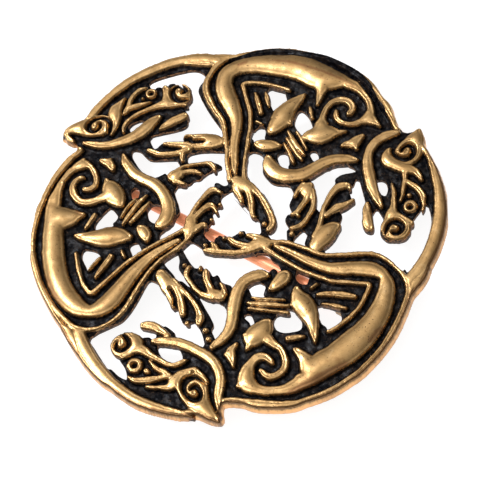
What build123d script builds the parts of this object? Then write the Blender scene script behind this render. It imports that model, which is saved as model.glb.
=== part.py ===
from build123d import *
import math
import os
import numpy as np

# Openwork disc brooch: three interlaced hounds cast in bronze, with a copper-wire
# pin that swings on a rivet behind them. Millimetres, +Z up. The brooch lies face
# up on its two back fittings; the origin is under the centre of its box, on the
# plane that it lies on.

# ---- driving sizes (mm) ----
DISC_X, DISC_Y = 0.0, 0.0      # middle of the disc in this frame, set below from its box
BACK_Z = 2.60                  # flat back of the casting
GROUND_Z = BACK_Z + 0.75       # sunk ground between the raised lines
LINE_Z = BACK_Z + 1.45         # tops of the rim and the thin lines
BODY_Z = BACK_Z + 1.75         # tops of the wide forms
LINE_DRAFT = 0.12              # how far a raised line narrows by its top
BODY_INSET = 0.45              # how far in the wide forms' upper step starts
FLARE = 0.26                   # how far the rim's outer side spreads past the top's outline
RIM_W, RIM_GAP = 0.42, 0.50    # width of the rim's own bead, and how near a line of the rim it forms
RIM_PARTS = ("back_line", "ring", "ring_inner", "rim_join", "tail")   # the lines that the rim is made of
GRID = 0.08                    # spacing of the working grid
TRIM_CAST = 0.06               # largest departure of the casting's walls from the true curve
TRIM_LINE = 0.075              # the same for the raised lines
TRIM_BODY = 0.12               # the same for the upper step

PIN_X, PIN_Y = -0.80, -1.65    # a point on the pin's line, in the disc's frame
PIN_DX, PIN_DY = 0.859, -0.512 # direction of the pin, towards its tip
PIN_Z = 1.40                   # height of the pin's middle
PIN_D = 1.30                   # copper wire
HINGE_S = -15.00               # hinge rivet, along the pin's line
TIP_S = 16.60                  # end of the pin
TAPER = 3.20                   # length of its point
EYE_R = 1.10                   # outside of the pin's eye
EYE_W = 1.30                   # width of the eye
RIVET_R = 0.50                 # rivet
EYE_BORE_R = 0.55              # running bore of the eye
LUG_BORE_R = 0.52              # rivet's bore in the lugs
LUG_IN, LUG_OUT = 0.75, 2.10   # lugs, from the pin's line outwards
LUG_HALF = 1.30                # half the lugs' length along the pin
HEAD_R, HEAD_T = 0.78, 0.28    # rivet heads
CATCH_S0, CATCH_S1 = 14.30, 16.20   # catch, along the pin's line
CHEEK_IN = 0.72                # clip's cheeks, from the pin's line
CHEEK_LOW = 1.20               # outside of the lower cheek
CHEEK_HIGH = 3.10              # outside of the upper cheek, which is also the foot
LOW_CHEEK_Z = 0.80             # the lower cheek stops short of the plane it lies on

SPIN = {"left": 0.0, "top": -120.0, "lower": 120.0}   # turn of each hound about the middle

# Openings through the openwork: (name, outline of the hole as (x, y) mm in the disc's frame)
OPENINGS = [
    ("ring_gap_right", [
     (13.2, 4.5), (13.5, 4.47), (13.71, 4.1), (14.34, 1.5), (14.51, 1.4), (14.18, -0.15), (14.31, -1.4), (14.55, -1.71), (14.9, -1.73),
     (14.79, 0.15), (14.95, 0.1), (15.35, 0.76), (15.65, 0.66), (16.16, -0.3), (16.2, -0.75), (16.35, -0.66), (16.4, -0.85), (15.84, -2.1),
     (16.28, -2.8), (16.65, -3.04), (17.05, -3.11), (17.01, -2.95), (17.95, -2.87), (18.5, -2.62), (18.86, -1.6), (19.15, -1.35), (19.05, -1),
     (20.44, 0.95), (20.8, 0.98), (20.96, 0.75), (21.22, -1.1), (20.71, -3.3), (20.01, -4.95), (18.65, -6.65), (18.35, -6.28), (17.8, -6.61),
     (16.45, -5.24), (14.88, -4.5), (15.2, -4.45), (15.04, -4.35), (13.6, -4.23), (12.48, -4.35), (12.85, -4.51), (10.5, -4.62), (10.1, -4.45),
     (9.96, -3.85), (9.74, -3.75), (10.9, -2.46), (11.46, -1.35), (11.28, -0.9), (11.51, -0.7), (11.77, 0.2), (11.57, 0.7), (12.61, 1.5),
     (12.72, 2.25), (12.47, 3.3), (12.96, 3.8)]),
    ("ring_gap_lower", [
     (-2.56, -14.35), (-5.45, -13.11), (-5.65, -12.68), (-6.6, -11.91), (-6.95, -11.92), (-7.85, -11.43), (-9.1, -11.39), (-9.35, -11.8), (-7.73, -12.45),
     (-7.69, -13.3), (-8, -13.41), (-8.35, -13.08), (-8.95, -13.14), (-9.15, -13.43), (-9.95, -12.94), (-11.05, -12.68), (-11.83, -13.3), (-12.07, -13.85),
     (-11.94, -14.75), (-11.28, -15.3), (-11.35, -15.5), (-10.64, -16.55), (-10.38, -17.6), (-10.55, -17.72), (-11.31, -17.35), (-12.2, -16.54), (-12.65, -16.42),
     (-14.16, -14.25), (-14.77, -12.9), (-12, -11.46), (-11.03, -10.65), (-10.09, -9.1), (-9.06, -6.85), (-8.5, -6.58), (-7.35, -7.39), (-6.25, -9.18),
     (-6.18, -9.9), (-5.48, -10.05), (-4.95, -11.37), (-4.5, -11.75), (-3.8, -11.53), (-3.5, -11.64), (-2.79, -12.7)]),
    ("ring_gap_upper", [
     (-1.35, 10.54), (-2.3, 10.48), (-4.2, 11.07), (-5.65, 11.02), (-6.13, 10.7), (-6.1, 10.2), (-8.25, 10.12), (-8.55, 10.26), (-9.31, 9.55),
     (-10.01, 10.8), (-9.81, 11.2), (-9.5, 11.41), (-6.4, 12.04), (-5.71, 12.75), (-5.9, 13.65), (-5.77, 13.8), (-6.25, 14.75), (-5.62, 15.45),
     (-5.71, 16.85), (-5.53, 16.95), (-5.7, 17.23), (-5.9, 17.09), (-7.3, 17.7), (-7.55, 18.07), (-8.21, 18), (-8.4, 17.34), (-8.75, 17.28),
     (-9.05, 17.63), (-9.6, 17.72), (-9.95, 17.39), (-10.31, 17.6), (-10.56, 18.4), (-9.15, 19.06), (-6.6, 19.67), (-5.25, 19.75), (-4.35, 19.32),
     (-3.98, 18.5), (-4.72, 17.2), (-4.41, 16.05), (-3.31, 13.95), (-1.7, 11.52), (-1.6, 11.63), (-1.5, 11.46)]),
    ("paw_gap_left", [
     (-7.75, -2.2), (-8.07, -1.15), (-7.53, -0.65), (-7.57, -0.4), (-6.84, 0.15), (-6.52, 1.2), (-6.35, 0.98), (-6.03, 1.75), (-6.71, 3.85),
     (-6.65, 4.31), (-6.17, 4.85), (-5.1, 4.89), (-4.6, 5.4), (-3.95, 5.44), (-3, 6.26), (-1.59, 6.75), (-1.95, 7.21), (-2.85, 7.47),
     (-5.05, 7.29), (-5.5, 8.45), (-4.1, 8.92), (-1.45, 8.8), (-1.1, 8.54), (-0.93, 8.1), (-0.93, 6.55), (-0.59, 4.9), (-1.15, 4.48),
     (-1.9, 4.91), (-2.25, 4.8), (-2.39, 4), (-3.6, 2.79), (-3.9, 2.72), (-4.31, 2.1), (-5, 0.19), (-5.3, -0.35), (-5.6, -0.85), (-5.84, -1.1)]),
    ("paw_gap_lower", [
     (-5.4, -2.79), (-4.65, -2.09), (-3.4, -2.83), (-3, -3.36), (-2, -3.67), (-0.05, -3.92), (2.15, -3.73), (2.55, -4.02), (2.95, -3.81),
     (3.65, -3.94), (4.05, -4.13), (4.45, -4.77), (5.07, -5.2), (5.4, -6.05), (5.05, -6.22), (4.9, -5.85), (4.5, -5.73), (3.85, -6.31),
     (2.95, -5.89), (2.65, -6.26), (1.6, -6.4), (0.75, -7.67), (0.25, -7.8), (0.05, -7.47), (-0.92, -7.05), (-1.35, -6.22), (-1.9, -6.37),
     (-2.3, -5.74), (-2.7, -5.8), (-3.15, -5.19), (-3.95, -5.27), (-5.01, -3.8)]),
    ("paw_gap_right", [
     (1.3, 8.55), (1.55, 8.43), (1.9, 8.63), (2.86, 8.2), (3.2, 7.3), (3.37, 7.25), (3.37, 6.35), (3.3, 6.11), (3.15, 6.18),
     (3.14, 5.75), (3.98, 4.7), (4.75, 4.34), (5.95, 4.16), (6.31, 3.75), (6.52, 3), (6.08, 1.75), (6.47, 0.8), (6.3, 0.6),
     (5.95, 0.6), (5.68, -0.1), (6.15, -1.05), (5.88, -1.35), (5.9, -2.86), (4.71, -2.65), (4.74, -2.5), (4.18, -2.15), (3.69, -1.3),
     (4.05, -0.94), (4.1, -1.3), (4.51, -0.85), (4.52, -0.1), (4.19, 0.95), (4.35, 0.93), (4.36, 1.15), (3.29, 3.2), (2.84, 3.25),
     (1.7, 4.55), (1.79, 4.65), (1.45, 5.36), (1.09, 5.5), (0.83, 7.6)]),
    ("centre", [
     (2.99, -1.6), (1.6, -1.57), (1.15, -1.09), (-0.3, -1.91), (-0.75, -1.59), (-1.05, -1.7), (-1.42, -1.55), (-1.91, -1.95), (-1.95, -2.42),
     (-2.3, -2.34), (-3.02, -1.55), (-3.17, -1.2), (-2.96, -0.5), (-2.54, -0.2), (-2.24, 0.6), (-2.35, 1.2), (-1.8, 1.7), (-1.44, 2.35),
     (-1.5, 3), (-0.81, 3.65), (0, 3.77), (1.5, 1.55), (1.91, 1.55), (2.19, 0.55), (2.81, 0.1), (3.02, -0.6)]),
    ("tail_gap_right", [
     (9.35, 0.69), (9.15, 1.03), (8.77, 1.1), (8.82, 2.45), (8.5, 3.4), (8.52, 4.2), (8.29, 4.95), (9.7, 5.86), (10.35, 5.9),
     (10.6, 6.26), (11.5, 6.52), (12.52, 6.4), (12.38, 6.25), (12.97, 5.95), (13.2, 5.45), (11.75, 5.16), (10.98, 4.6), (11.01, 4.1),
     (10, 2.1), (10.16, 2), (9.86, 1.05), (9.65, 0.7)]),
    ("tail_gap_left", [
     (-11.95, 9.46), (-11.55, 9.62), (-10.9, 9.36), (-10.25, 8.63), (-9.45, 8.19), (-6.9, 8.11), (-6.59, 7.85), (-6.25, 6.95), (-7.6, 6.19),
     (-7.95, 6.41), (-9.05, 5.94), (-10.55, 6.73), (-11.81, 8.55)]),
    ("tail_gap_lower", [
     (-3.35, -8.34), (-1.85, -9.11), (-1.5, -9.06), (-1.13, -9.2), (-1.09, -9.4), (-0.6, -9.68), (-0.39, -10), (-0.18, -10.6), (-0.32, -12.3),
     (-0.3, -12.39), (-0.15, -12.31), (-0.13, -12.45), (-0.35, -12.92), (-0.7, -13.05), (-0.65, -13.3), (-1, -13.76), (-1.31, -13.5), (-1.76, -12.5),
     (-1.61, -11.7), (-2.91, -9.4)]),
    ("haunch_gap_lower", [(4.97, -12.53), (4.79, -11.5), (5.6, -10.66), (6.55, -10.45), (7.43, -11.11), (7.76, -11.92), (7.63, -12.72), (6.6, -12.98), (5.78, -13.0)]),
    ("rib_gap_lower", [
     (9.15, -10.36), (10.2, -10.08), (11.65, -10.51), (11.77, -10.65), (11.68, -10.8), (11.86, -11.75), (11.3, -12.41), (10.7, -12.76), (10.3, -12.76),
     (10.23, -12.5), (9.78, -12.15), (9.55, -11.66), (9.35, -11.62)]),
    ("rib_gap_upper", [
     (4.15, 13.63), (3.7, 14.33), (3.55, 14.27), (3.09, 15.8), (3.7, 16.82), (5.05, 16.36), (5.39, 16.1), (5.29, 16), (5.52, 14.95),
     (5.46, 14.6)]),
    ("toe_gap_lower", [
     (-3.95, -7.68), (-4.3, -7.62), (-5.2, -6.79), (-5.6, -6.81), (-5.91, -6.55), (-6.25, -5.94), (-7.06, -5), (-7.36, -4.25), (-6.15, -3.34),
     (-5.97, -3.35), (-5.64, -4.25), (-5.67, -5.15), (-5.46, -5.6), (-5.05, -6.12), (-4.75, -6.24), (-3.94, -7.5)]),
    ("leaf_gap_left", [
     (-13.7, 2.34), (-13.05, 1.61), (-12.89, 1.25), (-13.04, 0.85), (-13.41, 0.45), (-13.34, 0.15), (-14.32, -0.25), (-14.14, -0.3), (-14.21, -0.4),
     (-15.09, -0.65), (-15.46, 0.5), (-14.2, 2.22)]),
    ("leaf_gap_upper", [
     (7.05, 13.52), (7.31, 13.45), (7.76, 13), (8.16, 12.25), (8.47, 11.05), (7.85, 10.54), (7.3, 10.29), (6.74, 11), (6.38, 11.9),
     (6.69, 13.15)]),
    ("jaw_gap_lower", [
     (-7.28, -14), (-6.4, -13.98), (-5.15, -14.35), (-4.59, -15.6), (-5.15, -16.02), (-5.65, -16.02), (-6.25, -15.81), (-6.97, -15.25), (-7.41, -14.35),
     (-7.2, -14.1)]),
    ("rib_gap_left", [
     (-15.5, -5.32), (-16.11, -4.5), (-16.61, -3.5), (-16.56, -2.8), (-16.25, -2.53), (-14.95, -2.89), (-14.45, -3.85)]),
    ("round_gap_lower", [
     (3.75, -8.92), (2.85, -9), (2.4, -8.81), (1.95, -7.84), (1.78, -7.8), (1.84, -7.6), (2.55, -7.19), (3.16, -7.05), (3.21, -7.25),
     (3.62, -7.45), (3.81, -7.85), (3.63, -8.6)]),
    ("stub_gap_upper", [
     (3.22, 9.95), (2.6, 9.78), (1.93, 9.8), (1.85, 10.11), (1.39, 10.35), (1.55, 11.36), (1.9, 11.24), (2.25, 11.6), (2.9, 11.8),
     (3.22, 11.05), (3.13, 10.3)]),
    ("jaw_gap_left", [
     (-12.13, 11.5), (-12.1, 11.65), (-12.56, 12.45), (-12.46, 12.75), (-11.95, 13.21), (-11, 13.45), (-10.54, 12.7), (-11.49, 11.8)]),
    ("toe_gap_right", [
     (7.55, -1.37), (7.95, -1.64), (8.1, -2), (7.84, -2.85), (8, -3.2), (7.98, -3.55), (7.85, -3.62), (6.53, -3), (6.65, -2.9),
     (6.64, -2.35)]),
    ("round_gap_upper", [
     (5.94, 6.2), (5.45, 6.24), (5.04, 6.5), (4.58, 7.65), (4.8, 8.21), (5.5, 8.26), (5.76, 7.9), (5.92, 7.5), (5.97, 6.8),
     (5.83, 6.5)]),
    ("jaw_gap_right", [
     (16.45, 2.37), (16, 2.49), (15.75, 2.8), (15.65, 2.72), (15.55, 2.83), (15.28, 3.8), (15.35, 4.21), (16, 4.3), (16.46, 4),
     (16.67, 3.2)]),
    ("stub_gap_left", [
     (-11.3, -2.29), (-10.7, -1.98), (-10.29, -2.15), (-9.75, -3.3), (-9.83, -3.5), (-10.55, -3.92), (-10.8, -3.77), (-11.26, -2.75)]),
    ("stub_gap_lower", [
     (8.1, -7.65), (7.5, -7.56), (7.04, -7.1), (6.93, -6.65), (7.25, -6.04), (8.36, -6.6), (8.32, -7.25)]),
    ("round_gap_left", [(-9.65, 1.9), (-9.35, 2.5), (-8.8, 2.62), (-8.15, 2.4), (-7.9, 1.8), (-8.1, 0.9), (-8.6, 0.3), (-9.1, 0.45), (-9.5, 0.95)]),
    ("small_gap_upper", [
     (8.45, 8.31), (8.95, 8.16), (9.22, 7.35), (9, 7.09), (8.65, 6.97), (8.18, 7.8), (8.24, 8.15)]),
    ("small_gap_lower", [
     (1.75, -10.83), (2.15, -10.79), (2.46, -11), (2.77, -11.75), (2.51, -12.05), (2.28, -12.05), (2.21, -11.75), (1.74, -11.3), (1.63, -11)]),
    ("pin_peep_left", [(-11.7, 4.3), (-11.35, 4.8), (-10.9, 4.7), (-10.65, 4.2), (-10.75, 3.6), (-11.1, 3.2), (-11.5, 3.5)]),
]

# Outer outline of the casting, (x, y) mm in the disc's frame
OUTLINE = [
     (-20.1, 11.85), (-20, 11.58), (-19.6, 11.52), (-19.15, 10.99), (-18.9, 11.15), (-18.28, 10.85), (-18.05, 10.3), (-18.06, 9.5), (-19.17, 8.5),
     (-20.16, 7.1), (-21.21, 4.95), (-21.85, 2.9), (-22.11, 2.75), (-22.28, -1.25), (-22.07, -3), (-22.25, -3.15), (-21.91, -4.5), (-20.84, -7.05),
     (-18.86, -10.4), (-17.34, -12.35), (-15.2, -15.71), (-12.96, -18.05), (-12.34, -18.5), (-12.4, -18.26), (-9.7, -20.16), (-7.95, -20.96), (-4.65, -21.77),
     (-3.9, -21.82), (-3.7, -21.63), (-2.85, -21.77), (-2.7, -21.6), (-0.6, -22.53), (-0.23, -22.15), (-0.55, -21.35), (-0.25, -20.55), (1.6, -20.48),
     (3.3, -21.12), (6.2, -21.22), (7.7, -21), (7.89, -20.9), (7.77, -20.8), (10.65, -19.76), (13.7, -17.82), (16.15, -15.11), (17.64, -12.6),
     (18.95, -9.13), (19.5, -8.71), (20.54, -7), (20.64, -6.35), (21.71, -4.2), (22.52, -1.2), (22.57, 1.4), (21.96, 4.45), (20.6, 7.8),
     (20.34, 7.95), (20.37, 8.95), (20.13, 9.8), (19.75, 10.07), (18.65, 9.55), (18.55, 9.85), (18, 10.08), (17.55, 10.6), (17.03, 12.35),
     (17.15, 12.7), (16.6, 13.87), (16.09, 14.15), (15.12, 16.15), (12.96, 18.25), (10.05, 20.11), (9.55, 20.28), (9.63, 20.15), (9.45, 20.15),
     (8.9, 20.6), (8.75, 20.45), (4.9, 21.37), (2.45, 21.37), (-0.75, 20.94), (-0.9, 21.16), (-2.5, 21.22), (-2.8, 21.03), (-4.1, 21.37),
     (-7.3, 21.12), (-9.85, 20.36), (-12.71, 18.9), (-15.82, 16.05), (-17.1, 14.29), (-17.41, 14.15), (-17.45, 13.63), (-19.35, 12.66)]

# Raised lines ("R") and cut grooves ("G") of the left hound in its own frame: (name, kind, rows of (x, y, half width) mm)
LEFT = [
    ("rim_join", "R", [(-17.95, -11.6, 0.1), (-17.2, -12.35, 0.42), (-16.7, -13.1, 0.45), (-16.25, -13.9, 0.33), (-15.75, -14.9, 0.12)]),
    ("ear", "R", [(-19.8, 11.9, 0.2), (-19.4, 12.3, 0.42), (-18.7, 12.55, 0.6), (-17.6, 12.65, 1), (-16.6, 12.75, 1.25), (-15.8, 12.8, 1.3)]),
    ("ear_lobe", "R", [(-19.6, 11.9, 0.2), (-19.5, 11.5, 0.22), (-19.2, 11.1, 0.25), (-18.8, 10.85, 0.15)]),
    ("cheek", "R", [(-13.15, 16.15, 0.06), (-13.7, 15.4, 0.3), (-14.15, 14.6, 0.68), (-14.1, 13.8, 0.62), (-14.05, 13, 0.4), (-14.15, 12.3, 0.28), (-14.4, 11.7, 0.2)]),
    ("ear_curl", "G", [(-14.95, 11.2, 0.2), (-14.65, 11.9, 0.25), (-14.6, 12.8, 0.27), (-14.95, 13.45, 0.27), (-15.6, 13.75, 0.24), (-16.4, 13.6, 0.27), (-17, 13.15, 0.3),
        (-17.15, 12.6, 0.3), (-16.8, 12.1, 0.27), (-16.2, 12.05, 0.22), (-15.8, 12.5, 0.25), (-15.85, 13, 0.2)]),
    ("eye_frame", "R", [(-10.8, 17.4, 0.1), (-11.5, 17.15, 0.17), (-12.15, 16.5, 0.2), (-12.5, 15.8, 0.2), (-12.6, 15.1, 0.27), (-12.85, 14.5, 0.25), (-13.05, 14.15, 0.12)]),
    ("lower_lid", "R", [(-12.7, 14.75, 0.25), (-11.8, 15, 0.25), (-10.9, 15.25, 0.18), (-10.15, 15.45, 0.06)]),
    ("eye_ring", "R", [(-10.1, 16.6, 0.6)]),
    ("pupil", "G", [(-10.08, 16.6, 0.3)]),
    ("eye_dot", "R", [(-11.05, 16, 0.12)]),
    ("nose", "R", [(-6.8, 16.3, 1.32), (-6.7, 16.1, 1.3)]),
    ("lip", "R", [(-8.5, 17.25, 0.3), (-8.25, 16.6, 0.42), (-8.15, 15.8, 0.55), (-8.3, 15.2, 0.55), (-9.3, 14.85, 0.3), (-10.3, 14.5, 0.2), (-11.3, 14.05, 0.17),
        (-12.2, 13.5, 0.15), (-12.75, 12.9, 0.15), (-13, 12.3, 0.15), (-13, 11.8, 0.12)]),
    ("lip_roll", "R", [(-7.9, 14.95, 0.35), (-7.2, 14.95, 0.25), (-6.5, 14.95, 0.2), (-5.9, 14.8, 0.15)]),
    ("nose_curl", "G", [(-5.75, 15.5, 0.15), (-6.3, 15.4, 0.27), (-6.9, 15.5, 0.3), (-7.35, 15.9, 0.3), (-7.62, 16.5, 0.22), (-7.6, 17.05, 0.22), (-7.3, 17.4, 0.18),
        (-6.8, 17.4, 0.15), (-6.35, 17.1, 0.2), (-6.1, 16.75, 0.28), (-6.4, 16.45, 0.15)]),
    ("jaw", "R", [(-17.5, 10.6, 0.12), (-16.5, 10.35, 0.3), (-15.4, 10.15, 0.38), (-14.4, 10.2, 0.42), (-13.3, 10.45, 0.5), (-12.3, 10.8, 0.58), (-11.3, 11.35, 0.65),
        (-10.4, 12.1, 0.7), (-9.7, 12.8, 0.55), (-9.1, 13.3, 0.33), (-8.8, 13.5, 0.1)]),
    ("chin", "R", [(-8.7, 11.85, 0.12), (-8.1, 12.3, 0.35), (-7.3, 12.75, 0.45), (-6.5, 13.15, 0.47), (-5.95, 13.4, 0.35)]),
    ("back_line", "R", [(-18.1, 9.5, 0.1), (-18.8, 8.7, 0.3), (-19.6, 7.7, 0.33), (-20.4, 6.4, 0.3), (-21.1, 4.9, 0.27), (-21.6, 3.3, 0.25), (-22, 1.5, 0.22),
        (-22.2, 0, 0.2), (-22.2, -1.5, 0.18), (-22, -3, 0.17), (-21.5, -4.7, 0.17), (-20.7, -6.7, 0.17), (-19.4, -8.9, 0.17), (-18.1, -10.4, 0.17),
        (-17, -11.5, 0.2), (-16, -12.1, 0.25), (-15, -12.2, 0.17), (-14, -12.1, 0.15), (-13, -11.7, 0.15), (-12, -11, 0.15), (-11.2, -10.1, 0.17),
        (-10.6, -9, 0.17), (-10, -7.8, 0.17), (-9.3, -6.6, 0.15), (-8.6, -5.5, 0.13), (-7.8, -4.6, 0.13), (-6.8, -3.8, 0.15), (-5.8, -3.1, 0.17),
        (-5, -2.3, 0.2), (-4.5, -1.6, 0.25)]),
    ("body", "R", [(-20.5, 3.3, 0.4), (-20.35, 2.2, 0.75), (-20, 1, 1.1), (-20, 0, 1.1), (-19.97, -1, 1.12), (-19.85, -2, 1.17), (-19.75, -3, 1.2),
        (-19.5, -4.2, 1.2), (-19.15, -5.5, 1.2), (-18.5, -7.1, 1.15), (-17.5, -8.5, 1.1), (-16.3, -9.6, 0.9), (-15, -10.1, 0.62), (-13.8, -9.75, 0.85),
        (-12.7, -8.85, 1), (-11.8, -7.6, 0.9), (-10.8, -6.2, 0.75), (-9.7, -4.9, 0.6), (-8.5, -3.8, 0.45), (-7.3, -3, 0.35), (-6.4, -2.5, 0.27),
        (-5.75, -2.2, 0.2)]),
    ("spur", "R", [(-19.3, 1.2, 1.3), (-18.2, 1.2, 0.95), (-17.4, 1.35, 0.5), (-16.6, 1.5, 0.12)]),
    ("haunch_rim", "R", [(-20.45, 3.6, 0.4), (-20, 4.8, 0.28), (-19.6, 5.7, 0.25), (-19, 6.6, 0.28), (-18.3, 7.3, 0.35), (-17.4, 7.8, 0.55), (-16.6, 7.6, 0.3),
        (-16.1, 7, 0.27), (-15.75, 6.3, 0.25), (-15.6, 5.6, 0.25), (-15.75, 4.95, 0.28), (-16.3, 4.6, 0.25), (-16.85, 4.6, 0.2)]),
    ("haunch_fill", "R", [(-19.6, 5.5, 0.3), (-19.85, 4.6, 0.35), (-20, 3.6, 0.5), (-20, 2.8, 0.52)]),
    ("haunch_spike", "R", [(-17.5, 7.8, 0.5), (-17.25, 8.45, 0.12)]),
    ("haunch", "R", [(-14.5, 5.8, 0.1), (-14.25, 5.2, 0.4), (-13.85, 4.5, 0.93), (-13.5, 3.85, 1.12), (-12.95, 3.2, 0.8), (-12.55, 2.6, 0.38)]),
    ("haunch_arm", "R", [(-14, 3.7, 0.6), (-14.6, 3.5, 0.5), (-15.3, 3.2, 0.35), (-16.2, 2.97, 0.35), (-17.1, 3.1, 0.33), (-17.8, 3.7, 0.35), (-18.2, 4.5, 0.33),
        (-18.2, 5.3, 0.28), (-17.8, 5.9, 0.22), (-17.3, 6.1, 0.18), (-17.1, 6.05, 0.12)]),
    ("collar", "R", [(-15.3, 8.2, 0.15), (-14.8, 8, 0.35), (-14.3, 7.75, 0.45), (-13.95, 7.2, 0.3), (-13.8, 6.9, 0.12)]),
    ("collar_tip", "R", [(-14.4, 8.1, 0.2), (-14.15, 8.3, 0.12)]),
    ("tail", "R", [(-12.75, 8.75, 0.15), (-12.4, 7.8, 0.42), (-11.9, 7, 0.5), (-11.2, 6.2, 0.55), (-10.3, 5.65, 0.55), (-9.4, 5.15, 0.57), (-8.6, 4.6, 0.6),
        (-7.95, 3.8, 0.62), (-7.5, 3, 0.65), (-7.25, 2.2, 0.7), (-7.15, 1.3, 0.75), (-7.35, 0.5, 0.8), (-7.8, 0, 0.6), (-8.1, -0.25, 0.35)]),
    ("stub", "R", [(-10.2, -0.4, 0.25), (-9.9, -0.75, 0.55), (-9.5, -1.3, 0.6), (-9.35, -1.8, 0.35)]),
    ("leaf", "R", [(-17.4, -1.05, 0.1), (-16.8, -1.2, 0.35), (-15.9, -1.35, 0.6), (-14.8, -1.4, 0.9), (-13.7, -1.35, 1.12), (-12.7, -1.3, 0.95), (-11.9, -1.4, 0.65),
        (-11.35, -1.5, 0.35)]),
    ("rib_a", "R", [(-12.35, 1, 0.08), (-11.9, 1.9, 0.1), (-11.3, 2.7, 0.1), (-10.85, 3.1, 0.06)]),
    ("rib_b", "R", [(-12.1, 0.1, 0.1), (-11.4, 1.3, 0.2), (-10.6, 2.5, 0.2), (-9.75, 3.45, 0.1)]),
    ("rib_c", "R", [(-11.3, 0.2, 0.1), (-10.7, 0.9, 0.18), (-10, 1.8, 0.18), (-9.3, 2.6, 0.08)]),
    ("rib_d", "R", [(-16.3, -0.2, 0.1), (-15.9, 0.5, 0.17), (-15.4, 1.4, 0.17)]),
    ("v_line", "R", [(-17.1, -3.2, 0.1), (-16.95, -4, 0.13), (-16.7, -5, 0.13), (-16.35, -6, 0.15), (-15.9, -7, 0.16), (-15.3, -7.8, 0.2), (-14.95, -8, 0.22),
        (-14.5, -7.7, 0.2), (-13.7, -6.9, 0.16), (-12.8, -6, 0.15), (-11.9, -5.1, 0.15), (-10.8, -4.2, 0.15), (-9.6, -3.3, 0.13), (-8.3, -2.5, 0.13),
        (-7.2, -1.9, 0.12), (-6.2, -1.4, 0.15), (-5.3, -0.9, 0.2)]),
    ("rib_e", "R", [(-15.5, -5.3, 0.06), (-15, -4.6, 0.12), (-14.4, -3.9, 0.12)]),
    ("rib_f", "R", [(-14.65, -6.2, 0.1), (-14.2, -5.4, 0.22), (-13.6, -4.5, 0.27), (-13.15, -3.75, 0.25)]),
    ("rib_g", "R", [(-12, -3.1, 0.06), (-11.8, -3.6, 0.12), (-11.65, -3.9, 0.05)]),
    ("palm", "R", [(-4.75, -1.7, 0.35), (-4.6, -0.9, 0.65), (-4.5, 0, 0.6)]),
    ("toe_1", "R", [(-4.8, 0.2, 0.35), (-4.4, 1.2, 0.2), (-3.85, 2.2, 0.2), (-3.15, 3.15, 0.25), (-2.5, 3.75, 0.33), (-1.9, 3.7, 0.2), (-1.4, 3.4, 0.12)]),
    ("toe_2", "R", [(-4.3, 0.3, 0.3), (-3.5, 1.2, 0.25), (-2.85, 1.75, 0.3), (-2.4, 1.95, 0.25), (-2, 1.5, 0.18), (-1.7, 1, 0.14)]),
    ("toe_3", "R", [(-4.1, -1, 0.4), (-3.5, -0.55, 0.27), (-3.1, -0.35, 0.2), (-2.9, -0.6, 0.14)]),
    ("claw_1", "R", [(-1.4, 1.95, 0.17)]),
    ("claw_2", "R", [(-2.25, 0.15, 0.16)]),
    ("leg_b", "R", [(-1.75, 9.75, 0.45), (-2.5, 9.9, 0.8), (-3.4, 9.95, 0.92), (-4.3, 10, 0.9), (-5, 10.15, 0.75), (-5.6, 10.6, 0.3)]),
    ("b_groove", "G", [(-3.75, 9.95, 0.2), (-4.4, 9.98, 0.27), (-5, 10, 0.27), (-5.3, 10.35, 0.3), (-5.8, 10.3, 0.3)]),
    ("b_toe_2", "R", [(-5, 9.4, 0.3), (-5.7, 9.6, 0.35), (-6.5, 9.75, 0.27), (-7.4, 9.85, 0.22), (-8.1, 9.95, 0.12)]),
    ("b_toe_3", "R", [(-5.4, 8.95, 0.3), (-6.5, 8.65, 0.22), (-7.5, 8.55, 0.22), (-8.5, 8.6, 0.25), (-9.3, 8.9, 0.25), (-9.9, 9.2, 0.16)]),
    ("b_link", "R", [(-5.9, 8.8, 0.25), (-6, 8.1, 0.2), (-5.9, 7.6, 0.12)]),
    ("c_palm", "R", [(-7.2, 5.75, 0.3), (-6.75, 5.75, 0.65), (-6.3, 6, 0.6)]),
    ("c_toe_1", "R", [(-6.4, 6.4, 0.25), (-5.7, 6.9, 0.13), (-4.8, 7.05, 0.13), (-3.8, 7.15, 0.13), (-2.9, 7.15, 0.2), (-2.4, 6.7, 0.2), (-2.2, 6.2, 0.15)]),
    ("c_toe_2", "R", [(-6.2, 6.1, 0.25), (-5.2, 6.2, 0.2), (-4.4, 6.2, 0.2), (-3.75, 5.9, 0.12)]),
    ("c_toe_3", "R", [(-6.6, 5.1, 0.3), (-6, 4.85, 0.2), (-5.5, 4.7, 0.15)]),
    ("ring", "R", [(-17.2, 14.25, 0.1), (-16.6, 15, 0.25), (-15.5, 16.1, 0.37), (-14, 17.5, 0.45), (-12.5, 18.65, 0.5), (-11, 19.45, 0.52), (-9.5, 20.1, 0.55),
        (-8, 20.6, 0.55), (-6, 20.95, 0.55), (-4, 20.95, 0.6), (-2.6, 20.6, 0.5)]),
]

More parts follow.
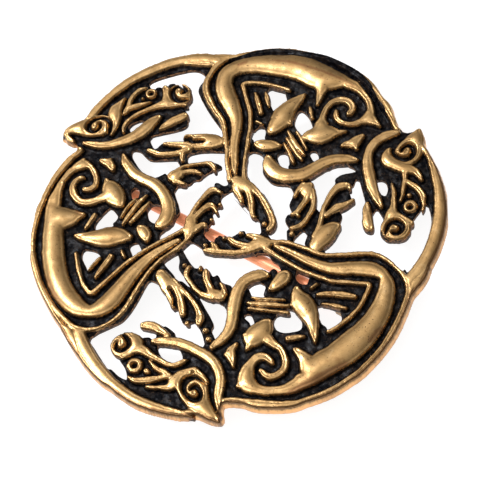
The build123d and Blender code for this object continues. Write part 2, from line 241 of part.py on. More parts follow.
# Raised lines ("R") and cut grooves ("G") of the top hound in its own frame: (name, kind, rows of (x, y, half width) mm)
TOP = [
    ("rim_join", "R", [(-17.6, -11.55, 0.1), (-17.15, -12.2, 0.3), (-16.75, -12.9, 0.38), (-16.3, -13.8, 0.3), (-15.8, -14.8, 0.15)]),
    ("ring_inner", "R", [(-15.8, -12.75, 0.15), (-15.6, -13.3, 0.32), (-15.25, -14.1, 0.28), (-14.85, -14.9, 0.18), (-14.4, -15.7, 0.05)]),
    ("ear", "R", [(-18.6, 12.45, 0.2), (-18.1, 12.6, 0.5), (-17.4, 12.7, 0.88), (-16.6, 12.75, 1.17), (-15.8, 12.75, 1.35), (-15.3, 12.7, 1.25)]),
    ("cheek", "R", [(-13.42, 15.7, 0.07), (-13.72, 15.2, 0.2), (-14, 14.6, 0.33), (-14, 14, 0.45), (-13.8, 13.3, 0.5), (-13.75, 12.6, 0.55), (-13.8, 11.9, 0.6),
        (-13.9, 11.3, 0.65), (-14.2, 10.95, 0.47), (-14.7, 10.85, 0.35), (-15.1, 10.85, 0.2)]),
    ("cheek_bar", "R", [(-14, 13.8, 0.3), (-13.4, 13.7, 0.3), (-12.9, 13.9, 0.2), (-12.5, 14.15, 0.17)]),
    ("ear_curl", "G", [(-15.4, 10.95, 0.12), (-14.85, 11.45, 0.25), (-14.7, 12.2, 0.3), (-14.85, 12.9, 0.35), (-15.35, 13.3, 0.33), (-16, 13.25, 0.33), (-16.45, 12.85, 0.3),
        (-16.45, 12.35, 0.27), (-16.1, 12.05, 0.22), (-15.65, 12, 0.18), (-15.4, 12.1, 0.08)]),
    ("eye_frame", "R", [(-12.6, 14.2, 0.15), (-12.5, 14.8, 0.2), (-12.4, 15.4, 0.23), (-12.2, 16.1, 0.25), (-11.85, 16.65, 0.27), (-11.4, 16.95, 0.2), (-10.9, 17.3, 0.15),
        (-10.3, 17.5, 0.08)]),
    ("lower_lid", "R", [(-12.6, 14.05, 0.15), (-12, 14.3, 0.17), (-11.4, 14.55, 0.15), (-10.9, 14.75, 0.12), (-10.2, 14.85, 0.06)]),
    ("eye_ring", "R", [(-10.13, 16.15, 0.68)]),
    ("pupil", "G", [(-10.05, 16.15, 0.33)]),
    ("eye_dot", "R", [(-11.22, 15.37, 0.17)]),
    ("nose", "R", [(-7.3, 16.3, 1.25), (-7.2, 16.1, 1.3), (-7.1, 15.9, 1.25)]),
    ("lip", "R", [(-8.4, 17.1, 0.35), (-8.4, 16.3, 0.42), (-8.35, 15.5, 0.5), (-8.45, 14.9, 0.57), (-9.2, 14.6, 0.3), (-10, 14.2, 0.2), (-10.8, 13.75, 0.17),
        (-11.3, 13.35, 0.13), (-11.6, 13.05, 0.08)]),
    ("lip_roll", "R", [(-8.3, 14.75, 0.45), (-7.4, 14.75, 0.27), (-6.8, 14.75, 0.2), (-6.3, 14.85, 0.1)]),
    ("nose_curl", "G", [(-6.05, 15.38, 0.12), (-6.6, 15.25, 0.22), (-7.2, 15.2, 0.25), (-7.7, 15.45, 0.3), (-7.88, 15.95, 0.33), (-7.75, 16.4, 0.33), (-7.3, 16.65, 0.3),
        (-6.85, 16.55, 0.3), (-6.62, 16.2, 0.25), (-6.63, 15.9, 0.12)]),
    ("jaw", "R", [(-17.35, 10.6, 0.15), (-17, 10.1, 0.35), (-16.3, 9.5, 0.45), (-15.4, 9.05, 0.42), (-14.4, 8.9, 0.42), (-13.4, 9.1, 0.45), (-12.4, 9.65, 0.5),
        (-11.4, 10.45, 0.55), (-10.5, 11.25, 0.55), (-9.8, 12, 0.45), (-9.2, 12.75, 0.33), (-8.75, 13.35, 0.18)]),
    ("chin", "R", [(-8.4, 11.85, 0.12), (-7.7, 12.2, 0.35), (-6.9, 12.75, 0.5), (-6.2, 13.3, 0.52), (-5.95, 13.7, 0.3)]),
    ("back_line", "R", [(-18, 9.9, 0.1), (-18.75, 9, 0.25), (-19.75, 7.5, 0.3), (-20.7, 5.9, 0.3), (-21.3, 4.4, 0.28), (-21.75, 2.75, 0.25), (-22.1, 1, 0.2),
        (-22.15, -0.75, 0.2), (-22, -2.5, 0.2), (-21.7, -4, 0.2), (-21.35, -5.5, 0.15), (-20.75, -7, 0.14), (-19.9, -8.4, 0.14), (-18.9, -9.7, 0.15),
        (-18, -10.75, 0.18), (-16.9, -11.8, 0.28), (-15.7, -12.2, 0.28), (-14.75, -12.25, 0.22), (-13.5, -12.1, 0.27), (-12.4, -11.45, 0.3), (-11.55, -10.45, 0.3),
        (-10.75, -9.2, 0.27), (-10.1, -7.9, 0.25), (-9.4, -7.1, 0.22), (-8.35, -6.25, 0.2), (-7.1, -5.25, 0.18), (-5.7, -4.35, 0.18), (-4.75, -3.55, 0.18),
        (-4.1, -3, 0.25)]),
    ("body", "R", [(-20.65, 3.4, 0.3), (-20.5, 2.4, 0.5), (-20.3, 1.4, 0.9), (-20, 0.4, 1.3), (-19.8, -1, 1.55), (-19.85, -2, 1.55), (-19.85, -3, 1.53),
        (-19.65, -4.2, 1.48), (-19.1, -5.6, 1.33), (-18.55, -7.1, 1.2), (-17.95, -8.3, 1.05), (-17.25, -9.35, 0.93), (-16.35, -10.15, 0.87), (-15.4, -10.5, 0.9),
        (-14.2, -10.15, 0.92), (-13.1, -9.15, 1), (-12.15, -7.85, 0.9), (-11, -6.5, 0.68), (-9.6, -5.55, 0.5), (-8.15, -4.9, 0.43), (-6.7, -4, 0.38),
        (-5.7, -3.3, 0.3), (-5, -2.8, 0.15)]),
    ("spur", "R", [(-19, 0, 0.9), (-18.2, 0.35, 0.5), (-17.3, 0.62, 0.3), (-16.5, 0.85, 0.1)]),
    ("haunch_rim", "R", [(-20.6, 3.5, 0.3), (-20.25, 4.3, 0.27), (-19.75, 5.2, 0.27), (-19.2, 5.95, 0.3), (-18.5, 6.5, 0.35), (-17.9, 6.7, 0.5), (-17.3, 6.6, 0.5),
        (-16.8, 6.3, 0.33), (-16.35, 5.95, 0.28), (-16, 5.5, 0.22), (-15.8, 4.9, 0.2), (-15.75, 4.3, 0.22), (-15.9, 3.75, 0.25), (-16.3, 3.35, 0.22),
        (-16.75, 3.15, 0.12)]),
    ("haunch_fill", "R", [(-19.65, 5.25, 0.28), (-20.05, 4.5, 0.33), (-20.25, 3.5, 0.34), (-20.3, 2.6, 0.5)]),
    ("haunch_spike", "R", [(-17.2, 8.4, 0.1), (-17.35, 7.8, 0.3), (-17.5, 7.1, 0.55)]),
    ("haunch", "R", [(-15, 5.45, 0.07), (-14.5, 4.8, 0.28), (-14.2, 4.2, 0.58), (-13.8, 3.6, 0.95), (-13.4, 3.1, 1.1), (-13, 2.6, 0.9), (-12.7, 2.1, 0.6),
        (-12.4, 1.75, 0.3)]),
    ("haunch_arm", "R", [(-14.3, 2.7, 0.75), (-15, 2.35, 0.38), (-15.8, 2.1, 0.25), (-16.7, 2, 0.25), (-17.5, 2.2, 0.28), (-18.1, 2.75, 0.32), (-18.35, 3.5, 0.33),
        (-18.25, 4.15, 0.33), (-17.8, 4.6, 0.3), (-17.3, 4.65, 0.27), (-17.05, 4.55, 0.2)]),
    ("collar", "R", [(-15.3, 7.35, 0.2), (-14.7, 7.1, 0.4), (-14.1, 6.95, 0.55), (-13.8, 6.6, 0.4), (-13.5, 6.2, 0.25), (-13.2, 5.9, 0.08)]),
    ("collar_tip", "R", [(-14, 7.2, 0.3), (-13.6, 7.55, 0.12)]),
    ("tail", "R", [(-12.4, 8.2, 0.2), (-12.1, 7.4, 0.45), (-11.6, 6.4, 0.55), (-11, 5.7, 0.6), (-10.2, 5.1, 0.6), (-9.3, 4.6, 0.65), (-8.5, 4.1, 0.68),
        (-7.85, 3.4, 0.7), (-7.35, 2.5, 0.75), (-7.15, 1.5, 0.78), (-7.3, 0.6, 0.8), (-7.7, -0.1, 0.65), (-8.2, -0.5, 0.35)]),
    ("stub", "R", [(-10.1, -0.3, 0.25), (-9.85, -0.9, 0.5), (-9.55, -1.5, 0.6), (-9.35, -2.1, 0.55), (-9.2, -2.6, 0.3)]),
    ("leaf", "R", [(-17, -1.1, 0.08), (-16.3, -1.3, 0.4), (-15.4, -1.6, 0.68), (-14.4, -1.85, 0.95), (-13.5, -1.85, 1.2), (-12.7, -1.85, 0.95), (-12, -1.95, 0.75),
        (-11.4, -2.05, 0.45)]),
    ("leaf_tip", "R", [(-13.3, -1, 0.35), (-13.05, -0.55, 0.12)]),
    ("rib_a", "R", [(-12.5, 0.6, 0.08), (-11.8, 1.7, 0.12), (-11.1, 2.7, 0.08)]),
    ("rib_b", "R", [(-12.1, -0.3, 0.1), (-11.5, 0.7, 0.17), (-10.9, 1.8, 0.17), (-10.4, 2.8, 0.1)]),
    ("rib_c", "R", [(-11.3, 0, 0.08), (-10.8, 0.9, 0.15), (-10.2, 1.9, 0.15), (-9.75, 2.9, 0.1)]),
    ("rib_h", "R", [(-10.6, 0.1, 0.08), (-10, 1, 0.13), (-9.4, 1.8, 0.15), (-9, 2.3, 0.1)]),
    ("rib_d", "R", [(-15.8, 0.3, 0.1), (-15.3, 0.75, 0.17), (-14.75, 1.25, 0.12)]),
    ("v_line", "R", [(-16.75, -2.9, 0.1), (-16.6, -4.1, 0.15), (-16.35, -5.4, 0.15), (-16, -6.6, 0.15), (-15.5, -7.6, 0.17), (-15.05, -8.05, 0.2), (-14.5, -7.6, 0.17),
        (-13.75, -6.9, 0.17), (-13, -6.1, 0.17), (-12.25, -5.4, 0.17), (-11.5, -4.9, 0.17), (-10.5, -4.3, 0.17), (-9.5, -3.9, 0.17), (-8.5, -3.4, 0.17),
        (-7.25, -2.9, 0.17), (-6, -2.25, 0.17), (-5.25, -1.75, 0.2), (-4.8, -1.4, 0.25)]),
    ("rib_e", "R", [(-15.3, -5.2, 0.1), (-14.8, -4.7, 0.22), (-14.2, -4.2, 0.15), (-13.9, -3.9, 0.06)]),
    ("rib_f", "R", [(-14.7, -6.2, 0.1), (-14.1, -5.6, 0.2), (-13.4, -4.9, 0.22), (-12.8, -4.3, 0.2)]),
    ("rib_g", "R", [(-11.6, -3.4, 0.1), (-11.65, -4.15, 0.1)]),
    ("palm", "R", [(-4.3, -2.2, 0.5), (-4.2, -1.3, 0.72), (-4.2, -0.5, 0.6)]),
    ("toe_1", "R", [(-4.4, -0.3, 0.4), (-4.1, 0.7, 0.28), (-3.6, 1.7, 0.25), (-2.9, 2.8, 0.28), (-2.2, 3.75, 0.33), (-1.5, 4.2, 0.32), (-0.9, 4.15, 0.25)]),
    ("toe_2", "R", [(-3.9, -0.4, 0.4), (-3.3, 0.2, 0.3), (-2.7, 0.75, 0.27), (-2, 1.2, 0.25), (-1.5, 1.7, 0.18)]),
    ("toe_3", "R", [(-3.7, -1.8, 0.5), (-3.2, -1.4, 0.35), (-2.8, -0.8, 0.25), (-2.3, -0.25, 0.16)]),
    ("claw_1", "R", [(-1.25, 3.35, 0.17)]),
    ("claw_2", "R", [(-1.45, 1.95, 0.16)]),
    ("leg_b", "R", [(-1.75, 9.65, 0.75), (-2.6, 9.75, 0.95), (-3.4, 9.9, 0.95), (-4.1, 10.1, 0.7), (-4.6, 10.4, 0.38)]),
    ("b_toe_2", "R", [(-5.2, 8.8, 0.2), (-5.9, 9.05, 0.3), (-6.6, 9.4, 0.4), (-7, 9.8, 0.28), (-7.7, 10.2, 0.2), (-8.05, 10.35, 0.17)]),
    ("b_toe_3", "R", [(-2.4, 8.85, 0.2), (-3.6, 8.75, 0.2), (-4.6, 8.45, 0.22), (-5.6, 8.1, 0.22), (-6.6, 7.95, 0.22), (-7.6, 7.95, 0.3), (-8.5, 8.1, 0.35),
        (-9.1, 8.6, 0.33), (-9.3, 9.1, 0.22), (-9.05, 9.4, 0.12)]),
    ("c_palm", "R", [(-7.5, 5.4, 0.3), (-7, 5.3, 0.6), (-6.6, 5.4, 0.6)]),
    ("c_toe_1", "R", [(-7, 5.9, 0.3), (-6.3, 6.5, 0.25), (-5.5, 6.95, 0.2), (-4.4, 7.1, 0.2), (-3.2, 7.05, 0.22), (-2.5, 6.7, 0.22), (-2.15, 6.2, 0.15)]),
    ("c_toe_2", "R", [(-6.5, 5.7, 0.35), (-5.5, 5.85, 0.25), (-4.6, 5.8, 0.22), (-3.9, 5.7, 0.2), (-3.6, 5.4, 0.14)]),
    ("c_claw_2", "R", [(-3.75, 6.1, 0.14)]),
    ("c_toe_3", "R", [(-7.1, 4.75, 0.35), (-6.4, 4.5, 0.2), (-5.6, 4.55, 0.15)]),
    ("c_claw_1", "R", [(-1.6, 6.6, 0.2)]),
    ("ring", "R", [(-16.9, 14.2, 0.08), (-15.95, 15.3, 0.22), (-15.1, 16.2, 0.35), (-14.2, 17.05, 0.45), (-13.25, 17.85, 0.52), (-12.2, 18.55, 0.6), (-11, 19.25, 0.65),
        (-9.5, 19.85, 0.68), (-8, 20.25, 0.68), (-6, 20.55, 0.68), (-4.3, 20.5, 0.65), (-2.7, 20.2, 0.5)]),
]

# Raised lines ("R") and cut grooves ("G") of the lower hound in its own frame: (name, kind, rows of (x, y, half width) mm)
LOWER = [
    ("rim_join", "R", [(-17.6, -11.9, 0.1), (-17, -12.5, 0.4), (-16.75, -13.2, 0.42), (-16.4, -14, 0.3), (-16, -14.8, 0.1)]),
    ("ear", "R", [(-19.45, 11.65, 0.14), (-18.9, 11.85, 0.35), (-18.3, 12.05, 0.55), (-17.6, 12.3, 0.75), (-17, 12.4, 0.92), (-16.2, 12.5, 1.12), (-15.4, 12.4, 1.35),
        (-15, 12.3, 1.4)]),
    ("ear_band", "R", [(-16.2, 13.3, 0.3), (-15.2, 13.6, 0.2), (-14.3, 13.55, 0.22), (-13.6, 13.5, 0.35)]),
    ("cheek", "R", [(-12.15, 16.4, 0.08), (-12.6, 15.8, 0.13), (-12.95, 15.2, 0.17), (-13.35, 14.6, 0.3), (-13.4, 14.1, 0.45), (-13.15, 13.6, 0.55), (-12.95, 13, 0.5),
        (-12.95, 12.4, 0.4), (-13.05, 11.8, 0.37), (-13.2, 11.35, 0.35), (-13.7, 11.05, 0.22), (-14.4, 10.8, 0.16), (-15, 10.75, 0.12)]),
    ("ear_curl", "G", [(-15.15, 10.98, 0.08), (-14.6, 11.15, 0.14), (-14, 11.5, 0.22), (-13.75, 12, 0.35), (-13.75, 12.6, 0.4), (-14.15, 13.05, 0.33), (-14.75, 13.25, 0.23),
        (-15.4, 13.15, 0.25), (-15.95, 12.8, 0.3), (-16.1, 12.3, 0.33), (-15.8, 11.95, 0.3), (-15.3, 11.85, 0.25), (-14.85, 12, 0.3), (-14.75, 12.4, 0.2),
        (-14.9, 12.6, 0.1)]),
    ("cheek_pit", "G", [(-13.33, 11.5, 0.15)]),
    ("eye_frame", "R", [(-10.15, 17.6, 0.08), (-10.8, 17.2, 0.2), (-11.2, 16.65, 0.28), (-11.55, 16, 0.3), (-11.8, 15.4, 0.26), (-12, 14.8, 0.22), (-12.15, 14.2, 0.22),
        (-12.3, 13.8, 0.25)]),
    ("lower_lid", "R", [(-12.2, 13.9, 0.25), (-11.6, 14.15, 0.25), (-11.1, 14.5, 0.2), (-10.5, 14.75, 0.15), (-9.75, 14.9, 0.05)]),
    ("eye_ring", "R", [(-10.1, 16.5, 0.12), (-9.75, 16.5, 0.45), (-9.4, 16.45, 0.77)]),
    ("pupil", "G", [(-9.37, 16.47, 0.35)]),
    ("eye_dot", "R", [(-10.85, 15.5, 0.14), (-10.6, 15.65, 0.22)]),
    ("nose", "R", [(-6.75, 16.6, 1.3), (-6.8, 16.1, 1.3), (-7.1, 15.6, 1.1)]),
    ("lip", "R", [(-7.7, 17, 0.4), (-7.7, 16, 0.45), (-7.9, 15.3, 0.5), (-8.5, 14.85, 0.4), (-9.3, 14.5, 0.3), (-10.2, 13.95, 0.22), (-11, 13.5, 0.22),
        (-11.5, 12.95, 0.2), (-11.65, 12.35, 0.2), (-11.7, 11.8, 0.17), (-11.75, 11.5, 0.08)]),
    ("nose_curl", "G", [(-5.6, 16.05, 0.2), (-6.3, 15.88, 0.25), (-6.9, 16, 0.3), (-7.15, 16.45, 0.27), (-7.1, 17, 0.27), (-6.7, 17.3, 0.25), (-6.25, 17.2, 0.2),
        (-6, 16.9, 0.14)]),
    ("jaw", "R", [(-18.3, 11.1, 0.1), (-17.7, 10.75, 0.28), (-17, 10.45, 0.4), (-16.3, 9.95, 0.45), (-15.5, 9.45, 0.45), (-14.5, 9.15, 0.45), (-13.4, 9.15, 0.47),
        (-12.4, 9.5, 0.47), (-11.4, 10.05, 0.47), (-10.4, 10.65, 0.48), (-9.6, 11.35, 0.47), (-8.9, 12.2, 0.42), (-8.3, 13.1, 0.33), (-8, 13.6, 0.15)]),
    ("chin", "R", [(-8.3, 11.9, 0.12), (-7.5, 12.3, 0.3), (-6.7, 12.7, 0.42), (-6.1, 13.3, 0.42), (-5.85, 13.75, 0.3)]),
    ("back_line", "R", [(-18, 9.65, 0.2), (-18.6, 8.75, 0.22), (-19.55, 7.35, 0.24), (-20.55, 6, 0.24), (-21.4, 4.55, 0.22), (-21.95, 3.1, 0.2), (-22.3, 1.4, 0.22),
        (-22.4, 0, 0.24), (-22.3, -1.5, 0.25), (-22.2, -2.9, 0.27), (-21.75, -4.5, 0.27), (-21.2, -6.1, 0.27), (-20.5, -7.5, 0.3), (-19.7, -8.8, 0.3),
        (-18.8, -10, 0.28), (-17.9, -11.1, 0.3), (-17, -11.9, 0.33), (-16, -12.15, 0.22), (-15, -12.15, 0.15), (-14, -11.95, 0.13), (-13, -11.7, 0.15),
        (-12.2, -11.3, 0.17), (-11.5, -10.7, 0.17), (-10.8, -9.6, 0.17), (-10.2, -8.5, 0.17), (-9.5, -7.3, 0.17), (-9, -6.5, 0.17), (-8.4, -5.9, 0.17),
        (-7.5, -5.3, 0.17), (-6.7, -4.75, 0.15), (-5.9, -4.1, 0.15), (-5.2, -3.4, 0.17), (-4.7, -2.6, 0.2), (-4.4, -2, 0.25)]),
    ("body", "R", [(-20.4, 3.6, 0.25), (-20.2, 2.6, 0.55), (-20, 1.6, 0.9), (-19.7, 0.6, 1.2), (-19.5, -0.5, 1.4), (-19.5, -1.6, 1.4), (-19.4, -2.8, 1.5),
        (-19.2, -4, 1.5), (-18.9, -5.3, 1.4), (-18.4, -6.6, 1.25), (-17.8, -7.7, 1.15), (-17.1, -8.7, 1), (-16.3, -9.5, 0.9), (-15.4, -10.2, 0.75),
        (-14.4, -10.5, 0.5), (-13.5, -10.15, 0.68), (-12.7, -9.4, 0.75), (-12, -8.4, 0.7), (-11.3, -7.2, 0.65), (-10.6, -6.2, 0.55), (-9.7, -5.4, 0.48),
        (-8.6, -4.6, 0.4), (-7.5, -3.95, 0.33), (-6.4, -3.3, 0.28), (-5.6, -2.75, 0.2), (-5.25, -2.5, 0.12)]),
    ("spur", "R", [(-19.2, 0.9, 1.1), (-18.3, 0.95, 0.7), (-17.5, 1.05, 0.45), (-16.9, 1.2, 0.3), (-16.65, 1.35, 0.15)]),
    ("haunch_rim", "R", [(-20.1, 3.3, 0.6), (-19.9, 4.2, 0.5), (-19.5, 5.1, 0.42), (-19, 6, 0.42), (-18.3, 6.7, 0.5), (-17.6, 7.15, 0.75), (-17, 7.2, 0.85),
        (-16.5, 6.95, 0.75), (-16, 6.5, 0.6), (-15.65, 6, 0.45), (-15.4, 5.4, 0.38), (-15.4, 4.8, 0.38), (-15.8, 4.3, 0.33), (-16.3, 4.1, 0.25),
        (-16.8, 4.02, 0.1)]),
    ("haunch_fill", "R", [(-19.75, 3.9, 0.35), (-19.8, 3, 0.45), (-19.75, 2.3, 0.6)]),
    ("haunch_spike", "R", [(-17, 8.3, 0.1), (-17.1, 7.8, 0.4)]),
    ("haunch", "R", [(-14, 5.65, 0.08), (-13.6, 5, 0.4), (-13.2, 4.4, 0.95), (-13.05, 3.8, 1.1), (-12.95, 3.2, 1), (-12.6, 2.6, 0.6), (-12.55, 2.15, 0.25)]),
    ("haunch_corner", "R", [(-13, 4.7, 0.5), (-12.5, 5.05, 0.15)]),
    ("haunch_arm", "R", [(-14.1, 3.2, 0.5), (-14.9, 2.95, 0.35), (-15.7, 2.6, 0.25), (-16.5, 2.6, 0.25), (-17.3, 2.85, 0.27), (-17.9, 3.35, 0.3), (-18.1, 4.1, 0.3),
        (-17.95, 4.8, 0.3), (-17.5, 5.25, 0.25), (-17, 5.35, 0.22), (-16.8, 5.4, 0.18)]),
    ("collar", "R", [(-14.9, 7.65, 0.1), (-14.3, 7.45, 0.28), (-13.7, 7.3, 0.45), (-13.3, 7.1, 0.4), (-13.1, 6.7, 0.25), (-12.85, 6.2, 0.1)]),
    ("collar_tip", "R", [(-13.5, 7.5, 0.3), (-13.3, 7.75, 0.12)]),
    ("tail", "R", [(-11.85, 8.5, 0.25), (-11.7, 7.7, 0.4), (-11.4, 6.7, 0.5), (-10.9, 5.9, 0.55), (-10.2, 5.3, 0.55), (-9.3, 4.7, 0.6), (-8.5, 4.1, 0.62),
        (-7.75, 3.4, 0.6), (-7.2, 2.6, 0.58), (-7.05, 1.8, 0.6), (-7.15, 1, 0.6), (-7.4, 0.3, 0.5), (-7.7, -0.1, 0.3)]),
    ("stub", "R", [(-9.35, 0.35, 0.15), (-9.3, -0.2, 0.45), (-9.1, -0.9, 0.65), (-8.9, -1.5, 0.7), (-8.75, -1.85, 0.4)]),
    ("leaf", "R", [(-17, -0.8, 0.08), (-16.2, -1.15, 0.33), (-15.3, -1.5, 0.5), (-14.4, -1.75, 0.75), (-13.4, -1.8, 1.05), (-12.5, -1.75, 1.05), (-11.8, -1.75, 0.75),
        (-11.1, -1.9, 0.42), (-10.75, -2.05, 0.2)]),
    ("rib_a", "R", [(-12.7, 0, 0.15), (-12.3, 0.5, 0.15), (-11.5, 1.5, 0.1), (-10.7, 2.5, 0.12), (-10.05, 3.3, 0.1)]),
    ("rib_b", "R", [(-12, -0.4, 0.1), (-11.3, 0.6, 0.18), (-10.5, 1.7, 0.2), (-9.7, 2.8, 0.15), (-9.45, 3.1, 0.08)]),
    ("rib_c", "R", [(-11.2, -0.35, 0.06), (-10.4, 0.8, 0.1), (-9.7, 1.8, 0.12), (-9.15, 2.4, 0.08)]),
    ("rib_d", "R", [(-15.85, -0.1, 0.12), (-15.55, 0.6, 0.22), (-15.2, 1.4, 0.22)]),
    ("v_line", "R", [(-16.7, -2.5, 0.12), (-16.75, -3.5, 0.15), (-16.55, -4.75, 0.15), (-16.25, -6, 0.15), (-15.75, -7, 0.15), (-15.1, -7.95, 0.17), (-14.45, -8.65, 0.17),
        (-14.1, -8.4, 0.15), (-13.5, -7.6, 0.15), (-12.75, -6.6, 0.15), (-12, -5.6, 0.15), (-11.25, -5, 0.15), (-10, -4.05, 0.15), (-9, -3.4, 0.15),
        (-8, -2.9, 0.15), (-6.9, -2.35, 0.15), (-5.8, -1.85, 0.17), (-5, -1.5, 0.25)]),
    ("rib_e", "R", [(-15.4, -5.3, 0.12), (-14.8, -4.7, 0.2), (-14.2, -4.1, 0.15), (-13.7, -3.5, 0.06)]),
    ("rib_f", "R", [(-14.75, -6.7, 0.2), (-14.2, -6.1, 0.27), (-13.5, -5.2, 0.28), (-12.9, -4.3, 0.22), (-12.55, -3.6, 0.1)]),
    ("rib_g", "R", [(-11.5, -3.4, 0.1), (-11.45, -4.1, 0.1)]),
    ("palm", "R", [(-4.4, -1.8, 0.6), (-4.1, -1.2, 0.6), (-3.9, -0.6, 0.5)]),
    ("toe_1", "R", [(-4.3, -0.8, 0.35), (-4.15, 0.2, 0.28), (-3.85, 1.1, 0.25), (-3.3, 2, 0.25), (-2.6, 2.9, 0.27), (-2.1, 3.5, 0.3), (-1.8, 3.9, 0.22),
        (-1.6, 4.2, 0.12)]),
    ("toe_1_tip", "R", [(-2.3, 3.1, 0.3), (-1.7, 3.05, 0.22), (-1.2, 3.1, 0.12)]),
    ("toe_2", "R", [(-3.9, -0.2, 0.35), (-3.3, 0.4, 0.3), (-2.7, 0.9, 0.27), (-2.1, 1.2, 0.24), (-1.75, 1.3, 0.15)]),
    ("toe_3", "R", [(-3.9, -1.6, 0.45), (-3.3, -1.3, 0.33), (-2.8, -0.9, 0.25), (-2.5, -0.6, 0.14)]),
    ("claw_0", "R", [(-1.1, 3.85, 0.16)]),
    ("claw_1", "R", [(-1.45, 1.75, 0.14)]),
    ("claw_2", "R", [(-1.9, -0.05, 0.15)]),
    ("leg_b", "R", [(-1.6, 9.5, 0.55), (-2.4, 9.5, 0.72), (-3.2, 9.5, 0.72), (-3.9, 9.45, 0.65), (-4.6, 9.5, 0.65), (-5.2, 9.65, 0.5)]),
    ("b_groove", "G", [(-3.65, 9.4, 0.17), (-4.3, 9.35, 0.25), (-5, 9.4, 0.27), (-5.6, 9.7, 0.35)]),
    ("b_toe_1", "R", [(-4.6, 9.95, 0.15), (-5.2, 10.1, 0.1)]),
    ("b_toe_2", "R", [(-3.9, 8.85, 0.3), (-4.8, 8.9, 0.28), (-5.6, 9.1, 0.3), (-6.3, 9.35, 0.35), (-6.9, 9.55, 0.25)]),
    ("b_claw_2", "R", [(-8.1, 9.6, 0.2)]),
    ("b_toe_3", "R", [(-3, 8.7, 0.3), (-4.2, 8.4, 0.2), (-5.3, 8.1, 0.2), (-6.4, 7.95, 0.2), (-7.4, 7.95, 0.25), (-8.2, 8.15, 0.35), (-8.7, 8.5, 0.3)]),
    ("b_claw_3", "R", [(-9.85, 8.3, 0.22)]),
    ("b_claw_4", "R", [(-10.9, 8.5, 0.22)]),
    ("b_claw_1", "R", [(-5.75, 10.05, 0.14)]),
    ("c_palm", "R", [(-7.35, 5.1, 0.35), (-7, 5.4, 0.55), (-6.6, 5.8, 0.5)]),
    ("c_toe_1", "R", [(-6.9, 6, 0.35), (-6.1, 6.7, 0.22), (-5.2, 7.05, 0.18), (-4.2, 7.2, 0.18), (-3.2, 7.25, 0.2), (-2.7, 6.9, 0.18), (-2.4, 6.5, 0.12)]),
    ("c_toe_2", "R", [(-6.5, 5.8, 0.4), (-5.6, 5.7, 0.28), (-4.7, 5.6, 0.28), (-4.1, 5.35, 0.28), (-3.75, 5.15, 0.18)]),
    ("c_toe_3", "R", [(-7.2, 4.75, 0.3), (-6.6, 4.5, 0.15), (-6, 4.5, 0.12)]),
    ("c_claw_2", "R", [(-3.35, 5.65, 0.12), (-3.1, 5.45, 0.1)]),
    ("c_claw_1", "R", [(-1.95, 6.85, 0.14)]),
    ("ring", "R", [(-17.6, 13.75, 0.1), (-17, 14.2, 0.2), (-16.3, 14.95, 0.35), (-15.3, 15.95, 0.42), (-14.2, 16.95, 0.48), (-13, 17.85, 0.5), (-11.7, 18.6, 0.5),
        (-10.4, 19.15, 0.5), (-9, 19.6, 0.5), (-7.5, 19.95, 0.55), (-6, 20.15, 0.62), (-4.5, 20.2, 0.65), (-2.8, 20, 0.5)]),
]


def spline(rows, closed=False, n=6):
    """Catmull-Rom curve through the rows of a table."""
    P = np.asarray(rows, float)
    if closed:
        Q = np.vstack([P[-1], P, P[0], P[1]])
    else:
        if len(P) == 1:
            return P
        Q = np.vstack([2 * P[0] - P[1], P, 2 * P[-1] - P[-2]])
        if len(P) == 2:
            return P
    out = []
    for i in range(1, len(Q) - 2):
        a, b, c, d = Q[i - 1], Q[i], Q[i + 1], Q[i + 2]
        for t in np.arange(n) / n:
            out.append(0.5 * (2 * b + (c - a) * t + (2 * a - 5 * b + 4 * c - d) * t ** 2
                              + (3 * b - a - 3 * c + d) * t ** 3))
    if not closed:
        out.append(Q[-2])
    return np.array(out)


def turn(P, deg):
    """Turn points about the middle of the disc."""
    c, s = math.cos(math.radians(deg)), math.sin(math.radians(deg))
    Q = P.copy()
    Q[:, 0], Q[:, 1] = P[:, 0] * c - P[:, 1] * s, P[:, 0] * s + P[:, 1] * c
    return Q


HALF = 23.6
N = int(round(2 * HALF / GRID)) + 1
AX = -HALF + GRID * np.arange(N)


def window(P, margin):
    """Rows and columns of the grid that the points cover."""
    j0, i0 = (np.floor((P[:, :2].min(0) - margin + HALF) / GRID)).astype(int).clip(0, N - 1)
    j1, i1 = (np.ceil((P[:, :2].max(0) + margin + HALF) / GRID)).astype(int).clip(0, N - 1) + 1
    X, Y = np.meshgrid(AX[j0:j1], AX[i0:i1])
    return slice(i0, i1), slice(j0, j1), X, Y


def stroke_depth(C, X, Y):
    """Depth inside a stroke of changing half width, positive inside."""
    best = np.full(X.shape, -9.0)
    ends = zip(C[:-1], C[1:]) if len(C) > 1 else [(C[0], C[0])]
    for a, b in ends:
        dx, dy = b[0] - a[0], b[1] - a[1]
        t = np.clip(((X - a[0]) * dx + (Y - a[1]) * dy) / (dx * dx + dy * dy + 1e-12), 0, 1)
        r = np.hypot(X - a[0] - t * dx, Y - a[1] - t * dy)
        best = np.maximum(best, a[2] + t * (b[2] - a[2]) - r)
    return best


def polygon_depth(P, X, Y):
    """Depth inside a closed outline, positive inside."""
    near = np.full(X.shape, 99.0)
    inside = np.zeros(X.shape, bool)
    for a, b in zip(P, np.roll(P, -1, 0)):
        dx, dy = b[0] - a[0], b[1] - a[1]
        t = np.clip(((X - a[0]) * dx + (Y - a[1]) * dy) / (dx * dx + dy * dy + 1e-12), 0, 1)
        near = np.minimum(near, np.hypot(X - a[0] - t * dx, Y - a[1] - t * dy))
        if a[1] != b[1]:
            cut = a[0] + (Y - a[1]) * dx / dy
            inside ^= ((Y >= min(a[1], b[1])) & (Y < max(a[1], b[1])) & (X < cut))
    return np.where(inside, near, -near)


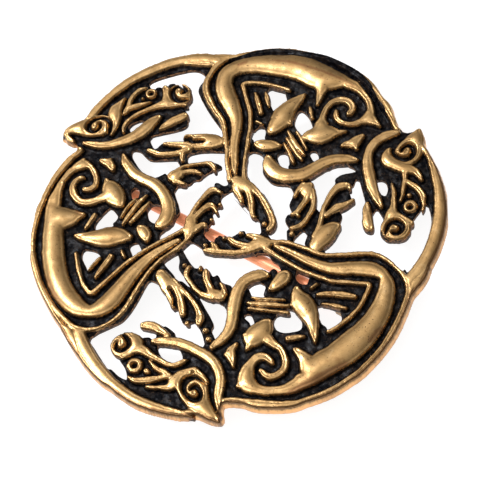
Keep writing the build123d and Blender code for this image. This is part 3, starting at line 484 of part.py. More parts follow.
def fields():
    """Depth inside the raised lines, and inside the whole casting, on the grid."""
    line = np.full((N, N), -9.0)
    rim = np.full((N, N), -9.0)
    for name, table in (("left", LEFT), ("top", TOP), ("lower", LOWER)):
        for part, kind, rows in table:
            C = spline(rows)
            C[:, 2] = np.maximum(C[:, 2], 0.03)
            C = turn(C, SPIN[name])
            i, j, X, Y = window(C, C[:, 2].max() + 0.6)
            d = stroke_depth(C, X, Y)
            line[i, j] = np.maximum(line[i, j], d) if kind == "R" else np.minimum(line[i, j], -d)
            if part in RIM_PARTS:
                rim[i, j] = np.maximum(rim[i, j], d)
    X, Y = np.meshgrid(AX, AX)
    outer = polygon_depth(spline(OUTLINE, True, 3), X, Y)
    # the rim's own bead, where one of its lines runs close to the edge
    line = np.maximum(line, np.minimum(np.minimum(outer + LINE_DRAFT, RIM_W - outer), rim + RIM_GAP))
    cast = outer + FLARE
    for _, rows in OPENINGS:
        P = spline(rows, True, 3)
        i, j, X, Y = window(P, 0.6)
        cast[i, j] = np.minimum(cast[i, j], -polygon_depth(P, X, Y))
    return line, np.maximum(cast, line)


STEPS = {1: ["bl"], 2: ["rb"], 3: ["rl"], 4: ["tr"], 5: ["bl", "tr"], 6: ["tb"], 7: ["tl"],
         8: ["lt"], 9: ["bt"], 10: ["rb", "lt"], 11: ["rt"], 12: ["lr"], 13: ["br"], 14: ["lb"]}


def loops(F, level):
    """Closed level lines of a field, counter-clockwise round what is inside."""
    In = F > level
    code = (In[:-1, :-1] * 1 + In[:-1, 1:] * 2 + In[1:, 1:] * 4 + In[1:, :-1] * 8)
    follow, point = {}, {}

    def at(key):
        if key not in point:
            k, i, j = key
            i2, j2 = (i, j + 1) if k == "h" else (i + 1, j)
            t = (level - F[i, j]) / (F[i2, j2] - F[i, j])
            point[key] = (AX[j] + t * (AX[j2] - AX[j]), AX[i] + t * (AX[i2] - AX[i]))
        return key

    for i, j in zip(*np.nonzero((code > 0) & (code < 15))):
        edge = {"b": ("h", i, j), "t": ("h", i + 1, j), "l": ("v", i, j), "r": ("v", i, j + 1)}
        for a, b in STEPS[int(code[i, j])]:
            follow[at(edge[a])] = at(edge[b])
    out = []
    while follow:
        start = next(iter(follow))
        key, ring = start, []
        while key in follow:
            ring.append(point[key])
            key = follow.pop(key)
        out.append(np.array(ring))
    return out


def straighten(P, tol):
    """Leave out the points that lie within tol of the line between their neighbours."""
    if len(P) < 3:
        return P
    a, d = P[0], P[-1] - P[0]
    L = math.hypot(*d)
    off = np.hypot(*(P - a).T) if L < 1e-9 else abs(d[0] * (P[:, 1] - a[1]) - d[1] * (P[:, 0] - a[0])) / L
    k = int(off.argmax())
    if off[k] <= tol:
        return P[[0, -1]]
    return np.vstack([straighten(P[:k + 1], tol)[:-1], straighten(P[k:], tol)])


def rings(F, level, tol, least):
    out = []
    for P in loops(F, level):
        area = 0.5 * float(np.sum(P[:, 0] * np.roll(P[:, 1], -1) - np.roll(P[:, 0], -1) * P[:, 1]))
        if abs(area) < least:
            continue
        k = int(np.hypot(*(P - P[0]).T).argmax())
        Q = np.vstack([straighten(P[:k + 1], tol)[:-1], straighten(np.vstack([P[k:], P[:1]]), tol)[:-1]])
        if len(Q) > 2:
            out.append((area, Q))
    return out


def holds(P, q):
    """Whether an outline holds a point."""
    x, y = q
    a, b = P, np.roll(P, -1, 0)
    cross = (a[:, 1] > y) != (b[:, 1] > y)
    xs = a[cross, 0] + (y - a[cross, 1]) * (b[cross, 0] - a[cross, 0]) / (b[cross, 1] - a[cross, 1])
    return bool(np.sum(xs > x) % 2)


def wire(P, z):
    return Wire.make_polygon([Vector(x - BOX_X, y - BOX_Y, z) for x, y in P], close=True)


def flat_faces(lower, upper, z, up):
    """Level faces at height z: the area inside lower's outlines and outside upper's."""
    curves = [(a > 0, P, True) for a, P in lower] + [(a > 0, P, False) for a, P in upper]
    depth = []
    for i, (_, P, _) in enumerate(curves):
        depth.append([k for k, (_, Q, _) in enumerate(curves) if k != i and holds(Q, P[0])])
    faces = []
    for i, (ccw, P, low) in enumerate(curves):
        opens = ccw if low else not ccw       # a level area starts just inside this outline
        if not opens:
            continue
        inner = [curves[k][1] for k in range(len(curves))
                 if i in depth[k] and len(depth[k]) == len(depth[i]) + 1]
        f = Face(wire(P, z), [wire(Q, z) for Q in inner])
        n = f.normal_at()
        faces.append(f if (n.Z > 0) == up else -f)
    return faces


def walls(rs, z0, z1):
    out = []
    for _, P in rs:
        for (x0, y0), (x1, y1) in zip(P, np.roll(P, -1, 0)):
            pts = [Vector(x0 - BOX_X, y0 - BOX_Y, z0), Vector(x1 - BOX_X, y1 - BOX_Y, z0),
                   Vector(x1 - BOX_X, y1 - BOX_Y, z1), Vector(x0 - BOX_X, y0 - BOX_Y, z1)]
            out.append(Face(Wire.make_polygon(pts, close=True)))
    return out


LINE, CAST = fields()
R0 = rings(CAST, 0.0, TRIM_CAST, 0.10)
R1 = rings(LINE, LINE_DRAFT, TRIM_LINE, 0.14)
R2 = rings(LINE, BODY_INSET, TRIM_BODY, 1.2)
ALL = np.vstack([P for _, P in R0])
BOX_X, BOX_Y = (ALL.min(0) + ALL.max(0)) / 2
print("box middle in the disc's frame: %.4f %.4f" % (BOX_X, BOX_Y))
print("outlines: casting %d with %d points, lines %d with %d, wide forms %d with %d" % (
    len(R0), sum(len(P) for _, P in R0), len(R1), sum(len(P) for _, P in R1),
    len(R2), sum(len(P) for _, P in R2)))

skin = (flat_faces(R0, [], BACK_Z, False) + walls(R0, BACK_Z, GROUND_Z)
        + flat_faces(R0, R1, GROUND_Z, True) + walls(R1, GROUND_Z, LINE_Z)
        + flat_faces(R1, R2, LINE_Z, True) + walls(R2, LINE_Z, BODY_Z)
        + flat_faces(R2, [], BODY_Z, True))
disc = Solid(Shell(skin))
print("casting before its fittings: %.2f mm3, valid %s, faces %d" % (disc.volume, disc.is_valid, len(disc.faces())))

# ---- fittings, laid out along the pin: X along the pin towards its tip, Y across, Z up ----
turn_deg = math.degrees(math.atan2(PIN_DY, PIN_DX))
pin_frame = Location((PIN_X - BOX_X, PIN_Y - BOX_Y, 0), (0, 0, turn_deg))


def block(s0, s1, v0, v1, z0, z1):
    return Pos((s0 + s1) / 2, (v0 + v1) / 2, (z0 + z1) / 2) * Box(s1 - s0, v1 - v0, z1 - z0)


def across(r, v0, v1, s, z):
    """Round bar along Y of the pin's frame."""
    return Pos(s, (v0 + v1) / 2, z) * Rot(90, 0, 0) * Cylinder(r, v1 - v0)


SOLDER = 0.20                  # how far the fittings run into the back
lugs = block(HINGE_S - LUG_HALF, HINGE_S + LUG_HALF, LUG_IN, LUG_OUT, 0, BACK_Z + SOLDER)
lugs += block(HINGE_S - LUG_HALF, HINGE_S + LUG_HALF, -LUG_OUT, -LUG_IN, 0, BACK_Z + SOLDER)
lugs = fillet(lugs.edges().filter_by(Axis.Y).group_by(Axis.Z)[0], 0.7)
lugs -= across(LUG_BORE_R, -LUG_OUT - 1, LUG_OUT + 1, HINGE_S, PIN_Z)
catch = block(CATCH_S0, CATCH_S1, CHEEK_IN, CHEEK_HIGH, 0, BACK_Z + SOLDER)
catch = fillet(catch.edges().filter_by(Axis.Y).group_by(Axis.Z)[0], 0.4)
catch += block(CATCH_S0, CATCH_S1, -CHEEK_LOW, -CHEEK_IN, LOW_CHEEK_Z, BACK_Z + SOLDER)
casting = Part() + disc
casting += pin_frame * lugs
casting += pin_frame * catch

eye = across(EYE_R, -EYE_W / 2, EYE_W / 2, HINGE_S, PIN_Z)
shaft = Pos((HINGE_S + TIP_S - TAPER) / 2, 0, PIN_Z) * Rot(0, 90, 0) * Cylinder(PIN_D / 2, TIP_S - TAPER - HINGE_S)
point = Pos(TIP_S - TAPER / 2, 0, PIN_Z) * Rot(0, 90, 0) * Cone(PIN_D / 2, 0.12, TAPER)
pin = eye + shaft + point - across(EYE_BORE_R, -2, 2, HINGE_S, PIN_Z)

rivet = across(RIVET_R, -LUG_OUT - 0.05, LUG_OUT + 0.05, HINGE_S, PIN_Z)
rivet += across(HEAD_R, LUG_OUT + 0.03, LUG_OUT + 0.03 + HEAD_T, HINGE_S, PIN_Z)
rivet += across(HEAD_R, -LUG_OUT - 0.03 - HEAD_T, -LUG_OUT - 0.03, HINGE_S, PIN_Z)

os.makedirs("parts", exist_ok=True)
for name, shape in (("hound_disc", casting), ("pin", pin_frame * pin), ("hinge_rivet", pin_frame * rivet)):
    solids = shape.solids()
    print(name, "solids", len(solids), "volume %.2f" % sum(s.volume for s in solids))
    export_step(solids[0] if len(solids) == 1 else shape, "parts/%s.step" % name)
print("hinge at", [round(v, 4) for v in (pin_frame * Location((HINGE_S, 0, PIN_Z))).position])
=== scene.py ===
# Openwork disc brooch of three interlaced hounds: the cast relief is worked out from the
# tables of its raised lines and openings, in the disc's own frame, in millimetres.
import math
import bpy
import numpy as np
from mathutils import Matrix, Vector
from mathutils.geometry import delaunay_2d_cdt


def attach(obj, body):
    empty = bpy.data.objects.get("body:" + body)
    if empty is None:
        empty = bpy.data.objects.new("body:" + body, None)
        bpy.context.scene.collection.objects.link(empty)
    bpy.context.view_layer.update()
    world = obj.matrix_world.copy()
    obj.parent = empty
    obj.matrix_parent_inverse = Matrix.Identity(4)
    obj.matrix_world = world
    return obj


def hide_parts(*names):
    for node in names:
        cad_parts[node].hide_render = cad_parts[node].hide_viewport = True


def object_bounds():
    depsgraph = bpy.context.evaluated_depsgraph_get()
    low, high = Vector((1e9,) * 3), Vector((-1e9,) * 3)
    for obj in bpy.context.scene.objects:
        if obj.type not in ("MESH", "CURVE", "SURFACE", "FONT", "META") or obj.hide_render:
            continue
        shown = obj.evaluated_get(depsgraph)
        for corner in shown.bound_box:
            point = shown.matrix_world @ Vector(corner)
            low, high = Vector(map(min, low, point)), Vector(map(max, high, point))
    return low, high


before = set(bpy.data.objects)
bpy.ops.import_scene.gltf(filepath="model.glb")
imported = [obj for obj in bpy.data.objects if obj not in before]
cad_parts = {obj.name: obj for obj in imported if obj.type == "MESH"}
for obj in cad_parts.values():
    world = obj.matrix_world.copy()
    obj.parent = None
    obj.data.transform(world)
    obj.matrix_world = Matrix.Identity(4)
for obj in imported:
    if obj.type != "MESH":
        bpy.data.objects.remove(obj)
cad_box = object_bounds()

# ---- sizes (mm) ----
BACK_Z = 2.60                  # flat back of the casting
GROUND_Z = BACK_Z + 0.72       # sunk ground
TOP_Z = BACK_Z + 1.742         # highest crest
LINE_RISE = 0.60               # crest of a thin line over the ground
RISE_PER_MM = 0.29             # how much higher a wider form's crest is, per mm of half width
SKIRT = 0.20                   # how far a raised line's dark foot spreads past its bright edge
SHOULDER = 0.50                # height of a groove's bright edge over the ground
PLANE_Z = BACK_Z + 1.50        # plane of the ridge tops, where the camera was fitted
BOX_X, BOX_Y = 0.1744, -0.5544 # middle of the CAD box in the disc's frame
FLARE = 0.26                   # how far the rim's outer side spreads past the top's outline
RIM_W, RIM_GAP, RIM_OUT = 0.42, 0.50, 0.12   # the rim's own bead: width, reach, and how far it runs past the outline
HALF = 23.4
GRID = 0.0755
SPIN = {"left": 0.0, "top": -120.0, "lower": 120.0}

# Openings through the openwork: (name, outline of the hole as (x, y) mm in the disc's frame)
OPENINGS = [
    ("ring_gap_right", [
     (13.2, 4.5), (13.5, 4.47), (13.71, 4.1), (14.34, 1.5), (14.51, 1.4), (14.18, -0.15), (14.31, -1.4), (14.55, -1.71), (14.9, -1.73),
     (14.79, 0.15), (14.95, 0.1), (15.35, 0.76), (15.65, 0.66), (16.16, -0.3), (16.2, -0.75), (16.35, -0.66), (16.4, -0.85), (15.84, -2.1),
     (16.28, -2.8), (16.65, -3.04), (17.05, -3.11), (17.01, -2.95), (17.95, -2.87), (18.5, -2.62), (18.86, -1.6), (19.15, -1.35), (19.05, -1),
     (20.44, 0.95), (20.8, 0.98), (20.96, 0.75), (21.22, -1.1), (20.71, -3.3), (20.01, -4.95), (18.65, -6.65), (18.35, -6.28), (17.8, -6.61),
     (16.45, -5.24), (14.88, -4.5), (15.2, -4.45), (15.04, -4.35), (13.6, -4.23), (12.48, -4.35), (12.85, -4.51), (10.5, -4.62), (10.1, -4.45),
     (9.96, -3.85), (9.74, -3.75), (10.9, -2.46), (11.46, -1.35), (11.28, -0.9), (11.51, -0.7), (11.77, 0.2), (11.57, 0.7), (12.61, 1.5),
     (12.72, 2.25), (12.47, 3.3), (12.96, 3.8)]),
    ("ring_gap_lower", [
     (-2.56, -14.35), (-5.45, -13.11), (-5.65, -12.68), (-6.6, -11.91), (-6.95, -11.92), (-7.85, -11.43), (-9.1, -11.39), (-9.35, -11.8), (-7.73, -12.45),
     (-7.69, -13.3), (-8, -13.41), (-8.35, -13.08), (-8.95, -13.14), (-9.15, -13.43), (-9.95, -12.94), (-11.05, -12.68), (-11.83, -13.3), (-12.07, -13.85),
     (-11.94, -14.75), (-11.28, -15.3), (-11.35, -15.5), (-10.64, -16.55), (-10.38, -17.6), (-10.55, -17.72), (-11.31, -17.35), (-12.2, -16.54), (-12.65, -16.42),
     (-14.16, -14.25), (-14.77, -12.9), (-12, -11.46), (-11.03, -10.65), (-10.09, -9.1), (-9.06, -6.85), (-8.5, -6.58), (-7.35, -7.39), (-6.25, -9.18),
     (-6.18, -9.9), (-5.48, -10.05), (-4.95, -11.37), (-4.5, -11.75), (-3.8, -11.53), (-3.5, -11.64), (-2.79, -12.7)]),
    ("ring_gap_upper", [
     (-1.35, 10.54), (-2.3, 10.48), (-4.2, 11.07), (-5.65, 11.02), (-6.13, 10.7), (-6.1, 10.2), (-8.25, 10.12), (-8.55, 10.26), (-9.31, 9.55),
     (-10.01, 10.8), (-9.81, 11.2), (-9.5, 11.41), (-6.4, 12.04), (-5.71, 12.75), (-5.9, 13.65), (-5.77, 13.8), (-6.25, 14.75), (-5.62, 15.45),
     (-5.71, 16.85), (-5.53, 16.95), (-5.7, 17.23), (-5.9, 17.09), (-7.3, 17.7), (-7.55, 18.07), (-8.21, 18), (-8.4, 17.34), (-8.75, 17.28),
     (-9.05, 17.63), (-9.6, 17.72), (-9.95, 17.39), (-10.31, 17.6), (-10.56, 18.4), (-9.15, 19.06), (-6.6, 19.67), (-5.25, 19.75), (-4.35, 19.32),
     (-3.98, 18.5), (-4.72, 17.2), (-4.41, 16.05), (-3.31, 13.95), (-1.7, 11.52), (-1.6, 11.63), (-1.5, 11.46)]),
    ("paw_gap_left", [
     (-7.75, -2.2), (-8.07, -1.15), (-7.53, -0.65), (-7.57, -0.4), (-6.84, 0.15), (-6.52, 1.2), (-6.35, 0.98), (-6.03, 1.75), (-6.71, 3.85),
     (-6.65, 4.31), (-6.17, 4.85), (-5.1, 4.89), (-4.6, 5.4), (-3.95, 5.44), (-3, 6.26), (-1.59, 6.75), (-1.95, 7.21), (-2.85, 7.47),
     (-5.05, 7.29), (-5.5, 8.45), (-4.1, 8.92), (-1.45, 8.8), (-1.1, 8.54), (-0.93, 8.1), (-0.93, 6.55), (-0.59, 4.9), (-1.15, 4.48),
     (-1.9, 4.91), (-2.25, 4.8), (-2.39, 4), (-3.6, 2.79), (-3.9, 2.72), (-4.31, 2.1), (-5, 0.19), (-5.3, -0.35), (-5.6, -0.85), (-5.84, -1.1)]),
    ("paw_gap_lower", [
     (-5.4, -2.79), (-4.65, -2.09), (-3.4, -2.83), (-3, -3.36), (-2, -3.67), (-0.05, -3.92), (2.15, -3.73), (2.55, -4.02), (2.95, -3.81),
     (3.65, -3.94), (4.05, -4.13), (4.45, -4.77), (5.07, -5.2), (5.4, -6.05), (5.05, -6.22), (4.9, -5.85), (4.5, -5.73), (3.85, -6.31),
     (2.95, -5.89), (2.65, -6.26), (1.6, -6.4), (0.75, -7.67), (0.25, -7.8), (0.05, -7.47), (-0.92, -7.05), (-1.35, -6.22), (-1.9, -6.37),
     (-2.3, -5.74), (-2.7, -5.8), (-3.15, -5.19), (-3.95, -5.27), (-5.01, -3.8)]),
    ("paw_gap_right", [
     (1.3, 8.55), (1.55, 8.43), (1.9, 8.63), (2.86, 8.2), (3.2, 7.3), (3.37, 7.25), (3.37, 6.35), (3.3, 6.11), (3.15, 6.18),
     (3.14, 5.75), (3.98, 4.7), (4.75, 4.34), (5.95, 4.16), (6.31, 3.75), (6.52, 3), (6.08, 1.75), (6.47, 0.8), (6.3, 0.6),
     (5.95, 0.6), (5.68, -0.1), (6.15, -1.05), (5.88, -1.35), (5.9, -2.86), (4.71, -2.65), (4.74, -2.5), (4.18, -2.15), (3.69, -1.3),
     (4.05, -0.94), (4.1, -1.3), (4.51, -0.85), (4.52, -0.1), (4.19, 0.95), (4.35, 0.93), (4.36, 1.15), (3.29, 3.2), (2.84, 3.25),
     (1.7, 4.55), (1.79, 4.65), (1.45, 5.36), (1.09, 5.5), (0.83, 7.6)]),
    ("centre", [
     (2.99, -1.6), (1.6, -1.57), (1.15, -1.09), (-0.3, -1.91), (-0.75, -1.59), (-1.05, -1.7), (-1.42, -1.55), (-1.91, -1.95), (-1.95, -2.42),
     (-2.3, -2.34), (-3.02, -1.55), (-3.17, -1.2), (-2.96, -0.5), (-2.54, -0.2), (-2.24, 0.6), (-2.35, 1.2), (-1.8, 1.7), (-1.44, 2.35),
     (-1.5, 3), (-0.81, 3.65), (0, 3.77), (1.5, 1.55), (1.91, 1.55), (2.19, 0.55), (2.81, 0.1), (3.02, -0.6)]),
    ("tail_gap_right", [
     (9.35, 0.69), (9.15, 1.03), (8.77, 1.1), (8.82, 2.45), (8.5, 3.4), (8.52, 4.2), (8.29, 4.95), (9.7, 5.86), (10.35, 5.9),
     (10.6, 6.26), (11.5, 6.52), (12.52, 6.4), (12.38, 6.25), (12.97, 5.95), (13.2, 5.45), (11.75, 5.16), (10.98, 4.6), (11.01, 4.1),
     (10, 2.1), (10.16, 2), (9.86, 1.05), (9.65, 0.7)]),
    ("tail_gap_left", [
     (-11.95, 9.46), (-11.55, 9.62), (-10.9, 9.36), (-10.25, 8.63), (-9.45, 8.19), (-6.9, 8.11), (-6.59, 7.85), (-6.25, 6.95), (-7.6, 6.19),
     (-7.95, 6.41), (-9.05, 5.94), (-10.55, 6.73), (-11.81, 8.55)]),
    ("tail_gap_lower", [
     (-3.35, -8.34), (-1.85, -9.11), (-1.5, -9.06), (-1.13, -9.2), (-1.09, -9.4), (-0.6, -9.68), (-0.39, -10), (-0.18, -10.6), (-0.32, -12.3),
     (-0.3, -12.39), (-0.15, -12.31), (-0.13, -12.45), (-0.35, -12.92), (-0.7, -13.05), (-0.65, -13.3), (-1, -13.76), (-1.31, -13.5), (-1.76, -12.5),
     (-1.61, -11.7), (-2.91, -9.4)]),
    ("haunch_gap_lower", [(4.97, -12.53), (4.79, -11.5), (5.6, -10.66), (6.55, -10.45), (7.43, -11.11), (7.76, -11.92), (7.63, -12.72), (6.6, -12.98), (5.78, -13.0)]),
    ("rib_gap_lower", [
     (9.15, -10.36), (10.2, -10.08), (11.65, -10.51), (11.77, -10.65), (11.68, -10.8), (11.86, -11.75), (11.3, -12.41), (10.7, -12.76), (10.3, -12.76),
     (10.23, -12.5), (9.78, -12.15), (9.55, -11.66), (9.35, -11.62)]),
    ("rib_gap_upper", [
     (4.15, 13.63), (3.7, 14.33), (3.55, 14.27), (3.09, 15.8), (3.7, 16.82), (5.05, 16.36), (5.39, 16.1), (5.29, 16), (5.52, 14.95),
     (5.46, 14.6)]),
    ("toe_gap_lower", [
     (-3.95, -7.68), (-4.3, -7.62), (-5.2, -6.79), (-5.6, -6.81), (-5.91, -6.55), (-6.25, -5.94), (-7.06, -5), (-7.36, -4.25), (-6.15, -3.34),
     (-5.97, -3.35), (-5.64, -4.25), (-5.67, -5.15), (-5.46, -5.6), (-5.05, -6.12), (-4.75, -6.24), (-3.94, -7.5)]),
    ("leaf_gap_left", [
     (-13.7, 2.34), (-13.05, 1.61), (-12.89, 1.25), (-13.04, 0.85), (-13.41, 0.45), (-13.34, 0.15), (-14.32, -0.25), (-14.14, -0.3), (-14.21, -0.4),
     (-15.09, -0.65), (-15.46, 0.5), (-14.2, 2.22)]),
    ("leaf_gap_upper", [
     (7.05, 13.52), (7.31, 13.45), (7.76, 13), (8.16, 12.25), (8.47, 11.05), (7.85, 10.54), (7.3, 10.29), (6.74, 11), (6.38, 11.9),
     (6.69, 13.15)]),
    ("jaw_gap_lower", [
     (-7.28, -14), (-6.4, -13.98), (-5.15, -14.35), (-4.59, -15.6), (-5.15, -16.02), (-5.65, -16.02), (-6.25, -15.81), (-6.97, -15.25), (-7.41, -14.35),
     (-7.2, -14.1)]),
    ("rib_gap_left", [
     (-15.5, -5.32), (-16.11, -4.5), (-16.61, -3.5), (-16.56, -2.8), (-16.25, -2.53), (-14.95, -2.89), (-14.45, -3.85)]),
    ("round_gap_lower", [
     (3.75, -8.92), (2.85, -9), (2.4, -8.81), (1.95, -7.84), (1.78, -7.8), (1.84, -7.6), (2.55, -7.19), (3.16, -7.05), (3.21, -7.25),
     (3.62, -7.45), (3.81, -7.85), (3.63, -8.6)]),
    ("stub_gap_upper", [
     (3.22, 9.95), (2.6, 9.78), (1.93, 9.8), (1.85, 10.11), (1.39, 10.35), (1.55, 11.36), (1.9, 11.24), (2.25, 11.6), (2.9, 11.8),
     (3.22, 11.05), (3.13, 10.3)]),
    ("jaw_gap_left", [
     (-12.13, 11.5), (-12.1, 11.65), (-12.56, 12.45), (-12.46, 12.75), (-11.95, 13.21), (-11, 13.45), (-10.54, 12.7), (-11.49, 11.8)]),
    ("toe_gap_right", [
     (7.55, -1.37), (7.95, -1.64), (8.1, -2), (7.84, -2.85), (8, -3.2), (7.98, -3.55), (7.85, -3.62), (6.53, -3), (6.65, -2.9),
     (6.64, -2.35)]),
    ("round_gap_upper", [
     (5.94, 6.2), (5.45, 6.24), (5.04, 6.5), (4.58, 7.65), (4.8, 8.21), (5.5, 8.26), (5.76, 7.9), (5.92, 7.5), (5.97, 6.8),
     (5.83, 6.5)]),
    ("jaw_gap_right", [
     (16.45, 2.37), (16, 2.49), (15.75, 2.8), (15.65, 2.72), (15.55, 2.83), (15.28, 3.8), (15.35, 4.21), (16, 4.3), (16.46, 4),
     (16.67, 3.2)]),
    ("stub_gap_left", [
     (-11.3, -2.29), (-10.7, -1.98), (-10.29, -2.15), (-9.75, -3.3), (-9.83, -3.5), (-10.55, -3.92), (-10.8, -3.77), (-11.26, -2.75)]),
    ("stub_gap_lower", [
     (8.1, -7.65), (7.5, -7.56), (7.04, -7.1), (6.93, -6.65), (7.25, -6.04), (8.36, -6.6), (8.32, -7.25)]),
    ("round_gap_left", [(-9.65, 1.9), (-9.35, 2.5), (-8.8, 2.62), (-8.15, 2.4), (-7.9, 1.8), (-8.1, 0.9), (-8.6, 0.3), (-9.1, 0.45), (-9.5, 0.95)]),
    ("small_gap_upper", [
     (8.45, 8.31), (8.95, 8.16), (9.22, 7.35), (9, 7.09), (8.65, 6.97), (8.18, 7.8), (8.24, 8.15)]),
    ("small_gap_lower", [
     (1.75, -10.83), (2.15, -10.79), (2.46, -11), (2.77, -11.75), (2.51, -12.05), (2.28, -12.05), (2.21, -11.75), (1.74, -11.3), (1.63, -11)]),
    ("pin_peep_left", [(-11.7, 4.3), (-11.35, 4.8), (-10.9, 4.7), (-10.65, 4.2), (-10.75, 3.6), (-11.1, 3.2), (-11.5, 3.5)]),
]

# Outer outline of the casting, (x, y) mm in the disc's frame
OUTLINE = [
     (-20.1, 11.85), (-20, 11.58), (-19.6, 11.52), (-19.15, 10.99), (-18.9, 11.15), (-18.28, 10.85), (-18.05, 10.3), (-18.06, 9.5), (-19.17, 8.5),
     (-20.16, 7.1), (-21.21, 4.95), (-21.85, 2.9), (-22.11, 2.75), (-22.28, -1.25), (-22.07, -3), (-22.25, -3.15), (-21.91, -4.5), (-20.84, -7.05),
     (-18.86, -10.4), (-17.34, -12.35), (-15.2, -15.71), (-12.96, -18.05), (-12.34, -18.5), (-12.4, -18.26), (-9.7, -20.16), (-7.95, -20.96), (-4.65, -21.77),
     (-3.9, -21.82), (-3.7, -21.63), (-2.85, -21.77), (-2.7, -21.6), (-0.6, -22.53), (-0.23, -22.15), (-0.55, -21.35), (-0.25, -20.55), (1.6, -20.48),
     (3.3, -21.12), (6.2, -21.22), (7.7, -21), (7.89, -20.9), (7.77, -20.8), (10.65, -19.76), (13.7, -17.82), (16.15, -15.11), (17.64, -12.6),
     (18.95, -9.13), (19.5, -8.71), (20.54, -7), (20.64, -6.35), (21.71, -4.2), (22.52, -1.2), (22.57, 1.4), (21.96, 4.45), (20.6, 7.8),
     (20.34, 7.95), (20.37, 8.95), (20.13, 9.8), (19.75, 10.07), (18.65, 9.55), (18.55, 9.85), (18, 10.08), (17.55, 10.6), (17.03, 12.35),
     (17.15, 12.7), (16.6, 13.87), (16.09, 14.15), (15.12, 16.15), (12.96, 18.25), (10.05, 20.11), (9.55, 20.28), (9.63, 20.15), (9.45, 20.15),
     (8.9, 20.6), (8.75, 20.45), (4.9, 21.37), (2.45, 21.37), (-0.75, 20.94), (-0.9, 21.16), (-2.5, 21.22), (-2.8, 21.03), (-4.1, 21.37),
     (-7.3, 21.12), (-9.85, 20.36), (-12.71, 18.9), (-15.82, 16.05), (-17.1, 14.29), (-17.41, 14.15), (-17.45, 13.63), (-19.35, 12.66)]

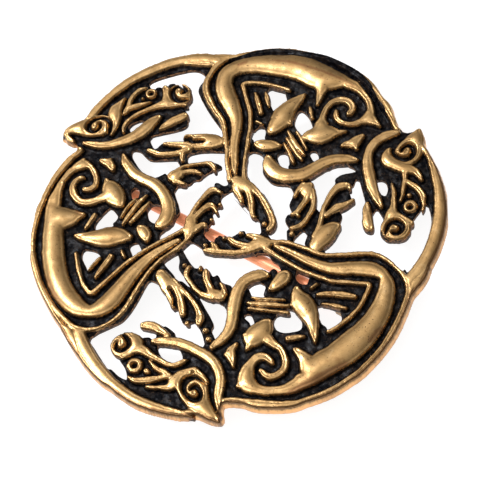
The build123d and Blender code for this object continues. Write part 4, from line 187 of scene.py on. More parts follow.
# Raised lines ("R") and cut grooves ("G") of the left hound in its own frame: (name, kind, rows of (x, y, half width) mm)
LEFT = [
    ("rim_join", "R", [(-17.95, -11.6, 0.1), (-17.2, -12.35, 0.42), (-16.7, -13.1, 0.45), (-16.25, -13.9, 0.33), (-15.75, -14.9, 0.12)]),
    ("ear", "R", [(-19.8, 11.9, 0.2), (-19.4, 12.3, 0.42), (-18.7, 12.55, 0.6), (-17.6, 12.65, 1), (-16.6, 12.75, 1.25), (-15.8, 12.8, 1.3)]),
    ("ear_lobe", "R", [(-19.6, 11.9, 0.2), (-19.5, 11.5, 0.22), (-19.2, 11.1, 0.25), (-18.8, 10.85, 0.15)]),
    ("cheek", "R", [(-13.15, 16.15, 0.06), (-13.7, 15.4, 0.3), (-14.15, 14.6, 0.68), (-14.1, 13.8, 0.62), (-14.05, 13, 0.4), (-14.15, 12.3, 0.28), (-14.4, 11.7, 0.2)]),
    ("ear_curl", "G", [(-14.95, 11.2, 0.2), (-14.65, 11.9, 0.25), (-14.6, 12.8, 0.27), (-14.95, 13.45, 0.27), (-15.6, 13.75, 0.24), (-16.4, 13.6, 0.27), (-17, 13.15, 0.3),
        (-17.15, 12.6, 0.3), (-16.8, 12.1, 0.27), (-16.2, 12.05, 0.22), (-15.8, 12.5, 0.25), (-15.85, 13, 0.2)]),
    ("eye_frame", "R", [(-10.8, 17.4, 0.1), (-11.5, 17.15, 0.17), (-12.15, 16.5, 0.2), (-12.5, 15.8, 0.2), (-12.6, 15.1, 0.27), (-12.85, 14.5, 0.25), (-13.05, 14.15, 0.12)]),
    ("lower_lid", "R", [(-12.7, 14.75, 0.25), (-11.8, 15, 0.25), (-10.9, 15.25, 0.18), (-10.15, 15.45, 0.06)]),
    ("eye_ring", "R", [(-10.1, 16.6, 0.6)]),
    ("pupil", "G", [(-10.08, 16.6, 0.3)]),
    ("eye_dot", "R", [(-11.05, 16, 0.12)]),
    ("nose", "R", [(-6.8, 16.3, 1.32), (-6.7, 16.1, 1.3)]),
    ("lip", "R", [(-8.5, 17.25, 0.3), (-8.25, 16.6, 0.42), (-8.15, 15.8, 0.55), (-8.3, 15.2, 0.55), (-9.3, 14.85, 0.3), (-10.3, 14.5, 0.2), (-11.3, 14.05, 0.17),
        (-12.2, 13.5, 0.15), (-12.75, 12.9, 0.15), (-13, 12.3, 0.15), (-13, 11.8, 0.12)]),
    ("lip_roll", "R", [(-7.9, 14.95, 0.35), (-7.2, 14.95, 0.25), (-6.5, 14.95, 0.2), (-5.9, 14.8, 0.15)]),
    ("nose_curl", "G", [(-5.75, 15.5, 0.15), (-6.3, 15.4, 0.27), (-6.9, 15.5, 0.3), (-7.4, 15.9, 0.32), (-7.62, 16.5, 0.30), (-7.5, 17.0, 0.30), (-7.15, 17.3, 0.27),
        (-6.7, 17.3, 0.25), (-6.3, 17.05, 0.28), (-6.1, 16.7, 0.32), (-6.4, 16.45, 0.2)]),
    ("jaw", "R", [(-17.5, 10.6, 0.12), (-16.5, 10.35, 0.3), (-15.4, 10.15, 0.38), (-14.4, 10.2, 0.42), (-13.3, 10.45, 0.5), (-12.3, 10.8, 0.58), (-11.3, 11.35, 0.65),
        (-10.4, 12.1, 0.7), (-9.7, 12.8, 0.55), (-9.1, 13.3, 0.33), (-8.8, 13.5, 0.1)]),
    ("chin", "R", [(-8.7, 11.85, 0.12), (-8.1, 12.3, 0.35), (-7.3, 12.75, 0.45), (-6.5, 13.15, 0.47), (-5.95, 13.4, 0.35)]),
    ("back_line", "R", [(-18.1, 9.5, 0.1), (-18.8, 8.7, 0.3), (-19.6, 7.7, 0.33), (-20.4, 6.4, 0.3), (-21.1, 4.9, 0.27), (-21.6, 3.3, 0.25), (-22, 1.5, 0.22),
        (-22.2, 0, 0.2), (-22.2, -1.5, 0.18), (-22, -3, 0.17), (-21.5, -4.7, 0.17), (-20.7, -6.7, 0.17), (-19.4, -8.9, 0.17), (-18.1, -10.4, 0.17),
        (-17, -11.5, 0.2), (-16, -12.1, 0.25), (-15, -12.2, 0.17), (-14, -12.1, 0.15), (-13, -11.7, 0.15), (-12, -11, 0.15), (-11.2, -10.1, 0.17),
        (-10.6, -9, 0.17), (-10, -7.8, 0.17), (-9.3, -6.6, 0.15), (-8.6, -5.5, 0.13), (-7.8, -4.6, 0.13), (-6.8, -3.8, 0.15), (-5.8, -3.1, 0.17),
        (-5, -2.3, 0.2), (-4.5, -1.6, 0.25)]),
    ("body", "R", [(-20.5, 3.3, 0.4), (-20.35, 2.2, 0.75), (-20, 1, 1.1), (-20, 0, 1.1), (-19.97, -1, 1.12), (-19.85, -2, 1.17), (-19.75, -3, 1.2),
        (-19.5, -4.2, 1.2), (-19.15, -5.5, 1.2), (-18.5, -7.1, 1.15), (-17.5, -8.5, 1.1), (-16.3, -9.6, 0.9), (-15, -10.1, 0.62), (-13.8, -9.75, 0.85),
        (-12.7, -8.85, 1), (-11.8, -7.6, 0.9), (-10.8, -6.2, 0.75), (-9.7, -4.9, 0.6), (-8.5, -3.8, 0.45), (-7.3, -3, 0.35), (-6.4, -2.5, 0.27),
        (-5.75, -2.2, 0.2)]),
    ("spur", "R", [(-19.3, 1.2, 1.3), (-18.2, 1.2, 0.95), (-17.4, 1.35, 0.5), (-16.6, 1.5, 0.12)]),
    ("haunch_rim", "R", [(-20.45, 3.6, 0.4), (-20, 4.8, 0.28), (-19.6, 5.7, 0.25), (-19, 6.6, 0.28), (-18.3, 7.3, 0.35), (-17.4, 7.8, 0.55), (-16.6, 7.6, 0.3),
        (-16.1, 7, 0.27), (-15.75, 6.3, 0.25), (-15.6, 5.6, 0.25), (-15.75, 4.95, 0.28), (-16.3, 4.6, 0.25), (-16.85, 4.6, 0.2)]),
    ("haunch_fill", "R", [(-19.6, 5.5, 0.3), (-19.85, 4.6, 0.35), (-20, 3.6, 0.5), (-20, 2.8, 0.52)]),
    ("haunch_spike", "R", [(-17.5, 7.8, 0.5), (-17.25, 8.45, 0.12)]),
    ("haunch", "R", [(-14.5, 5.8, 0.1), (-14.25, 5.2, 0.4), (-13.85, 4.5, 0.93), (-13.5, 3.85, 1.12), (-12.95, 3.2, 0.8), (-12.55, 2.6, 0.38)]),
    ("haunch_arm", "R", [(-14, 3.7, 0.6), (-14.6, 3.5, 0.5), (-15.3, 3.2, 0.35), (-16.2, 2.97, 0.35), (-17.1, 3.1, 0.33), (-17.8, 3.7, 0.35), (-18.2, 4.5, 0.33),
        (-18.2, 5.3, 0.28), (-17.8, 5.9, 0.22), (-17.3, 6.1, 0.18), (-17.1, 6.05, 0.12)]),
    ("collar", "R", [(-15.3, 8.2, 0.15), (-14.8, 8, 0.35), (-14.3, 7.75, 0.45), (-13.95, 7.2, 0.3), (-13.8, 6.9, 0.12)]),
    ("collar_tip", "R", [(-14.4, 8.1, 0.2), (-14.15, 8.3, 0.12)]),
    ("tail", "R", [(-12.75, 8.75, 0.15), (-12.4, 7.8, 0.42), (-11.9, 7, 0.5), (-11.2, 6.2, 0.55), (-10.3, 5.65, 0.55), (-9.4, 5.15, 0.57), (-8.6, 4.6, 0.6),
        (-7.95, 3.8, 0.62), (-7.5, 3, 0.65), (-7.25, 2.2, 0.7), (-7.15, 1.3, 0.75), (-7.35, 0.5, 0.8), (-7.8, 0, 0.6), (-8.1, -0.25, 0.35)]),
    ("stub", "R", [(-10.2, -0.4, 0.25), (-9.9, -0.75, 0.55), (-9.5, -1.3, 0.6), (-9.35, -1.8, 0.35)]),
    ("leaf", "R", [(-17.4, -1.05, 0.1), (-16.8, -1.2, 0.35), (-15.9, -1.35, 0.6), (-14.8, -1.4, 0.9), (-13.7, -1.35, 1.12), (-12.7, -1.3, 0.95), (-11.9, -1.4, 0.65),
        (-11.35, -1.5, 0.35)]),
    ("rib_a", "R", [(-12.35, 1, 0.08), (-11.9, 1.9, 0.1), (-11.3, 2.7, 0.1), (-10.85, 3.1, 0.06)]),
    ("rib_b", "R", [(-12.1, 0.1, 0.1), (-11.4, 1.3, 0.2), (-10.6, 2.5, 0.2), (-9.75, 3.45, 0.1)]),
    ("rib_c", "R", [(-11.3, 0.2, 0.1), (-10.7, 0.9, 0.18), (-10, 1.8, 0.18), (-9.3, 2.6, 0.08)]),
    ("rib_d", "R", [(-16.3, -0.2, 0.1), (-15.9, 0.5, 0.17), (-15.4, 1.4, 0.17)]),
    ("v_line", "R", [(-17.1, -3.2, 0.1), (-16.95, -4, 0.13), (-16.7, -5, 0.13), (-16.35, -6, 0.15), (-15.9, -7, 0.16), (-15.3, -7.8, 0.2), (-14.95, -8, 0.22),
        (-14.5, -7.7, 0.2), (-13.7, -6.9, 0.16), (-12.8, -6, 0.15), (-11.9, -5.1, 0.15), (-10.8, -4.2, 0.15), (-9.6, -3.3, 0.13), (-8.3, -2.5, 0.13),
        (-7.2, -1.9, 0.12), (-6.2, -1.4, 0.15), (-5.3, -0.9, 0.2)]),
    ("rib_e", "R", [(-15.5, -5.3, 0.06), (-15, -4.6, 0.12), (-14.4, -3.9, 0.12)]),
    ("rib_f", "R", [(-14.65, -6.2, 0.1), (-14.2, -5.4, 0.22), (-13.6, -4.5, 0.27), (-13.15, -3.75, 0.25)]),
    ("rib_g", "R", [(-12, -3.1, 0.06), (-11.8, -3.6, 0.12), (-11.65, -3.9, 0.05)]),
    ("palm", "R", [(-4.75, -1.7, 0.35), (-4.6, -0.9, 0.65), (-4.5, 0, 0.6)]),
    ("toe_1", "R", [(-4.8, 0.2, 0.35), (-4.4, 1.2, 0.2), (-3.85, 2.2, 0.2), (-3.15, 3.15, 0.25), (-2.5, 3.75, 0.33), (-1.9, 3.7, 0.2), (-1.4, 3.4, 0.12)]),
    ("toe_2", "R", [(-4.3, 0.3, 0.3), (-3.5, 1.2, 0.25), (-2.85, 1.75, 0.3), (-2.4, 1.95, 0.25), (-2, 1.5, 0.18), (-1.7, 1, 0.14)]),
    ("toe_3", "R", [(-4.1, -1, 0.4), (-3.5, -0.55, 0.27), (-3.1, -0.35, 0.2), (-2.9, -0.6, 0.14)]),
    ("claw_1", "R", [(-1.4, 1.95, 0.17)]),
    ("claw_2", "R", [(-2.25, 0.15, 0.16)]),
    ("leg_b", "R", [(-1.75, 9.75, 0.45), (-2.5, 9.9, 0.8), (-3.4, 9.95, 0.92), (-4.3, 10, 0.9), (-5, 10.15, 0.75), (-5.6, 10.6, 0.3)]),
    ("b_groove", "G", [(-3.75, 9.95, 0.2), (-4.4, 9.98, 0.27), (-5, 10, 0.27), (-5.3, 10.35, 0.3), (-5.8, 10.3, 0.3)]),
    ("b_toe_2", "R", [(-5, 9.4, 0.3), (-5.7, 9.6, 0.35), (-6.5, 9.75, 0.27), (-7.4, 9.85, 0.22), (-8.1, 9.95, 0.12)]),
    ("b_toe_3", "R", [(-5.4, 8.95, 0.3), (-6.5, 8.65, 0.22), (-7.5, 8.55, 0.22), (-8.5, 8.6, 0.25), (-9.3, 8.9, 0.25), (-9.9, 9.2, 0.16)]),
    ("b_link", "R", [(-5.9, 8.8, 0.25), (-6, 8.1, 0.2), (-5.9, 7.6, 0.12)]),
    ("c_palm", "R", [(-7.2, 5.75, 0.3), (-6.75, 5.75, 0.65), (-6.3, 6, 0.6)]),
    ("c_toe_1", "R", [(-6.4, 6.4, 0.25), (-5.7, 6.9, 0.13), (-4.8, 7.05, 0.13), (-3.8, 7.15, 0.13), (-2.9, 7.15, 0.2), (-2.4, 6.7, 0.2), (-2.2, 6.2, 0.15)]),
    ("c_toe_2", "R", [(-6.2, 6.1, 0.25), (-5.2, 6.2, 0.2), (-4.4, 6.2, 0.2), (-3.75, 5.9, 0.12)]),
    ("c_toe_3", "R", [(-6.6, 5.1, 0.3), (-6, 4.85, 0.2), (-5.5, 4.7, 0.15)]),
    ("ring", "R", [(-17.2, 14.25, 0.1), (-16.6, 15, 0.25), (-15.5, 16.1, 0.37), (-14, 17.5, 0.45), (-12.5, 18.65, 0.5), (-11, 19.45, 0.52), (-9.5, 20.1, 0.55),
        (-8, 20.6, 0.55), (-6, 20.95, 0.55), (-4, 20.95, 0.6), (-2.6, 20.6, 0.5)]),
]

# Raised lines ("R") and cut grooves ("G") of the top hound in its own frame: (name, kind, rows of (x, y, half width) mm)
TOP = [
    ("rim_join", "R", [(-17.6, -11.55, 0.1), (-17.15, -12.2, 0.3), (-16.75, -12.9, 0.38), (-16.3, -13.8, 0.3), (-15.8, -14.8, 0.15)]),
    ("ring_inner", "R", [(-15.8, -12.75, 0.15), (-15.6, -13.3, 0.32), (-15.25, -14.1, 0.28), (-14.85, -14.9, 0.18), (-14.4, -15.7, 0.05)]),
    ("ear", "R", [(-18.6, 12.45, 0.2), (-18.1, 12.6, 0.5), (-17.4, 12.7, 0.88), (-16.6, 12.75, 1.17), (-15.8, 12.75, 1.35), (-15.3, 12.7, 1.25)]),
    ("cheek", "R", [(-13.42, 15.7, 0.07), (-13.72, 15.2, 0.2), (-14, 14.6, 0.33), (-14, 14, 0.45), (-13.8, 13.3, 0.5), (-13.75, 12.6, 0.55), (-13.8, 11.9, 0.6),
        (-13.9, 11.3, 0.65), (-14.2, 10.95, 0.47), (-14.7, 10.85, 0.35), (-15.1, 10.85, 0.2)]),
    ("cheek_bar", "R", [(-14, 13.8, 0.3), (-13.4, 13.7, 0.3), (-12.9, 13.9, 0.2), (-12.5, 14.15, 0.17)]),
    ("ear_curl", "G", [(-15.4, 10.95, 0.12), (-14.85, 11.45, 0.25), (-14.7, 12.2, 0.3), (-14.85, 12.9, 0.35), (-15.35, 13.3, 0.33), (-16, 13.25, 0.33), (-16.45, 12.85, 0.3),
        (-16.45, 12.35, 0.27), (-16.1, 12.05, 0.22), (-15.65, 12, 0.18), (-15.4, 12.1, 0.08)]),
    ("eye_frame", "R", [(-12.6, 14.2, 0.15), (-12.5, 14.8, 0.2), (-12.4, 15.4, 0.23), (-12.2, 16.1, 0.25), (-11.85, 16.65, 0.27), (-11.4, 16.95, 0.2), (-10.9, 17.3, 0.15),
        (-10.3, 17.5, 0.08)]),
    ("lower_lid", "R", [(-12.6, 14.05, 0.15), (-12, 14.3, 0.17), (-11.4, 14.55, 0.15), (-10.9, 14.75, 0.12), (-10.2, 14.85, 0.06)]),
    ("eye_ring", "R", [(-10.13, 16.15, 0.68)]),
    ("pupil", "G", [(-10.05, 16.15, 0.33)]),
    ("eye_dot", "R", [(-11.22, 15.37, 0.17)]),
    ("nose", "R", [(-7.3, 16.3, 1.25), (-7.2, 16.1, 1.3), (-7.1, 15.9, 1.25)]),
    ("lip", "R", [(-8.4, 17.1, 0.35), (-8.4, 16.3, 0.42), (-8.35, 15.5, 0.5), (-8.45, 14.9, 0.57), (-9.2, 14.6, 0.3), (-10, 14.2, 0.2), (-10.8, 13.75, 0.17),
        (-11.3, 13.35, 0.13), (-11.6, 13.05, 0.08)]),
    ("lip_roll", "R", [(-8.3, 14.75, 0.45), (-7.4, 14.75, 0.27), (-6.8, 14.75, 0.2), (-6.3, 14.85, 0.1)]),
    ("nose_curl", "G", [(-6.05, 15.38, 0.12), (-6.6, 15.25, 0.22), (-7.2, 15.2, 0.25), (-7.7, 15.45, 0.3), (-7.88, 15.95, 0.33), (-7.75, 16.4, 0.33), (-7.3, 16.65, 0.3),
        (-6.85, 16.55, 0.3), (-6.62, 16.2, 0.25), (-6.63, 15.9, 0.12)]),
    ("jaw", "R", [(-17.35, 10.6, 0.15), (-17, 10.1, 0.35), (-16.3, 9.5, 0.45), (-15.4, 9.05, 0.42), (-14.4, 8.9, 0.42), (-13.4, 9.1, 0.45), (-12.4, 9.65, 0.5),
        (-11.4, 10.45, 0.55), (-10.5, 11.25, 0.55), (-9.8, 12, 0.45), (-9.2, 12.75, 0.33), (-8.75, 13.35, 0.18)]),
    ("chin", "R", [(-8.4, 11.85, 0.12), (-7.7, 12.2, 0.35), (-6.9, 12.75, 0.5), (-6.2, 13.3, 0.52), (-5.95, 13.7, 0.3)]),
    ("back_line", "R", [(-18, 9.9, 0.1), (-18.75, 9, 0.25), (-19.75, 7.5, 0.3), (-20.7, 5.9, 0.3), (-21.3, 4.4, 0.28), (-21.75, 2.75, 0.25), (-22.1, 1, 0.2),
        (-22.15, -0.75, 0.2), (-22, -2.5, 0.2), (-21.7, -4, 0.2), (-21.35, -5.5, 0.15), (-20.75, -7, 0.14), (-19.9, -8.4, 0.14), (-18.9, -9.7, 0.15),
        (-18, -10.75, 0.18), (-16.9, -11.8, 0.28), (-15.7, -12.2, 0.28), (-14.75, -12.25, 0.22), (-13.5, -12.1, 0.27), (-12.4, -11.45, 0.3), (-11.55, -10.45, 0.3),
        (-10.75, -9.2, 0.27), (-10.1, -7.9, 0.25), (-9.4, -7.1, 0.22), (-8.35, -6.25, 0.2), (-7.1, -5.25, 0.18), (-5.7, -4.35, 0.18), (-4.75, -3.55, 0.18),
        (-4.1, -3, 0.25)]),
    ("body", "R", [(-20.65, 3.4, 0.3), (-20.5, 2.4, 0.5), (-20.3, 1.4, 0.9), (-20, 0.4, 1.3), (-19.8, -1, 1.55), (-19.85, -2, 1.55), (-19.85, -3, 1.53),
        (-19.65, -4.2, 1.48), (-19.1, -5.6, 1.33), (-18.55, -7.1, 1.2), (-17.95, -8.3, 1.05), (-17.25, -9.35, 0.93), (-16.35, -10.15, 0.87), (-15.4, -10.5, 0.9),
        (-14.2, -10.15, 0.92), (-13.1, -9.15, 1), (-12.15, -7.85, 0.9), (-11, -6.5, 0.68), (-9.6, -5.55, 0.5), (-8.15, -4.9, 0.43), (-6.7, -4, 0.38),
        (-5.7, -3.3, 0.3), (-5, -2.8, 0.15)]),
    ("spur", "R", [(-19, 0, 0.9), (-18.2, 0.35, 0.5), (-17.3, 0.62, 0.3), (-16.5, 0.85, 0.1)]),
    ("haunch_rim", "R", [(-20.6, 3.5, 0.3), (-20.25, 4.3, 0.27), (-19.75, 5.2, 0.27), (-19.2, 5.95, 0.3), (-18.5, 6.5, 0.35), (-17.9, 6.7, 0.5), (-17.3, 6.6, 0.5),
        (-16.8, 6.3, 0.33), (-16.35, 5.95, 0.28), (-16, 5.5, 0.22), (-15.8, 4.9, 0.2), (-15.75, 4.3, 0.22), (-15.9, 3.75, 0.25), (-16.3, 3.35, 0.22),
        (-16.75, 3.15, 0.12)]),
    ("haunch_fill", "R", [(-19.65, 5.25, 0.28), (-20.05, 4.5, 0.33), (-20.25, 3.5, 0.34), (-20.3, 2.6, 0.5)]),
    ("haunch_spike", "R", [(-17.2, 8.4, 0.1), (-17.35, 7.8, 0.3), (-17.5, 7.1, 0.55)]),
    ("haunch", "R", [(-15, 5.45, 0.07), (-14.5, 4.8, 0.28), (-14.2, 4.2, 0.58), (-13.8, 3.6, 0.95), (-13.4, 3.1, 1.1), (-13, 2.6, 0.9), (-12.7, 2.1, 0.6),
        (-12.4, 1.75, 0.3)]),
    ("haunch_arm", "R", [(-14.3, 2.7, 0.75), (-15, 2.35, 0.38), (-15.8, 2.1, 0.25), (-16.7, 2, 0.25), (-17.5, 2.2, 0.28), (-18.1, 2.75, 0.32), (-18.35, 3.5, 0.33),
        (-18.25, 4.15, 0.33), (-17.8, 4.6, 0.3), (-17.3, 4.65, 0.27), (-17.05, 4.55, 0.2)]),
    ("collar", "R", [(-15.3, 7.35, 0.2), (-14.7, 7.1, 0.4), (-14.1, 6.95, 0.55), (-13.8, 6.6, 0.4), (-13.5, 6.2, 0.25), (-13.2, 5.9, 0.08)]),
    ("collar_tip", "R", [(-14, 7.2, 0.3), (-13.6, 7.55, 0.12)]),
    ("tail", "R", [(-12.4, 8.2, 0.2), (-12.1, 7.4, 0.45), (-11.6, 6.4, 0.55), (-11, 5.7, 0.6), (-10.2, 5.1, 0.6), (-9.3, 4.6, 0.65), (-8.5, 4.1, 0.68),
        (-7.85, 3.4, 0.7), (-7.35, 2.5, 0.75), (-7.15, 1.5, 0.78), (-7.3, 0.6, 0.8), (-7.7, -0.1, 0.65), (-8.2, -0.5, 0.35)]),
    ("stub", "R", [(-10.1, -0.3, 0.25), (-9.85, -0.9, 0.5), (-9.55, -1.5, 0.6), (-9.35, -2.1, 0.55), (-9.2, -2.6, 0.3)]),
    ("leaf", "R", [(-17, -1.1, 0.08), (-16.3, -1.3, 0.4), (-15.4, -1.6, 0.68), (-14.4, -1.85, 0.95), (-13.5, -1.85, 1.2), (-12.7, -1.85, 0.95), (-12, -1.95, 0.75),
        (-11.4, -2.05, 0.45)]),
    ("leaf_tip", "R", [(-13.3, -1, 0.35), (-13.05, -0.55, 0.12)]),
    ("rib_a", "R", [(-12.5, 0.6, 0.08), (-11.8, 1.7, 0.12), (-11.1, 2.7, 0.08)]),
    ("rib_b", "R", [(-12.1, -0.3, 0.1), (-11.5, 0.7, 0.17), (-10.9, 1.8, 0.17), (-10.4, 2.8, 0.1)]),
    ("rib_c", "R", [(-11.3, 0, 0.08), (-10.8, 0.9, 0.15), (-10.2, 1.9, 0.15), (-9.75, 2.9, 0.1)]),
    ("rib_h", "R", [(-10.6, 0.1, 0.08), (-10, 1, 0.13), (-9.4, 1.8, 0.15), (-9, 2.3, 0.1)]),
    ("rib_d", "R", [(-15.8, 0.3, 0.1), (-15.3, 0.75, 0.17), (-14.75, 1.25, 0.12)]),
    ("v_line", "R", [(-16.75, -2.9, 0.1), (-16.6, -4.1, 0.15), (-16.35, -5.4, 0.15), (-16, -6.6, 0.15), (-15.5, -7.6, 0.17), (-15.05, -8.05, 0.2), (-14.5, -7.6, 0.17),
        (-13.75, -6.9, 0.17), (-13, -6.1, 0.17), (-12.25, -5.4, 0.17), (-11.5, -4.9, 0.17), (-10.5, -4.3, 0.17), (-9.5, -3.9, 0.17), (-8.5, -3.4, 0.17),
        (-7.25, -2.9, 0.17), (-6, -2.25, 0.17), (-5.25, -1.75, 0.2), (-4.8, -1.4, 0.25)]),
    ("rib_e", "R", [(-15.3, -5.2, 0.1), (-14.8, -4.7, 0.22), (-14.2, -4.2, 0.15), (-13.9, -3.9, 0.06)]),
    ("rib_f", "R", [(-14.7, -6.2, 0.1), (-14.1, -5.6, 0.2), (-13.4, -4.9, 0.22), (-12.8, -4.3, 0.2)]),
    ("rib_g", "R", [(-11.6, -3.4, 0.1), (-11.65, -4.15, 0.1)]),
    ("palm", "R", [(-4.3, -2.2, 0.5), (-4.2, -1.3, 0.72), (-4.2, -0.5, 0.6)]),
    ("toe_1", "R", [(-4.4, -0.3, 0.4), (-4.1, 0.7, 0.28), (-3.6, 1.7, 0.25), (-2.9, 2.8, 0.28), (-2.2, 3.75, 0.33), (-1.5, 4.2, 0.32), (-0.9, 4.15, 0.25)]),
    ("toe_2", "R", [(-3.9, -0.4, 0.4), (-3.3, 0.2, 0.3), (-2.7, 0.75, 0.27), (-2, 1.2, 0.25), (-1.5, 1.7, 0.18)]),
    ("toe_3", "R", [(-3.7, -1.8, 0.5), (-3.2, -1.4, 0.35), (-2.8, -0.8, 0.25), (-2.3, -0.25, 0.16)]),
    ("claw_1", "R", [(-1.25, 3.35, 0.17)]),
    ("claw_2", "R", [(-1.45, 1.95, 0.16)]),
    ("leg_b", "R", [(-1.75, 9.65, 0.75), (-2.6, 9.75, 0.95), (-3.4, 9.9, 0.95), (-4.1, 10.1, 0.7), (-4.6, 10.4, 0.38)]),
    ("b_toe_2", "R", [(-5.2, 8.8, 0.2), (-5.9, 9.05, 0.3), (-6.6, 9.4, 0.4), (-7, 9.8, 0.28), (-7.7, 10.2, 0.2), (-8.05, 10.35, 0.17)]),
    ("b_toe_3", "R", [(-2.4, 8.85, 0.2), (-3.6, 8.75, 0.2), (-4.6, 8.45, 0.22), (-5.6, 8.1, 0.22), (-6.6, 7.95, 0.22), (-7.6, 7.95, 0.3), (-8.5, 8.1, 0.35),
        (-9.1, 8.6, 0.33), (-9.3, 9.1, 0.22), (-9.05, 9.4, 0.12)]),
    ("c_palm", "R", [(-7.5, 5.4, 0.3), (-7, 5.3, 0.6), (-6.6, 5.4, 0.6)]),
    ("c_toe_1", "R", [(-7, 5.9, 0.3), (-6.3, 6.5, 0.25), (-5.5, 6.95, 0.2), (-4.4, 7.1, 0.2), (-3.2, 7.05, 0.22), (-2.5, 6.7, 0.22), (-2.15, 6.2, 0.15)]),
    ("c_toe_2", "R", [(-6.5, 5.7, 0.35), (-5.5, 5.85, 0.25), (-4.6, 5.8, 0.22), (-3.9, 5.7, 0.2), (-3.6, 5.4, 0.14)]),
    ("c_claw_2", "R", [(-3.75, 6.1, 0.14)]),
    ("c_toe_3", "R", [(-7.1, 4.75, 0.35), (-6.4, 4.5, 0.2), (-5.6, 4.55, 0.15)]),
    ("c_claw_1", "R", [(-1.6, 6.6, 0.2)]),
    ("ring", "R", [(-16.9, 14.2, 0.08), (-15.95, 15.3, 0.22), (-15.1, 16.2, 0.35), (-14.2, 17.05, 0.45), (-13.25, 17.85, 0.52), (-12.2, 18.55, 0.6), (-11, 19.25, 0.65),
        (-9.5, 19.85, 0.68), (-8, 20.25, 0.68), (-6, 20.55, 0.68), (-4.3, 20.5, 0.65), (-2.7, 20.2, 0.5)]),
]

